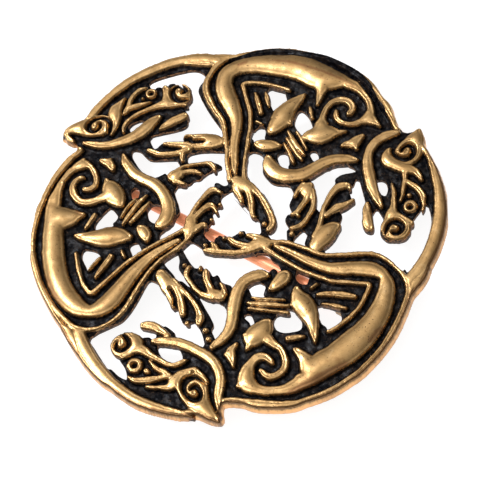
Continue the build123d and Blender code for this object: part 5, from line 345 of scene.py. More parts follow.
# Raised lines ("R") and cut grooves ("G") of the lower hound in its own frame: (name, kind, rows of (x, y, half width) mm)
LOWER = [
    ("rim_join", "R", [(-17.6, -11.9, 0.1), (-17, -12.5, 0.4), (-16.75, -13.2, 0.42), (-16.4, -14, 0.3), (-16, -14.8, 0.1)]),
    ("ear", "R", [(-19.45, 11.65, 0.14), (-18.9, 11.85, 0.35), (-18.3, 12.05, 0.55), (-17.6, 12.3, 0.75), (-17, 12.4, 0.92), (-16.2, 12.5, 1.12), (-15.4, 12.4, 1.35),
        (-15, 12.3, 1.4)]),
    ("ear_band", "R", [(-16.2, 13.3, 0.3), (-15.2, 13.6, 0.2), (-14.3, 13.55, 0.22), (-13.6, 13.5, 0.35)]),
    ("cheek", "R", [(-12.15, 16.4, 0.08), (-12.6, 15.8, 0.13), (-12.95, 15.2, 0.17), (-13.35, 14.6, 0.3), (-13.4, 14.1, 0.45), (-13.15, 13.6, 0.55), (-12.95, 13, 0.5),
        (-12.95, 12.4, 0.4), (-13.05, 11.8, 0.37), (-13.2, 11.35, 0.35), (-13.7, 11.05, 0.22), (-14.4, 10.8, 0.16), (-15, 10.75, 0.12)]),
    ("ear_curl", "G", [(-15.15, 10.98, 0.08), (-14.6, 11.15, 0.14), (-14, 11.5, 0.22), (-13.75, 12, 0.35), (-13.75, 12.6, 0.4), (-14.15, 13.05, 0.33), (-14.75, 13.25, 0.23),
        (-15.4, 13.15, 0.25), (-15.95, 12.8, 0.3), (-16.1, 12.3, 0.33), (-15.8, 11.95, 0.3), (-15.3, 11.85, 0.25), (-14.85, 12, 0.3), (-14.75, 12.4, 0.2),
        (-14.9, 12.6, 0.1)]),
    ("cheek_pit", "G", [(-13.33, 11.5, 0.15)]),
    ("eye_frame", "R", [(-10.15, 17.6, 0.08), (-10.8, 17.2, 0.2), (-11.2, 16.65, 0.28), (-11.55, 16, 0.3), (-11.8, 15.4, 0.26), (-12, 14.8, 0.22), (-12.15, 14.2, 0.22),
        (-12.3, 13.8, 0.25)]),
    ("lower_lid", "R", [(-12.2, 13.9, 0.25), (-11.6, 14.15, 0.25), (-11.1, 14.5, 0.2), (-10.5, 14.75, 0.15), (-9.75, 14.9, 0.05)]),
    ("eye_ring", "R", [(-10.1, 16.5, 0.12), (-9.75, 16.5, 0.45), (-9.4, 16.45, 0.77)]),
    ("pupil", "G", [(-9.37, 16.47, 0.35)]),
    ("eye_dot", "R", [(-10.85, 15.5, 0.14), (-10.6, 15.65, 0.22)]),
    ("nose", "R", [(-6.75, 16.6, 1.3), (-6.8, 16.1, 1.3), (-7.1, 15.6, 1.1)]),
    ("lip", "R", [(-7.7, 17, 0.4), (-7.7, 16, 0.45), (-7.9, 15.3, 0.5), (-8.5, 14.85, 0.4), (-9.3, 14.5, 0.3), (-10.2, 13.95, 0.22), (-11, 13.5, 0.22),
        (-11.5, 12.95, 0.2), (-11.65, 12.35, 0.2), (-11.7, 11.8, 0.17), (-11.75, 11.5, 0.08)]),
    ("nose_curl", "G", [(-5.6, 16.05, 0.2), (-6.3, 15.88, 0.25), (-6.9, 16, 0.3), (-7.15, 16.45, 0.27), (-7.1, 17, 0.27), (-6.7, 17.3, 0.25), (-6.25, 17.2, 0.2),
        (-6, 16.9, 0.14)]),
    ("jaw", "R", [(-18.3, 11.1, 0.1), (-17.7, 10.75, 0.28), (-17, 10.45, 0.4), (-16.3, 9.95, 0.45), (-15.5, 9.45, 0.45), (-14.5, 9.15, 0.45), (-13.4, 9.15, 0.47),
        (-12.4, 9.5, 0.47), (-11.4, 10.05, 0.47), (-10.4, 10.65, 0.48), (-9.6, 11.35, 0.47), (-8.9, 12.2, 0.42), (-8.3, 13.1, 0.33), (-8, 13.6, 0.15)]),
    ("chin", "R", [(-8.3, 11.9, 0.12), (-7.5, 12.3, 0.3), (-6.7, 12.7, 0.42), (-6.1, 13.3, 0.42), (-5.85, 13.75, 0.3)]),
    ("back_line", "R", [(-18, 9.65, 0.2), (-18.6, 8.75, 0.22), (-19.55, 7.35, 0.24), (-20.55, 6, 0.24), (-21.4, 4.55, 0.22), (-21.95, 3.1, 0.2), (-22.3, 1.4, 0.22),
        (-22.4, 0, 0.24), (-22.3, -1.5, 0.25), (-22.2, -2.9, 0.27), (-21.75, -4.5, 0.27), (-21.2, -6.1, 0.27), (-20.5, -7.5, 0.3), (-19.7, -8.8, 0.3),
        (-18.8, -10, 0.28), (-17.9, -11.1, 0.3), (-17, -11.9, 0.33), (-16, -12.15, 0.22), (-15, -12.15, 0.15), (-14, -11.95, 0.13), (-13, -11.7, 0.15),
        (-12.2, -11.3, 0.17), (-11.5, -10.7, 0.17), (-10.8, -9.6, 0.17), (-10.2, -8.5, 0.17), (-9.5, -7.3, 0.17), (-9, -6.5, 0.17), (-8.4, -5.9, 0.17),
        (-7.5, -5.3, 0.17), (-6.7, -4.75, 0.15), (-5.9, -4.1, 0.15), (-5.2, -3.4, 0.17), (-4.7, -2.6, 0.2), (-4.4, -2, 0.25)]),
    ("body", "R", [(-20.4, 3.6, 0.25), (-20.2, 2.6, 0.55), (-20, 1.6, 0.9), (-19.7, 0.6, 1.2), (-19.5, -0.5, 1.4), (-19.5, -1.6, 1.4), (-19.4, -2.8, 1.5),
        (-19.2, -4, 1.5), (-18.9, -5.3, 1.4), (-18.4, -6.6, 1.25), (-17.8, -7.7, 1.15), (-17.1, -8.7, 1), (-16.3, -9.5, 0.9), (-15.4, -10.2, 0.75),
        (-14.4, -10.5, 0.5), (-13.5, -10.15, 0.68), (-12.7, -9.4, 0.75), (-12, -8.4, 0.7), (-11.3, -7.2, 0.65), (-10.6, -6.2, 0.55), (-9.7, -5.4, 0.48),
        (-8.6, -4.6, 0.4), (-7.5, -3.95, 0.33), (-6.4, -3.3, 0.28), (-5.6, -2.75, 0.2), (-5.25, -2.5, 0.12)]),
    ("spur", "R", [(-19.2, 0.9, 1.1), (-18.3, 0.95, 0.7), (-17.5, 1.05, 0.45), (-16.9, 1.2, 0.3), (-16.65, 1.35, 0.15)]),
    ("haunch_rim", "R", [(-20.1, 3.3, 0.6), (-19.9, 4.2, 0.5), (-19.5, 5.1, 0.42), (-19, 6, 0.42), (-18.3, 6.7, 0.5), (-17.6, 7.15, 0.75), (-17, 7.2, 0.85),
        (-16.5, 6.95, 0.75), (-16, 6.5, 0.6), (-15.65, 6, 0.45), (-15.4, 5.4, 0.38), (-15.4, 4.8, 0.38), (-15.8, 4.3, 0.33), (-16.3, 4.1, 0.25),
        (-16.8, 4.02, 0.1)]),
    ("haunch_fill", "R", [(-19.75, 3.9, 0.35), (-19.8, 3, 0.45), (-19.75, 2.3, 0.6)]),
    ("haunch_spike", "R", [(-17, 8.3, 0.1), (-17.1, 7.8, 0.4)]),
    ("haunch", "R", [(-14, 5.65, 0.08), (-13.6, 5, 0.4), (-13.2, 4.4, 0.95), (-13.05, 3.8, 1.1), (-12.95, 3.2, 1), (-12.6, 2.6, 0.6), (-12.55, 2.15, 0.25)]),
    ("haunch_corner", "R", [(-13, 4.7, 0.5), (-12.5, 5.05, 0.15)]),
    ("haunch_arm", "R", [(-14.1, 3.2, 0.5), (-14.9, 2.95, 0.35), (-15.7, 2.6, 0.25), (-16.5, 2.6, 0.25), (-17.3, 2.85, 0.27), (-17.9, 3.35, 0.3), (-18.1, 4.1, 0.3),
        (-17.95, 4.8, 0.3), (-17.5, 5.25, 0.25), (-17, 5.35, 0.22), (-16.8, 5.4, 0.18)]),
    ("collar", "R", [(-14.9, 7.65, 0.1), (-14.3, 7.45, 0.28), (-13.7, 7.3, 0.45), (-13.3, 7.1, 0.4), (-13.1, 6.7, 0.25), (-12.85, 6.2, 0.1)]),
    ("collar_tip", "R", [(-13.5, 7.5, 0.3), (-13.3, 7.75, 0.12)]),
    ("tail", "R", [(-11.85, 8.5, 0.25), (-11.7, 7.7, 0.4), (-11.4, 6.7, 0.5), (-10.9, 5.9, 0.55), (-10.2, 5.3, 0.55), (-9.3, 4.7, 0.6), (-8.5, 4.1, 0.62),
        (-7.75, 3.4, 0.6), (-7.2, 2.6, 0.58), (-7.05, 1.8, 0.6), (-7.15, 1, 0.6), (-7.4, 0.3, 0.5), (-7.7, -0.1, 0.3)]),
    ("stub", "R", [(-9.35, 0.35, 0.15), (-9.3, -0.2, 0.45), (-9.1, -0.9, 0.65), (-8.9, -1.5, 0.7), (-8.75, -1.85, 0.4)]),
    ("leaf", "R", [(-17, -0.8, 0.08), (-16.2, -1.15, 0.33), (-15.3, -1.5, 0.5), (-14.4, -1.75, 0.75), (-13.4, -1.8, 1.05), (-12.5, -1.75, 1.05), (-11.8, -1.75, 0.75),
        (-11.1, -1.9, 0.42), (-10.75, -2.05, 0.2)]),
    ("rib_a", "R", [(-12.7, 0, 0.15), (-12.3, 0.5, 0.15), (-11.5, 1.5, 0.1), (-10.7, 2.5, 0.12), (-10.05, 3.3, 0.1)]),
    ("rib_b", "R", [(-12, -0.4, 0.1), (-11.3, 0.6, 0.18), (-10.5, 1.7, 0.2), (-9.7, 2.8, 0.15), (-9.45, 3.1, 0.08)]),
    ("rib_c", "R", [(-11.2, -0.35, 0.06), (-10.4, 0.8, 0.1), (-9.7, 1.8, 0.12), (-9.15, 2.4, 0.08)]),
    ("rib_d", "R", [(-15.85, -0.1, 0.12), (-15.55, 0.6, 0.22), (-15.2, 1.4, 0.22)]),
    ("v_line", "R", [(-16.7, -2.5, 0.12), (-16.75, -3.5, 0.15), (-16.55, -4.75, 0.15), (-16.25, -6, 0.15), (-15.75, -7, 0.15), (-15.1, -7.95, 0.17), (-14.45, -8.65, 0.17),
        (-14.1, -8.4, 0.15), (-13.5, -7.6, 0.15), (-12.75, -6.6, 0.15), (-12, -5.6, 0.15), (-11.25, -5, 0.15), (-10, -4.05, 0.15), (-9, -3.4, 0.15),
        (-8, -2.9, 0.15), (-6.9, -2.35, 0.15), (-5.8, -1.85, 0.17), (-5, -1.5, 0.25)]),
    ("rib_e", "R", [(-15.4, -5.3, 0.12), (-14.8, -4.7, 0.2), (-14.2, -4.1, 0.15), (-13.7, -3.5, 0.06)]),
    ("rib_f", "R", [(-14.75, -6.7, 0.2), (-14.2, -6.1, 0.27), (-13.5, -5.2, 0.28), (-12.9, -4.3, 0.22), (-12.55, -3.6, 0.1)]),
    ("rib_g", "R", [(-11.5, -3.4, 0.1), (-11.45, -4.1, 0.1)]),
    ("palm", "R", [(-4.4, -1.8, 0.6), (-4.1, -1.2, 0.6), (-3.9, -0.6, 0.5)]),
    ("toe_1", "R", [(-4.3, -0.8, 0.35), (-4.15, 0.2, 0.28), (-3.85, 1.1, 0.25), (-3.3, 2, 0.25), (-2.6, 2.9, 0.27), (-2.1, 3.5, 0.3), (-1.8, 3.9, 0.22),
        (-1.6, 4.2, 0.12)]),
    ("toe_1_tip", "R", [(-2.3, 3.1, 0.3), (-1.7, 3.05, 0.22), (-1.2, 3.1, 0.12)]),
    ("toe_2", "R", [(-3.9, -0.2, 0.35), (-3.3, 0.4, 0.3), (-2.7, 0.9, 0.27), (-2.1, 1.2, 0.24), (-1.75, 1.3, 0.15)]),
    ("toe_3", "R", [(-3.9, -1.6, 0.45), (-3.3, -1.3, 0.33), (-2.8, -0.9, 0.25), (-2.5, -0.6, 0.14)]),
    ("claw_0", "R", [(-1.1, 3.85, 0.16)]),
    ("claw_1", "R", [(-1.45, 1.75, 0.14)]),
    ("claw_2", "R", [(-1.9, -0.05, 0.15)]),
    ("leg_b", "R", [(-1.6, 9.5, 0.55), (-2.4, 9.5, 0.72), (-3.2, 9.5, 0.72), (-3.9, 9.45, 0.65), (-4.6, 9.5, 0.65), (-5.2, 9.65, 0.5)]),
    ("b_groove", "G", [(-3.65, 9.4, 0.17), (-4.3, 9.35, 0.25), (-5, 9.4, 0.27), (-5.6, 9.7, 0.35)]),
    ("b_toe_1", "R", [(-4.6, 9.95, 0.15), (-5.2, 10.1, 0.1)]),
    ("b_toe_2", "R", [(-3.9, 8.85, 0.3), (-4.8, 8.9, 0.28), (-5.6, 9.1, 0.3), (-6.3, 9.35, 0.35), (-6.9, 9.55, 0.25)]),
    ("b_claw_2", "R", [(-8.1, 9.6, 0.2)]),
    ("b_toe_3", "R", [(-3, 8.7, 0.3), (-4.2, 8.4, 0.2), (-5.3, 8.1, 0.2), (-6.4, 7.95, 0.2), (-7.4, 7.95, 0.25), (-8.2, 8.15, 0.35), (-8.7, 8.5, 0.3)]),
    ("b_claw_3", "R", [(-9.85, 8.3, 0.22)]),
    ("b_claw_4", "R", [(-10.9, 8.5, 0.22)]),
    ("b_claw_1", "R", [(-5.75, 10.05, 0.14)]),
    ("c_palm", "R", [(-7.35, 5.1, 0.35), (-7, 5.4, 0.55), (-6.6, 5.8, 0.5)]),
    ("c_toe_1", "R", [(-6.9, 6, 0.35), (-6.1, 6.7, 0.22), (-5.2, 7.05, 0.18), (-4.2, 7.2, 0.18), (-3.2, 7.25, 0.2), (-2.7, 6.9, 0.18), (-2.4, 6.5, 0.12)]),
    ("c_toe_2", "R", [(-6.5, 5.8, 0.4), (-5.6, 5.7, 0.28), (-4.7, 5.6, 0.28), (-4.1, 5.35, 0.28), (-3.75, 5.15, 0.18)]),
    ("c_toe_3", "R", [(-7.2, 4.75, 0.3), (-6.6, 4.5, 0.15), (-6, 4.5, 0.12)]),
    ("c_claw_2", "R", [(-3.35, 5.65, 0.12), (-3.1, 5.45, 0.1)]),
    ("c_claw_1", "R", [(-1.95, 6.85, 0.14)]),
    ("ring", "R", [(-17.6, 13.75, 0.1), (-17, 14.2, 0.2), (-16.3, 14.95, 0.35), (-15.3, 15.95, 0.42), (-14.2, 16.95, 0.48), (-13, 17.85, 0.5), (-11.7, 18.6, 0.5),
        (-10.4, 19.15, 0.5), (-9, 19.6, 0.5), (-7.5, 19.95, 0.55), (-6, 20.15, 0.62), (-4.5, 20.2, 0.65), (-2.8, 20, 0.5)]),
]

# ---- working grid ----
N = int(round(2 * HALF / GRID)) + 1
AX = -HALF + GRID * np.arange(N)


def spline(rows, closed=False, n=6):
    """Catmull-Rom curve through the rows of a table."""
    P = np.asarray(rows, float)
    if closed:
        Q = np.vstack([P[-1], P, P[0], P[1]])
    else:
        if len(P) <= 1:
            return P
        Q = np.vstack([2 * P[0] - P[1], P, 2 * P[-1] - P[-2]])
    out = []
    for i in range(1, len(Q) - 2):
        a, b, c, d = Q[i - 1], Q[i], Q[i + 1], Q[i + 2]
        for t in np.arange(n) / n:
            out.append(0.5 * (2 * b + (c - a) * t + (2 * a - 5 * b + 4 * c - d) * t ** 2
                              + (3 * b - a - 3 * c + d) * t ** 3))
    if not closed:
        out.append(Q[-2])
    return np.array(out)


def turn(P, deg):
    c, s = math.cos(math.radians(deg)), math.sin(math.radians(deg))
    Q = P.copy()
    Q[:, 0], Q[:, 1] = P[:, 0] * c - P[:, 1] * s, P[:, 0] * s + P[:, 1] * c
    return Q


def window(P, margin):
    j0, i0 = (np.floor((P[:, :2].min(0) - margin + HALF) / GRID)).astype(int).clip(0, N - 1)
    j1, i1 = (np.ceil((P[:, :2].max(0) + margin + HALF) / GRID)).astype(int).clip(0, N - 1) + 1
    X, Y = np.meshgrid(AX[j0:j1], AX[i0:i1])
    return slice(i0, i1), slice(j0, j1), X, Y


def stroke(C, X, Y):
    """Depth inside a stroke of changing half width, and the half width there."""
    best = np.full(X.shape, -9.0)
    wide = np.full(X.shape, 0.1)
    for a, b in (zip(C[:-1], C[1:]) if len(C) > 1 else [(C[0], C[0])]):
        dx, dy = b[0] - a[0], b[1] - a[1]
        t = np.clip(((X - a[0]) * dx + (Y - a[1]) * dy) / (dx * dx + dy * dy + 1e-12), 0, 1)
        w = a[2] + t * (b[2] - a[2])
        d = w - np.hypot(X - a[0] - t * dx, Y - a[1] - t * dy)
        m = d > best
        best[m], wide[m] = d[m], w[m]
    return best, wide


def polygon_depth(P, X, Y):
    near = np.full(X.shape, 99.0)
    inside = np.zeros(X.shape, bool)
    for a, b in zip(P, np.roll(P, -1, 0)):
        dx, dy = b[0] - a[0], b[1] - a[1]
        t = np.clip(((X - a[0]) * dx + (Y - a[1]) * dy) / (dx * dx + dy * dy + 1e-12), 0, 1)
        near = np.minimum(near, np.hypot(X - a[0] - t * dx, Y - a[1] - t * dy))
        if a[1] != b[1]:
            cut = a[0] + (Y - a[1]) * dx / dy
            inside ^= ((Y >= min(a[1], b[1])) & (Y < max(a[1], b[1])) & (X < cut))
    return np.where(inside, near, -near)


def noise(X, Y, size, seed):
    """Smooth value noise from a hashed lattice, -1 to 1."""
    x, y = X / size, Y / size
    i, j = np.floor(x), np.floor(y)
    u, v = x - i, y - j
    u, v = u * u * (3 - 2 * u), v * v * (3 - 2 * v)

    def at(a, b):
        s = np.sin(a * 127.1 + b * 311.7 + seed * 74.7) * 43758.5453
        return 2 * (s - np.floor(s)) - 1
    return ((at(i, j) * (1 - u) + at(i + 1, j) * u) * (1 - v)
            + (at(i, j + 1) * (1 - u) + at(i + 1, j + 1) * u) * v)


RIM_PARTS = ("back_line", "ring", "ring_inner", "rim_join", "tail")   # the lines that the rim is made of

# How each kind of form is rounded: how far its crest is a ridge rather than a dome, 0 to 1
CREASE = {"body": 0.06, "haunch": 0.12, "leaf": 0.12, "ear": 0.20, "nose": 0.10, "ring": 0.05}


def step(x):
    x = np.clip(x, 0, 1)
    return x * x * (3 - 2 * x)


def soften(F, times):
    for _ in range(times):
        G = F.copy()
        G[1:-1, 1:-1] = (4 * F[1:-1, 1:-1] + 2 * (F[2:, 1:-1] + F[:-2, 1:-1] + F[1:-1, 2:] + F[1:-1, :-2])
                         + F[2:, 2:] + F[:-2, :-2] + F[2:, :-2] + F[:-2, 2:]) / 16
        F = G
    return F


def outline_depth(X, Y):
    """Depth inside the casting's outer edge, its long curves evened out and its points kept."""
    raw = polygon_depth(spline(OUTLINE, True, 3), X, Y)
    even = soften(raw, 60)
    sharp = step((np.abs(even - raw) - 0.10) / 0.10)
    return even + (raw - even) * soften(sharp, 12)


def relief():
    """Height over the ground, depth inside the bright lines, and depth inside the casting."""
    rise = np.zeros((N, N))
    line = np.full((N, N), -9.0)
    rim = np.full((N, N), -9.0)
    for name, table in (("left", LEFT), ("top", TOP), ("lower", LOWER)):
        for part, kind, rows in table:
            C = spline(rows)
            C[:, 2] = np.maximum(C[:, 2], 0.03)
            C = turn(C, SPIN[name])
            i, j, X, Y = window(C, C[:, 2].max() + 0.7)
            d, w = stroke(C, X, Y)
            d = d + 0.030 * noise(X, Y, 0.50, 11) + 0.026 * noise(X, Y, 0.19, 12)
            if kind == "R":
                d = d + 0.035
                crease = CREASE.get(part, 0.08)
                crest = np.minimum(LINE_RISE + RISE_PER_MM * w, TOP_Z - GROUND_Z)
                shoulder = crest * np.clip(0.96 - 0.39 * w, 0.50, 0.88)
                t = np.clip(d / w, 0, 1)
                dome = (1 - crease) * (1 - (1 - t) ** 2.0) + crease * t
                z = shoulder * step((d + SKIRT) / SKIRT) + (crest - shoulder) * dome
                a = rise[i, j]
                k = 0.05
                h = np.clip(0.5 + 0.5 * (a - z) / k, 0, 1)
                mixed = z * (1 - h) + a * h + k * h * (1 - h)
                rise[i, j] = np.where((a > 0.02) & (z > 0.02), mixed, np.maximum(a, z))
                line[i, j] = np.maximum(line[i, j], d)
                if part in RIM_PARTS:
                    rim[i, j] = np.maximum(rim[i, j], d)
            else:
                out = -d
                cut = SHOULDER * step((out + SKIRT) / SKIRT) + 1.3 * np.clip(out, 0, 9)
                rise[i, j] = np.minimum(rise[i, j], cut)
                line[i, j] = np.minimum(line[i, j], out)
    X, Y = np.meshgrid(AX, AX)
    cast = outline_depth(X, Y) + RIM_OUT
    # the rim's own bead, where one of its lines runs close to the edge
    around = (np.degrees(np.arctan2(Y, X)) + 360) % 360
    wide = (RIM_W - 0.03 + 0.27 * step((around - 100) / 8) * step((156 - around) / 8)
            - 0.14 * step((around - 162) / 6) * step((238 - around) / 6)
            - 0.10 * step((around - 5) / 8) * step((52 - around) / 8))
    d = np.minimum(np.minimum(cast, wide + RIM_OUT - cast), rim + RIM_GAP)
    z = 0.54 * step((d + SKIRT) / SKIRT) + 0.16 * (1 - (1 - np.clip(d / 0.33, 0, 1)) ** 2)
    h = np.clip(0.5 + 0.5 * (rise - z) / 0.05, 0, 1)
    mixed = z * (1 - h) + rise * h + 0.05 * h * (1 - h)
    rise = np.where((rise > 0.02) & (z > 0.02), mixed, np.maximum(rise, z))
    line = np.maximum(line, d)
    for _, rows in OPENINGS:
        P = spline(rows, True, 3)
        i, j, X2, Y2 = window(P, 0.8)
        cast[i, j] = np.minimum(cast[i, j], -polygon_depth(P, X2, Y2))
    cast = np.maximum(cast, line)
    return rise, line, cast, X, Y


RISE, LINE, CAST, X, Y = relief()
CASTS = soften(CAST, 1)
GX = (CASTS[1:-1, 2:] - CASTS[1:-1, :-2]) / (2 * GRID)
GY = (CASTS[2:, 1:-1] - CASTS[:-2, 1:-1]) / (2 * GRID)
DX, DY = np.zeros_like(X), np.zeros_like(X)
g = np.hypot(GX, GY) + 1e-9
DX[1:-1, 1:-1], DY[1:-1, 1:-1] = GX / g, GY / g

# the surface: the wide forms' tops melt into one another, their sides stay crisp, and all of it
# has the small unevenness of a hand-finished casting
inner = step((LINE - 0.10) / 0.25)
Z = GROUND_Z + soften(RISE, 1) * (1 - inner) + soften(RISE, 26) * inner
low = np.clip(1 - RISE / 0.25, 0, 1)
Z += low * (0.034 * noise(X, Y, 0.55, 1) + 0.024 * noise(X, Y, 0.24, 2))
Z += (1 - low) * (0.020 * noise(X, Y, 1.5, 3) + 0.011 * noise(X, Y, 0.6, 4) + 0.0030 * noise(X, Y, 0.25, 5))
edge = np.clip(1 - CAST / 0.20, 0, 1)
Z -= 0.09 * edge ** 2
Z = np.minimum(Z, TOP_Z)

# pull the grid's points that lie next to the casting's edge onto it
near = np.abs(CASTS) < 0.5 * GRID * 1.02
PX, PY = X.copy(), Y.copy()
PX[near] -= (DX * CASTS)[near]
PY[near] -= (DY * CASTS)[near]
state = np.where(near, 1, np.where(CASTS > 0, 2, 0))   # 0 outside, 1 on the edge, 2 inside

sector = np.floor(((np.degrees(np.arctan2(Y, X)) + 500.0) % 360) / 120).astype(int)   # one for each hound

c00, c10, c11, c01 = state[:-1, :-1], state[:-1, 1:], state[1:, 1:], state[1:, :-1]
ids = np.arange(N * N).reshape(N, N)
k00, k10, k11, k01 = ids[:-1, :-1], ids[:-1, 1:], ids[1:, 1:], ids[1:, :-1]
outs = (c00 == 0).astype(int) + (c10 == 0) + (c11 == 0) + (c01 == 0)
mid = (CASTS[:-1, :-1] + CASTS[:-1, 1:] + CASTS[1:, 1:] + CASTS[1:, :-1]) / 4
ins = (c00 == 2).astype(int) + (c10 == 2) + (c11 == 2) + (c01 == 2)
cell_sector = sector[:-1, :-1]
whole = (outs == 0) & ((ins > 0) | (mid > 0))
Q = np.stack([k00[whole], k10[whole], k11[whole], k01[whole]], 1)
quads, quad_sector = Q, cell_sector[whole]
tris, tri_sector = [], []
for out, a, b, c, ca, cb, cc in ((c00, k10, k11, k01, c10, c11, c01), (c10, k11, k01, k00, c11, c01, c00),
                                 (c11, k01, k00, k10, c01, c00, c10), (c01, k00, k10, k11, c00, c10, c11)):
    m = (outs == 1) & (out == 0) & ((ca == 2) | (cb == 2) | (cc == 2))
    tris.append(np.stack([a[m], b[m], c[m]], 1))
    tri_sector.append(cell_sector[m])
tris, tri_sector = np.vstack(tris), np.concatenate(tri_sector)
print("top: quads", len(quads), "tris", len(tris))

VX, VY, VZ = PX.ravel(), PY.ravel(), Z.ravel()
VL, VC = LINE.ravel(), CASTS.ravel()
NX, NY = DX.ravel(), DY.ravel()

outer_edge = outline_depth(X, Y)
OUTER = soften(1.0 * (np.abs(outer_edge) < 0.30), 3).ravel()
# along the top hound's back the rim was left black: share of it by the angle round the disc
around = (np.degrees(np.arctan2(Y, X)) + 360) % 360
kept = 0.02 + 0.62 * step((56 - around) / 20) + 0.45 * step((around - 84) / 10)
BLACKED = (step((around - 34) / 5) * step((96 - around) / 8) * step((0.72 - outer_edge) / 0.08)
           * step((outer_edge + RIM_OUT - kept) / 0.08))
BLACKED = soften(BLACKED, 2).ravel()
# crease between the rim's bead and its outer side, strongest along the lower right
facing = 0.16 + 0.72 * step((np.cos(np.radians(around + 68)) + 0.35) / 0.7)
SEAM = soften(step((0.14 + 0.13 * facing - outer_edge - RIM_OUT) / 0.09) * facing, 1).ravel()

# reddish brown painted shade on the gold, along the bodies' sloping sides and the crease on their backs: hound, then
# points (x, y, half width) in its own frame
PAINTED_SHADE_STROKES = [
    ("lower", [(-20.3, 5.0, 0.05), (-20.65, 3.4, 0.40), (-20.8, 1.6, 0.55), (-20.8, 0.0, 0.50), (-20.75, -1.6, 0.30), (-20.7, -3.0, 0.02)]),
    ("lower", [(-19.6, -8.4, 0.15), (-19.4, -7.2, 0.30), (-19.9, -5.6, 0.22)]),
    ("top", [(-20.3, 3.4, 0.06), (-20.37, 1.9, 0.13), (-20.3, 0.2, 0.16), (-20.2, -1.3, 0.18), (-19.95, -3.2, 0.18),
         (-19.6, -5.0, 0.16), (-19.0, -6.6, 0.10)]),
    ("top", [(-17.6, -9.2, 0.20), (-16.9, -9.8, 0.20)]),
    ("left", [(-17.5, 1.75, 0.12), (-16.8, 1.4, 0.16)]),
    ("left", [(-20.1, -6.0, 0.18), (-19.3, -7.6, 0.25), (-18.4, -8.9, 0.18)]),
]
stain_and_painted_shade = np.full(X.shape, -1.0)
for name, rows in PAINTED_SHADE_STROKES:
    C = turn(spline(rows, False, 4), SPIN[name])
    i, j, X2, Y2 = window(C, 1.5)
    stain_and_painted_shade[i, j] = np.maximum(stain_and_painted_shade[i, j], stroke(C, X2, Y2)[0])
PAINTED_SHADE_FIELD = step((stain_and_painted_shade + 0.22) / 0.44).ravel()

# rows of a wall: share of the way down, how far an opening's side stands out, and the rim's outer side
LEVELS = ((0.06, 0.015, 0.020), (0.13, 0.025, 0.015), (0.24, 0.030, 0.060), (0.42, 0.035, 0.135), (0.66, 0.02, 0.195),
          (0.90, 0.0, 0.235), (1.0, -0.10, 0.17))


def edges_once(Qs, Ts):
    """Directed edges that only one face has."""
    E = np.vstack([Qs[:, [0, 1]], Qs[:, [1, 2]], Qs[:, [2, 3]], Qs[:, [3, 0]],
                   Ts[:, [0, 1]], Ts[:, [1, 2]], Ts[:, [2, 0]]])
    key = np.minimum(E[:, 0], E[:, 1]) * (N * N) + np.maximum(E[:, 0], E[:, 1])
    _, inv, cnt = np.unique(key, return_inverse=True, return_counts=True)
    return E[cnt[inv] == 1]


rim_all = edges_once(quads, tris)
on_rim = np.zeros(N * N, bool)
on_rim[rim_all.ravel()] = True


def wall_point(v, share, bulge, spread):
    z = VZ[v] + (BACK_Z - VZ[v]) * share
    n = np.where(on_rim[v], 1.0, 0.0)
    bulge = bulge + (spread - bulge) * OUTER[v]
    rough = 0.022 * noise(VX[v] + 3 * z, VY[v] - 2 * z, 0.22, 7) * np.clip(4 * share * (1 - share), 0, 1)
    b = (bulge + rough) * n
    return VX[v] - NX[v] * b, VY[v] - NY[v] * b, z


def build(name, s):
    Qs, Ts = quads[quad_sector == s], tris[tri_sector == s]
    E = edges_once(Qs, Ts)
    used = np.unique(np.concatenate([Qs.ravel(), Ts.ravel()]))
    new = np.full(N * N, -1)
    new[used] = np.arange(len(used))
    P = [np.stack([VX[used], VY[used], VZ[used]], 1)]
    at = [VL[used]]
    kind = [np.zeros(len(used))]
    rim = np.unique(E.ravel())
    col = np.full(N * N, -1)
    col[rim] = np.arange(len(rim))
    total = len(used)
    row_start = []
    for share, bulge, spread in LEVELS:
        x, y, z = wall_point(rim, share, bulge, spread)
        P.append(np.stack([x, y, z], 1))
        at.append(np.minimum(VL[rim], 0.0))
        kind.append(np.full(len(rim), max(share, 0.05)))
        row_start.append(total)
        total += len(rim)
    walls = []
    a, b = E[:, 0], E[:, 1]
    prev_a, prev_b = new[a], new[b]
    for r0 in row_start:
        na, nb = r0 + col[a], r0 + col[b]
        walls.append(np.stack([prev_b, prev_a, na, nb], 1))
        prev_a, prev_b = na, nb
    # the flat back, filled between its outlines
    bx, by, _ = wall_point(rim, *LEVELS[-1])
    pts = [Vector((float(p), float(q))) for p, q in zip(bx, by)]
    ce = [(int(p), int(q)) for p, q in zip(col[a], col[b])]
    ov, oe, of_, orig, _, _ = delaunay_2d_cdt(pts, ce, [], 0, 1e-6)
    OV = np.array([(p.x, p.y) for p in ov])
    F = np.array([f for f in of_ if len(f) == 3])
    cen = OV[F].mean(1)
    jj = np.clip(np.round((cen[:, 0] + HALF) / GRID).astype(int), 0, N - 1)
    ii = np.clip(np.round((cen[:, 1] + HALF) / GRID).astype(int), 0, N - 1)
    # keep the triangles that lie under this piece of the casting
    keep = CASTS[ii, jj] > 0.03
    cj = np.clip(np.floor((cen[:, 0] + HALF) / GRID).astype(int), 0, N - 2)
    ci = np.clip(np.floor((cen[:, 1] + HALF) / GRID).astype(int), 0, N - 2)
    keep &= cell_sector[ci, cj] == s
    back_new = np.array([o[0] if o else -1 for o in orig])
    F = back_new[F[keep]]
    F = F[(F >= 0).all(1)]
    F = F[:, ::-1] + row_start[-1]
    verts = np.vstack(P)
    out_faces = [tuple(f) for f in new[Qs]] + [tuple(f) for f in new[Ts]]
    n_top = len(out_faces)
    for w in walls:
        out_faces += [tuple(f) for f in w]
    n_wall = len(out_faces)
    out_faces += [tuple(f) for f in F]
    return verts, out_faces, n_top, n_wall, np.concatenate(at), np.concatenate(kind)


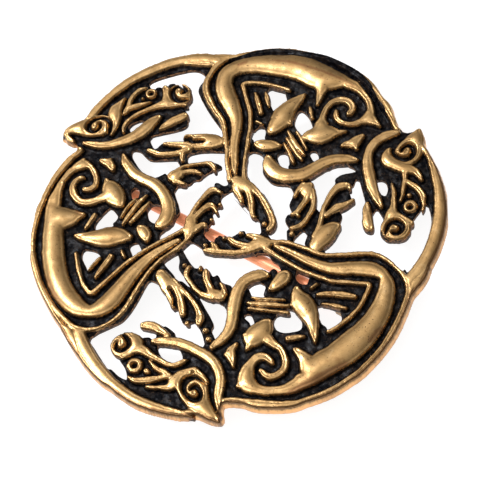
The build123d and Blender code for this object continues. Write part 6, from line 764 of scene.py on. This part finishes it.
def make(name, verts, polys, attrs):
    V = verts.copy()
    V[:, 0] -= BOX_X
    V[:, 1] -= BOX_Y
    V /= 1000.0
    lo, hi = np.array(cad_box[0]), np.array(cad_box[1])
    V = np.clip(V, lo + 2e-6, hi - 2e-6)
    me = bpy.data.meshes.new(name)
    me.from_pydata(V.tolist(), [], polys)
    for key, values in attrs.items():
        layer = me.attributes.new(key, "FLOAT", "POINT")
        layer.data.foreach_set("value", np.asarray(values, np.float32))
    me.update()
    ob = bpy.data.objects.new(name, me)
    bpy.context.scene.collection.objects.link(ob)
    return ob


# ---- the casting, one closed piece for each hound, meeting along cuts through the thickness ----
pieces, bounds_of = [], {}
for s in range(3):
    verts, polys, n_top, n_wall, at, kind = build("hound_%d" % (s + 1), s)
    used = np.unique(np.concatenate([quads[quad_sector == s].ravel(), tris[tri_sector == s].ravel()]))
    rim = np.unique(edges_once(quads[quad_sector == s], tris[tri_sector == s]).ravel())
    outer = np.concatenate([OUTER[used]] + [OUTER[rim]] * len(LEVELS))
    edge_in = np.concatenate([SEAM[used]] + [SEAM[rim]] * len(LEVELS))
    # the painted shade bands on the bodies, carried along for the material
    painted_shade_values = np.concatenate([PAINTED_SHADE_FIELD[used]] + [PAINTED_SHADE_FIELD[rim]] * len(LEVELS))
    blacked = np.concatenate([BLACKED[used]] + [BLACKED[rim]] * len(LEVELS))
    ob = make("hound_%d" % (s + 1), verts, polys, {"rise": at, "wall": kind, "outer": outer, "edge_in": edge_in,
                                                  "blacked": blacked, "stain_and_painted_shade": painted_shade_values})
    pieces.append(ob)
    bounds_of[ob.name] = (n_top, n_wall)
    print(ob.name, "faces", len(polys), "top", n_top, "triangles", sum(len(p) - 2 for p in polys))


def share_normals(obs):
    """Smooth normals worked out over all the pieces together, so that the cuts between them don't show."""
    verts, polys, start = [], [], 0
    for ob in obs:
        me = ob.data
        co = np.empty(len(me.vertices) * 3, np.float32)
        me.vertices.foreach_get("co", co)
        co = co.reshape(-1, 3)
        verts.append(co)
    allco = np.vstack(verts)
    key = np.round(allco * 1e7).astype(np.int64)
    _, first, inv = np.unique(key, axis=0, return_index=True, return_inverse=True)
    inv = inv.ravel()
    normal = np.zeros((len(first), 3))
    wall_normal = np.zeros((len(first), 3))
    offset = 0
    per = []
    for ob in obs:
        me = ob.data
        n = len(me.polygons)
        fn = np.empty(n * 3, np.float32); me.polygons.foreach_get("normal", fn); fn = fn.reshape(-1, 3)
        fa = np.empty(n, np.float32); me.polygons.foreach_get("area", fa)
        ls = np.empty(n, np.int32); me.polygons.foreach_get("loop_start", ls)
        lt = np.empty(n, np.int32); me.polygons.foreach_get("loop_total", lt)
        lv = np.empty(len(me.loops), np.int32); me.loops.foreach_get("vertex_index", lv)
        face_of = np.repeat(np.arange(n), lt)
        gv = inv[lv + offset]
        offset += len(me.vertices)
        index = np.arange(n)
        flat = index < bounds_of[ob.name][0]
        down = index >= bounds_of[ob.name][1]
        side = ~flat & ~down
        w = fa[face_of][:, None] * fn[face_of]
        m = flat[face_of]
        np.add.at(normal, gv[m], w[m])
        m = side[face_of]
        np.add.at(wall_normal, gv[m], w[m])
        per.append((me, fn, face_of, gv, flat, side, down))
    normal /= np.linalg.norm(normal, axis=1)[:, None] + 1e-20
    wall_normal /= np.linalg.norm(wall_normal, axis=1)[:, None] + 1e-20
    return per, normal, wall_normal


def set_normals(obs):
    per, normal, wall_normal = share_normals(obs)
    for me, fn, face_of, gv, flat, side, down in per:
        out = fn[face_of].astype(float)
        m = flat[face_of] & (np.linalg.norm(normal[gv], axis=1) > 0.5)
        out[m] = normal[gv][m]
        m = side[face_of] & (np.linalg.norm(wall_normal[gv], axis=1) > 0.5)
        # keep the corner's own face direction where the wall turns sharply
        near = (wall_normal[gv] * fn[face_of]).sum(1) > 0.6
        m &= near
        out[m] = wall_normal[gv][m]
        me.polygons.foreach_set("use_smooth", np.ones(len(me.polygons), bool))
        me.normals_split_custom_set(out.tolist())
        me.update()


set_normals(pieces)

# ---- fittings on the back: laid out along the pin, X along it towards its point, Y across it ----
PIN_X, PIN_Y, PIN_DX, PIN_DY = -0.80, -1.65, 0.859, -0.512
PIN_Z, PIN_D, HINGE_S, TIP_S, TAPER = 1.40, 1.30, -15.0, 16.6, 3.2
EYE_R, EYE_W, RIVET_R, EYE_BORE_R, LUG_BORE_R = 1.10, 1.30, 0.50, 0.55, 0.52
LUG_IN, LUG_OUT, LUG_HALF = 0.75, 2.10, 1.30
HEAD_R, HEAD_T = 0.78, 0.28
CATCH_S0, CATCH_S1, CHEEK_IN, CHEEK_LOW, CHEEK_HIGH, LOW_CHEEK_Z = 14.3, 16.2, 0.72, 1.20, 3.10, 0.80
INTO_BACK = 0.15


def pin_to_cad(V):
    """From the pin's frame to the object's frame, in mm."""
    V = np.asarray(V, float)
    out = np.empty_like(V)
    out[:, 0] = PIN_X - BOX_X + V[:, 0] * PIN_DX - V[:, 1] * PIN_DY
    out[:, 1] = PIN_Y - BOX_Y + V[:, 0] * PIN_DY + V[:, 1] * PIN_DX
    out[:, 2] = V[:, 2]
    return out


class Shape:
    """Verts and faces gathered for one piece, in the pin's frame."""
    def __init__(self):
        self.v, self.f = [], []

    def ring(self, pts):
        start = len(self.v)
        self.v += [tuple(map(float, p)) for p in pts]
        return list(range(start, start + len(pts)))

    def bridge(self, a, b):
        n = len(a)
        for i in range(n):
            self.f.append((a[i], a[(i + 1) % n], b[(i + 1) % n], b[i]))

    def cap(self, a, centre, flip=False):
        c = len(self.v)
        self.v.append(tuple(map(float, centre)))
        n = len(a)
        for i in range(n):
            self.f.append((a[(i + 1) % n], a[i], c) if flip else (a[i], a[(i + 1) % n], c))

    def object(self, name):
        V = pin_to_cad(self.v) / 1000.0
        me = bpy.data.meshes.new(name)
        me.from_pydata(V.tolist(), [], self.f)
        me.update()
        import bmesh
        bm = bmesh.new()
        bm.from_mesh(me)
        bmesh.ops.recalc_face_normals(bm, faces=bm.faces)
        bm.to_mesh(me)
        bm.free()
        me.polygons.foreach_set("use_smooth", np.ones(len(me.polygons), bool))
        me.set_sharp_from_angle(angle=math.radians(42))
        ob = bpy.data.objects.new(name, me)
        bpy.context.scene.collection.objects.link(ob)
        return ob


def lug_outline(half, top, low, corner, flare, n=72):
    """Side view of a lug: round-cornered below, flared by its solder above. (x, z) about the bore, by angle."""
    pts = []
    for k in range(n):
        a = 2 * math.pi * k / n
        c, s = math.cos(a), math.sin(a)
        r = 9.0
        if abs(c) > 1e-6:
            r = min(r, half / abs(c))
        if s > 1e-6:
            r = min(r, top / s)
        if s < -1e-6:
            r = min(r, low / -s)
        x, z = r * c, r * s
        # round the two lower corners
        if z < -(low - corner) and abs(x) > half - corner:
            cx, cz = math.copysign(half - corner, x), -(low - corner)
            # where the ray from the bore meets the corner's arc
            b = c * cx + s * cz
            q = b * b - (cx * cx + cz * cz - corner * corner)
            if q > 0:
                r = b + math.sqrt(q)
                x, z = r * c, r * s
        # solder flare near the back
        up = top - INTO_BACK - z
        if abs(x) > half - 0.3 and 0 <= up < flare:
            x += math.copysign((1 - up / flare) ** 2 * 0.22, x)
        elif abs(x) > half - 0.3 and up < 0:
            x += math.copysign(0.22, x)
        pts.append((x, z))
    return pts


def lug(shape, v0, v1):
    low = PIN_Z
    top = BACK_Z + INTO_BACK - PIN_Z
    out = lug_outline(LUG_HALF, top, low, 0.7, 0.45)
    n = len(out)
    bore = [(LUG_BORE_R * math.cos(2 * math.pi * k / n), LUG_BORE_R * math.sin(2 * math.pi * k / n)) for k in range(n)]
    rows = []
    bev = 0.10
    for y, inset in ((v0, bev), (v0 + 0.03, 0.03), (v0 + bev, 0.0), ((v0 + v1) / 2, 0.0), (v1 - bev, 0.0), (v1 - 0.03, 0.03), (v1, bev)):
        ring_pts = []
        for x, z in out:
            r = math.hypot(x, z)
            k = max(r - inset, 0.1) / r
            ring_pts.append((HINGE_S + x * k, y, max(PIN_Z + z * k, 0.0)))
        rows.append(shape.ring(ring_pts))
    holes = []
    for y, grow in ((v0, 0.07), (v0 + 0.07, 0.0), (v1 - 0.07, 0.0), (v1, 0.07)):
        holes.append(shape.ring([(HINGE_S + x * (1 + grow / LUG_BORE_R), y, PIN_Z + z * (1 + grow / LUG_BORE_R)) for x, z in bore]))
    for a, b in zip(rows[:-1], rows[1:]):
        shape.bridge(a, b)
    shape.bridge(rows[-1], holes[-1])
    for a, b in zip(holes[::-1][:-1], holes[::-1][1:]):
        shape.bridge(a, b)
    shape.bridge(holes[0], rows[0])


def cheek(shape, s0, s1, v0, v1, z0, corner):
    """Plate of the catch: closed block with rounded lower edges and a solder flare at the back."""
    top = BACK_Z + INTO_BACK
    rows = []
    for z, grow in ((z0, -corner * 0.75), (z0 + corner * 0.10, -corner * 0.42), (z0 + corner * 0.3, -corner * 0.2),
                    (z0 + corner * 0.6, -corner * 0.05), (z0 + corner, 0.0), (BACK_Z - 0.40, 0.0),
                    (BACK_Z - 0.22, 0.03), (BACK_Z - 0.10, 0.08), (BACK_Z, 0.16), (top, 0.16)):
        pts = []
        a0, a1, b0, b1 = s0 - grow, s1 + grow, v0 - min(grow, 0.1), v1 + min(grow, 0.1)
        if b1 - b0 < 0.1:
            b0, b1 = (v0 + v1) / 2 - 0.05, (v0 + v1) / 2 + 0.05
        r = min(0.16, (a1 - a0) / 2.2, (b1 - b0) / 2.2)
        for cx, cy, q in ((a1 - r, b1 - r, 0), (a0 + r, b1 - r, 1), (a0 + r, b0 + r, 2), (a1 - r, b0 + r, 3)):
            for k in range(5):
                a = math.pi / 2 * (q + k / 4)
                pts.append((cx + r * math.cos(a), cy + r * math.sin(a), z))
        rows.append(shape.ring(pts))
    for a, b in zip(rows[:-1], rows[1:]):
        shape.bridge(a, b)
    shape.cap(rows[0], ((s0 + s1) / 2, (v0 + v1) / 2, z0), True)
    shape.cap(rows[-1], ((s0 + s1) / 2, (v0 + v1) / 2, top))


hinge = Shape()
lug(hinge, LUG_IN, LUG_OUT)
hinge_a = hinge.object("hinge_lug_a")
hinge = Shape()
lug(hinge, -LUG_OUT, -LUG_IN)
hinge_b = hinge.object("hinge_lug_b")
cheeks = Shape()
cheek(cheeks, CATCH_S0, CATCH_S1, CHEEK_IN, CHEEK_HIGH, 0.0, 0.4)
catch_a = cheeks.object("catch_foot")
cheeks = Shape()
cheek(cheeks, CATCH_S0, CATCH_S1, -CHEEK_LOW, -CHEEK_IN, LOW_CHEEK_Z, 0.14)
catch_b = cheeks.object("catch_guide")
fittings = [hinge_a, hinge_b, catch_a, catch_b]

# pin: flattened eye and drawn wire filed to a point
wire = Shape()
M = 40


def round_ring(s, y, z, r, flat=1.0):
    return [(s, y + r * math.cos(2 * math.pi * k / M), z + flat * r * math.sin(2 * math.pi * k / M)) for k in range(M)]


rows = []
length = TIP_S - HINGE_S
for s, r in ((HINGE_S + 0.72, 0.47), (HINGE_S + 0.95, 0.56), (HINGE_S + 1.2, 0.615), (HINGE_S + 1.6, PIN_D / 2)):
    rows.append(wire.ring(round_ring(s, 0, PIN_Z, r)))
for k in range(1, 60):
    s = HINGE_S + 1.6 + (TIP_S - TAPER - HINGE_S - 1.6) * k / 59
    r = PIN_D / 2 - 0.004 * (1 + math.sin(3.1 * s) * math.cos(1.7 * s + 1))
    rows.append(wire.ring(round_ring(s, 0, PIN_Z, r)))
for k in range(1, 17):
    t = k / 16
    r = PIN_D / 2 + (0.12 - PIN_D / 2) * t ** 1.25
    rows.append(wire.ring(round_ring(TIP_S - TAPER + (TAPER - 0.06) * t, 0, PIN_Z, r)))
rows.append(wire.ring(round_ring(TIP_S - 0.02, 0, PIN_Z, 0.08)))
for a, b in zip(rows[:-1], rows[1:]):
    wire.bridge(a, b)
wire.cap(rows[0], (HINGE_S + 0.70, 0, PIN_Z), True)
wire.cap(rows[-1], (TIP_S, 0, PIN_Z))
# the eye: a ring about the rivet
SEG, SEC = 64, 20
eye_rows = []
mid_r, half_r, half_w = (EYE_R + EYE_BORE_R) / 2, (EYE_R - EYE_BORE_R) / 2, EYE_W / 2
for k in range(SEG):
    a = 2 * math.pi * k / SEG
    pts = []
    for j in range(SEC):
        b = 2 * math.pi * j / SEC
        cu, su = math.cos(b), math.sin(b)
        e = 0.45      # squarish section
        dr = half_r * math.copysign(abs(cu) ** e, cu)
        dy = half_w * math.copysign(abs(su) ** e, su)
        r = mid_r + dr
        pts.append((HINGE_S + r * math.cos(a), dy, PIN_Z + r * math.sin(a)))
    eye_rows.append(wire.ring(pts))
for k in range(SEG):
    wire.bridge(eye_rows[k], eye_rows[(k + 1) % SEG])
pin = wire.object("pin_wire")

# rivet: shank and two low domed heads
riv = Shape()
rows = []


def rivet_ring(y, r):
    return riv.ring([(HINGE_S + r * math.cos(2 * math.pi * k / M), y, PIN_Z + r * math.sin(2 * math.pi * k / M)) for k in range(M)])


head0 = LUG_OUT + 0.03
prof = [(-head0 - HEAD_T, 0.20), (-head0 - HEAD_T * 0.95, 0.42), (-head0 - HEAD_T * 0.78, 0.62), (-head0 - HEAD_T * 0.5, 0.74),
        (-head0 - HEAD_T * 0.2, HEAD_R), (-head0 - 0.02, HEAD_R), (-head0, HEAD_R - 0.03), (-head0 + 0.01, RIVET_R)]
prof += [(0.0, RIVET_R)] + [(-y, r) for y, r in prof[::-1]]
for y, r in prof:
    rows.append(rivet_ring(y, r))
for a, b in zip(rows[:-1], rows[1:]):
    riv.bridge(a, b)
riv.cap(rows[0], (HINGE_S, prof[0][0], PIN_Z), True)
riv.cap(rows[-1], (HINGE_S, prof[-1][0], PIN_Z))
rivet = riv.object("rivet")


# ---- materials: object coordinates in millimetres ----
class Nodes:
    def __init__(self, name):
        self.m = bpy.data.materials.new(name)
        self.m.use_nodes = True
        self.t = self.m.node_tree
        self.t.nodes.clear()
        self.out = self.add("ShaderNodeOutputMaterial")
        self.bsdf = self.add("ShaderNodeBsdfPrincipled")
        self.link(self.bsdf.outputs[0], self.out.inputs["Surface"])
        tc = self.add("ShaderNodeTexCoord")
        mp = self.add("ShaderNodeMapping")
        mp.inputs["Scale"].default_value = (1000, 1000, 1000)
        self.link(tc.outputs["Object"], mp.inputs["Vector"])
        self.mm = mp.outputs["Vector"]

    def add(self, kind, **props):
        n = self.t.nodes.new(kind)
        for k, v in props.items():
            setattr(n, k, v)
        return n

    def link(self, a, b):
        self.t.links.new(a, b)

    def put(self, value, socket):
        if isinstance(value, bpy.types.NodeSocket):
            self.link(value, socket)
        elif isinstance(value, (tuple, list)) and len(value) == 3 and socket.type == "RGBA":
            socket.default_value = (*value, 1)
        else:
            socket.default_value = value

    def attr(self, name):
        n = self.add("ShaderNodeAttribute")
        n.attribute_name = name
        return n.outputs["Fac"]

    def math(self, op, a, b=0.0, c=None, clamp=False):
        n = self.add("ShaderNodeMath", operation=op, use_clamp=clamp)
        self.put(a, n.inputs[0])
        if b is not None:
            self.put(b, n.inputs[1])
        if c is not None:
            self.put(c, n.inputs[2])
        return n.outputs[0]

    def ramp(self, x, lo, hi, a=0.0, b=1.0, smooth=True):
        n = self.add("ShaderNodeMapRange", interpolation_type="SMOOTHSTEP" if smooth else "LINEAR")
        self.put(x, n.inputs["Value"])
        n.inputs["From Min"].default_value = lo
        n.inputs["From Max"].default_value = hi
        n.inputs["To Min"].default_value = a
        n.inputs["To Max"].default_value = b
        return n.outputs["Result"]

    def noise(self, size, detail=2.0, rough=0.5, vector=None, warp=0.0):
        n = self.add("ShaderNodeTexNoise")
        self.link(vector or self.mm, n.inputs["Vector"])
        n.inputs["Scale"].default_value = 1.0 / size
        n.inputs["Detail"].default_value = detail
        n.inputs["Roughness"].default_value = rough
        n.inputs["Distortion"].default_value = warp
        return n.outputs["Fac"]

    def mix(self, f, a, b):
        n = self.add("ShaderNodeMix", data_type="RGBA")
        self.put(f, n.inputs["Factor"])
        ca, cb = [s for s in n.inputs if s.type == "RGBA"]
        self.put(a, ca)
        self.put(b, cb)
        return [s for s in n.outputs if s.type == "RGBA"][0]

    def blend(self, f, a, b):
        """Number between a and b."""
        n = self.add("ShaderNodeMix", data_type="FLOAT")
        self.put(f, n.inputs["Factor"])
        fa = [s for s in n.inputs if s.type == "VALUE" and s.name in ("A", "B")]
        self.put(a, fa[0])
        self.put(b, fa[1])
        return [s for s in n.outputs if s.type == "VALUE"][0]

    def bump(self, height, distance, strength=1.0):
        n = self.add("ShaderNodeBump")
        n.inputs["Strength"].default_value = strength
        n.inputs["Distance"].default_value = distance
        self.put(height, n.inputs["Height"])
        self.link(n.outputs[0], self.bsdf.inputs["Normal"])
        return n

    def stretch(self, along, k):
        """Object coordinates in mm turned so that X runs along the pin, and squeezed along it."""
        n = self.add("ShaderNodeMapping")
        n.vector_type = "TEXTURE"
        n.inputs["Rotation"].default_value = (0, 0, math.atan2(PIN_DY, PIN_DX))
        n.inputs["Scale"].default_value = (k, 1, 1)
        self.link(self.mm, n.inputs["Vector"])
        return n.outputs["Vector"]


def bronze():
    n = Nodes("cast_bronze")
    rise, wall, outer = n.attr("rise"), n.attr("wall"), n.attr("outer")
    fine = n.noise(0.13, 3, 0.7)
    coarse = n.noise(0.45, 3, 0.6)
    blotch = n.noise(1.1, 4, 0.65, warp=0.6)
    broad = n.noise(4.0, 3, 0.6)
    grain = n.noise(0.15, 4, 0.7)
    wear = n.math("MULTIPLY_ADD", fine, 0.16, -0.08)
    wear2 = n.math("MULTIPLY_ADD", coarse, 0.12, -0.06)
    e = n.math("ADD", n.math("ADD", rise, wear), wear2)
    e = n.math("SUBTRACT", e, n.math("MULTIPLY", n.attr("blacked"), 0.60))
    gold = n.ramp(e, -0.088, -0.062)
    brown = n.ramp(e, -0.106, -0.082)
    # gold of the polished lines, with stains, rubbed patches and pits, and with painted shade: browner towards their
    # sides and in reddish bands along the bodies' sloping sides
    gold_c = n.mix(n.ramp(broad, 0.30, 0.70), (0.440, 0.262, 0.104), (0.500, 0.315, 0.135))
    gold_c = n.mix(n.ramp(blotch, 0.50, 0.78, 0, 0.62), gold_c, (0.235, 0.120, 0.046))
    gold_c = n.mix(n.ramp(coarse, 0.54, 0.80, 0, 0.50), gold_c, (0.260, 0.130, 0.050))
    gold_c = n.mix(n.ramp(blotch, 0.46, 0.28, 0, 0.45), gold_c, (0.580, 0.400, 0.205))
    # painted shade: reddish brown bands along the bodies' sloping sides, with a little random stain from the noise
    stain_and_painted_shade = n.ramp(n.math("MULTIPLY_ADD", coarse, 0.9, n.attr("stain_and_painted_shade")), 0.55, 1.35, 0.0, 0.60)
    gold_c = n.mix(stain_and_painted_shade, gold_c, (0.250, 0.105, 0.048))
    # painted shade: the gold darkens towards the edges of the lines, where they curve down
    gold_c = n.mix(n.ramp(e, -0.088, -0.030, 0.72, 0.0), gold_c, (0.120, 0.058, 0.024))
    near_side = n.math("MULTIPLY", n.ramp(rise, 0.02, 0.16, 1.0, 0.12), n.ramp(n.noise(0.24, 3, 0.65), 0.56, 0.66))
    gold_c = n.mix(near_side, gold_c, (0.060, 0.032, 0.018))
    pits = n.ramp(n.noise(0.20, 2, 0.5), 0.665, 0.72)
    gold_c = n.mix(pits, gold_c, (0.075, 0.040, 0.022))
    dots = n.math("MULTIPLY", n.ramp(n.noise(0.10, 2, 0.5), 0.66, 0.74, 0.0, 0.8), n.ramp(coarse, 0.40, 0.60))
    gold_c = n.mix(dots, gold_c, (0.090, 0.046, 0.024))
    # black of the sunk ground, rubbed brown in specks
    dark_c = n.mix(n.ramp(coarse, 0.38, 0.66), (0.0010, 0.0012, 0.0022), (0.010, 0.0075, 0.0065))
    speck = n.math("MULTIPLY", n.ramp(grain, 0.56, 0.70), n.ramp(coarse, 0.42, 0.62))
    dark_c = n.mix(speck, dark_c, (0.110, 0.064, 0.038))
    mid_c = n.mix(n.ramp(fine, 0.42, 0.66), (0.010, 0.006, 0.004), (0.085, 0.044, 0.022))
    top_c = n.mix(gold, n.mix(brown, dark_c, mid_c), gold_c)
    # darker line along the crease between the rim's bead and its outer side
    e_in = n.math("MULTIPLY_ADD", fine, 0.36, n.attr("edge_in"))
    top_c = n.mix(n.ramp(e_in, 0.42, 0.90, 0.0, 0.85), top_c, (0.115, 0.055, 0.024))
    # cut sides of the openings: brown bronze under black specks, with painted light: lighter towards the top edge,
    # darker lower down, and bronze specks brightened into coppery glints near the top
    up = n.ramp(n.math("MULTIPLY_ADD", grain, 0.35, wall), 0.22, 0.75, 1.0, 0.0)
    wall_c = n.mix(up, (0.040, 0.023, 0.017), (0.230, 0.105, 0.052))
    # painted glints: bright bronze specks, more of them towards the top edge
    bare_and_glint = n.math("MULTIPLY", n.ramp(grain, 0.47, 0.56), n.ramp(up, 0.0, 1.0, 0.35, 1.0))
    wall_c = n.mix(bare_and_glint, wall_c, (0.560, 0.290, 0.130))
    wall_c = n.mix(n.ramp(coarse, 0.46, 0.60, 0, 0.95), wall_c, (0.010, 0.008, 0.008))
    wall_c = n.mix(n.ramp(fine, 0.54, 0.62, 0, 0.95), wall_c, (0.008, 0.006, 0.006))
    seam = n.math("MULTIPLY", n.ramp(wall, 0.03, 0.08), n.ramp(n.math("MULTIPLY_ADD", fine, 0.12, wall), 0.18, 0.30, 1.0, 0.0))
    rim_c = n.mix(seam, gold_c, (0.085, 0.038, 0.015))
    rim_c = n.mix(n.ramp(n.math("MULTIPLY_ADD", coarse, 0.5, wall), 0.40, 0.75, 0.0, 0.8), rim_c, (0.95, 0.500, 0.210))
    rim_c = n.mix(n.ramp(n.math("MULTIPLY_ADD", coarse, 0.5, wall), 1.05, 1.40), rim_c, (0.22, 0.10, 0.050))
    side_c = n.mix(outer, wall_c, rim_c)
    is_wall = n.ramp(wall, 0.01, 0.04, smooth=False)
    colour = n.mix(is_wall, top_c, side_c)
    n.link(colour, n.bsdf.inputs["Base Color"])
    metal_top = n.blend(gold, n.blend(brown, n.math("MULTIPLY", speck, 0.7), 0.75), 1.0)
    metal = n.blend(is_wall, metal_top, n.blend(outer, 0.55, 1.0))
    n.link(metal, n.bsdf.inputs["Metallic"])
    r_gold = n.math("ADD", n.math("MULTIPLY_ADD", coarse, 0.20, 0.20), n.math("MULTIPLY", blotch, 0.10))
    r_dark = n.math("MULTIPLY_ADD", coarse, 0.34, 0.20)
    r_top = n.blend(gold, r_dark, r_gold)
    r_side = n.blend(outer, 0.46, 0.30)
    n.link(n.blend(is_wall, r_top, r_side), n.bsdf.inputs["Roughness"])
    n.link(n.ramp(n.noise(0.8, 3, 0.6), 0.46, 0.70, 0.03, 0.30), n.bsdf.inputs["Specular IOR Level"])
    h = n.math("ADD", n.math("MULTIPLY", fine, n.blend(gold, 1.6, 0.26)),
               n.math("MULTIPLY", grain, n.blend(is_wall, n.blend(gold, 0.9, 0.34), n.blend(outer, 2.4, 0.6))))
    h = n.math("ADD", h, n.math("MULTIPLY", pits, n.blend(is_wall, -0.5, 0.0)))
    n.bump(h, 0.00004, 0.60)
    return n.m


def copper():
    n = Nodes("copper_wire")
    v = n.stretch(None, 16.0)
    lines = n.noise(0.10, 3, 0.6, v)
    broad = n.noise(0.34, 2, 0.5, v)
    stain_and_painted_shade = n.noise(1.3, 3, 0.6)
    c = n.mix(n.ramp(stain_and_painted_shade, 0.35, 0.72), (1.0, 0.38, 0.19), (1.0, 0.31, 0.14))
    c = n.mix(n.ramp(broad, 0.56, 0.76, 0, 0.30), c, (0.72, 0.22, 0.105))
    c = n.mix(n.ramp(lines, 0.60, 0.78, 0, 0.40), c, (0.60, 0.170, 0.080))
    # painted highlights: pale streaks along the wire, following its drawn lines
    c = n.mix(n.ramp(lines, 0.43, 0.30, 0, 0.50), c, (1.0, 0.66, 0.48))
    n.link(c, n.bsdf.inputs["Base Color"])
    n.bsdf.inputs["Metallic"].default_value = 0.20
    # painted glow: the wire gives off a little of its own colour, so that it stays bright where the casting shades it
    n.link(c, n.bsdf.inputs["Emission Color"])
    n.bsdf.inputs["Emission Strength"].default_value = 0.20
    n.bsdf.inputs["Specular IOR Level"].default_value = 0.25
    n.link(n.math("MULTIPLY_ADD", lines, 0.24, 0.22), n.bsdf.inputs["Roughness"])
    n.bump(lines, 0.00003, 0.6)
    return n.m


def rivet_bronze():
    n = Nodes("rivet_bronze")
    coarse = n.noise(0.5, 3, 0.6)
    fine = n.noise(0.09, 3, 0.6)
    c = n.mix(n.ramp(coarse, 0.35, 0.7), (0.60, 0.38, 0.17), (0.30, 0.17, 0.08))
    n.link(c, n.bsdf.inputs["Base Color"])
    n.bsdf.inputs["Metallic"].default_value = 1.0
    n.link(n.math("MULTIPLY_ADD", fine, 0.25, 0.25), n.bsdf.inputs["Roughness"])
    n.bump(fine, 0.00003, 0.5)
    return n.m


def fitting_bronze():
    n = Nodes("fitting_bronze")
    coarse = n.noise(0.6, 3, 0.6)
    fine = n.noise(0.10, 3, 0.65)
    c = n.mix(n.ramp(coarse, 0.35, 0.7), (0.50, 0.32, 0.15), (0.17, 0.10, 0.055))
    n.link(c, n.bsdf.inputs["Base Color"])
    n.bsdf.inputs["Metallic"].default_value = 1.0
    n.link(n.math("MULTIPLY_ADD", fine, 0.3, 0.30), n.bsdf.inputs["Roughness"])
    n.bump(fine, 0.00004, 0.6)
    return n.m


BRONZE, COPPER, RIVET, FITTING = bronze(), copper(), rivet_bronze(), fitting_bronze()
for ob in pieces:
    ob.data.materials.append(BRONZE)
    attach(ob, "brooch")
    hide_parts("hound_disc")
for ob in fittings:
    ob.data.materials.append(FITTING)
    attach(ob, "brooch")
    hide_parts("hound_disc")
pin.data.materials.append(COPPER)
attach(pin, "pin")
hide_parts("pin")
rivet.data.materials.append(RIVET)
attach(rivet, "brooch")
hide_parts("hinge_rivet")

# ---- floor, light and camera ----
fm = bpy.data.materials.new("pale_floor")
fm.use_nodes = True
fb = fm.node_tree.nodes["Principled BSDF"]
fb.inputs["Base Color"].default_value = (0.28, 0.28, 0.28, 1)
fb.inputs["Roughness"].default_value = 0.9
fb.inputs["Specular IOR Level"].default_value = 0.1
fb.inputs["Emission Color"].default_value = (1, 1, 1, 1)
fb.inputs["Emission Strength"].default_value = 0.90
me = bpy.data.meshes.new("floor")
F = 0.9
me.from_pydata([(-F, -F, 0), (F, -F, 0), (F, F, 0), (-F, F, 0)], [], [(0, 1, 2, 3)])
floor = bpy.data.objects.new("floor", me)
floor.data.materials.append(fm)
bpy.context.scene.collection.objects.link(floor)

world = bpy.data.worlds.new("studio")
bpy.context.scene.world = world
world.use_nodes = True
wt = world.node_tree
bg = wt.nodes["Background"]
bg.inputs[0].default_value = (1.0, 0.985, 0.96, 1)
# a broad soft brightening of the studio on the left, and a dimmer right side
wc = wt.nodes.new("ShaderNodeTexCoord")
wd = wt.nodes.new("ShaderNodeVectorMath")
wd.operation = "DOT_PRODUCT"
wd.inputs[1].default_value = (-0.46, 0.10, 0.88)
wt.links.new(wc.outputs["Generated"], wd.inputs[0])
wm = wt.nodes.new("ShaderNodeMath")
wm.operation = "MAXIMUM"
wm.inputs[1].default_value = 0.0
wt.links.new(wd.outputs["Value"], wm.inputs[0])
wp = wt.nodes.new("ShaderNodeMath")
wp.operation = "POWER"
wp.inputs[1].default_value = 2.2
wt.links.new(wm.outputs[0], wp.inputs[0])
wa = wt.nodes.new("ShaderNodeMath")
wa.operation = "MULTIPLY_ADD"
wa.inputs[1].default_value = 1.30
wa.inputs[2].default_value = 0.20
wt.links.new(wp.outputs[0], wa.inputs[0])
wt.links.new(wa.outputs[0], bg.inputs[1])


def softbox(name, direction, distance, size, watts, colour=(1, 1, 1)):
    d = bpy.data.lights.new(name, "AREA")
    d.shape = "RECTANGLE"
    d.size, d.size_y = size
    d.energy = watts
    d.color = colour
    ob = bpy.data.objects.new(name, d)
    bpy.context.scene.collection.objects.link(ob)
    v = Vector(direction).normalized()
    ob.location = v * distance
    ob.rotation_euler = v.to_track_quat("Z", "Y").to_euler()
    return ob


softbox("key", (-0.56, 0.08, 0.82), 0.60, (0.17, 0.17), 3.0, (0.92, 0.97, 1.10))

C_X, C_Y, PHI, TILT, FOCAL, MM = 231.56, 218.6, math.radians(68.15), math.radians(27.9), 1365.0, 22.5 / 210.0
c, s, ct, st = math.cos(PHI), math.sin(PHI), math.cos(TILT), math.sin(TILT)
r1 = Vector((c * c * ct + s * s, -(c * s * ct - s * c), -c * st))
r2 = Vector((-(s * c * ct - s * c), s * s * ct + c * c, s * st))
r3 = Vector((st * c, -st * s, ct))
T = Vector(((C_X - 240.5) * MM, -(C_Y - 240.5) * MM, -FOCAL * MM))
eye_at = -(r1 * T.x + r2 * T.y + r3 * T.z)
eye_at += Vector((-BOX_X, -BOX_Y, PLANE_Z))
cam_data = bpy.data.cameras.new("camera")
cam_data.sensor_width = 36
cam_data.lens = 36 * FOCAL / 481
cam_data.clip_start, cam_data.clip_end = 0.005, 10
cam = bpy.data.objects.new("camera", cam_data)
bpy.context.scene.collection.objects.link(cam)
m = Matrix((r1, r2, r3)).transposed().to_4x4()
m.translation = eye_at / 1000.0
cam.matrix_world = m
bpy.context.scene.camera = cam
bpy.context.scene.view_settings.view_transform = "Standard"
bpy.context.scene.view_settings.look = "None"
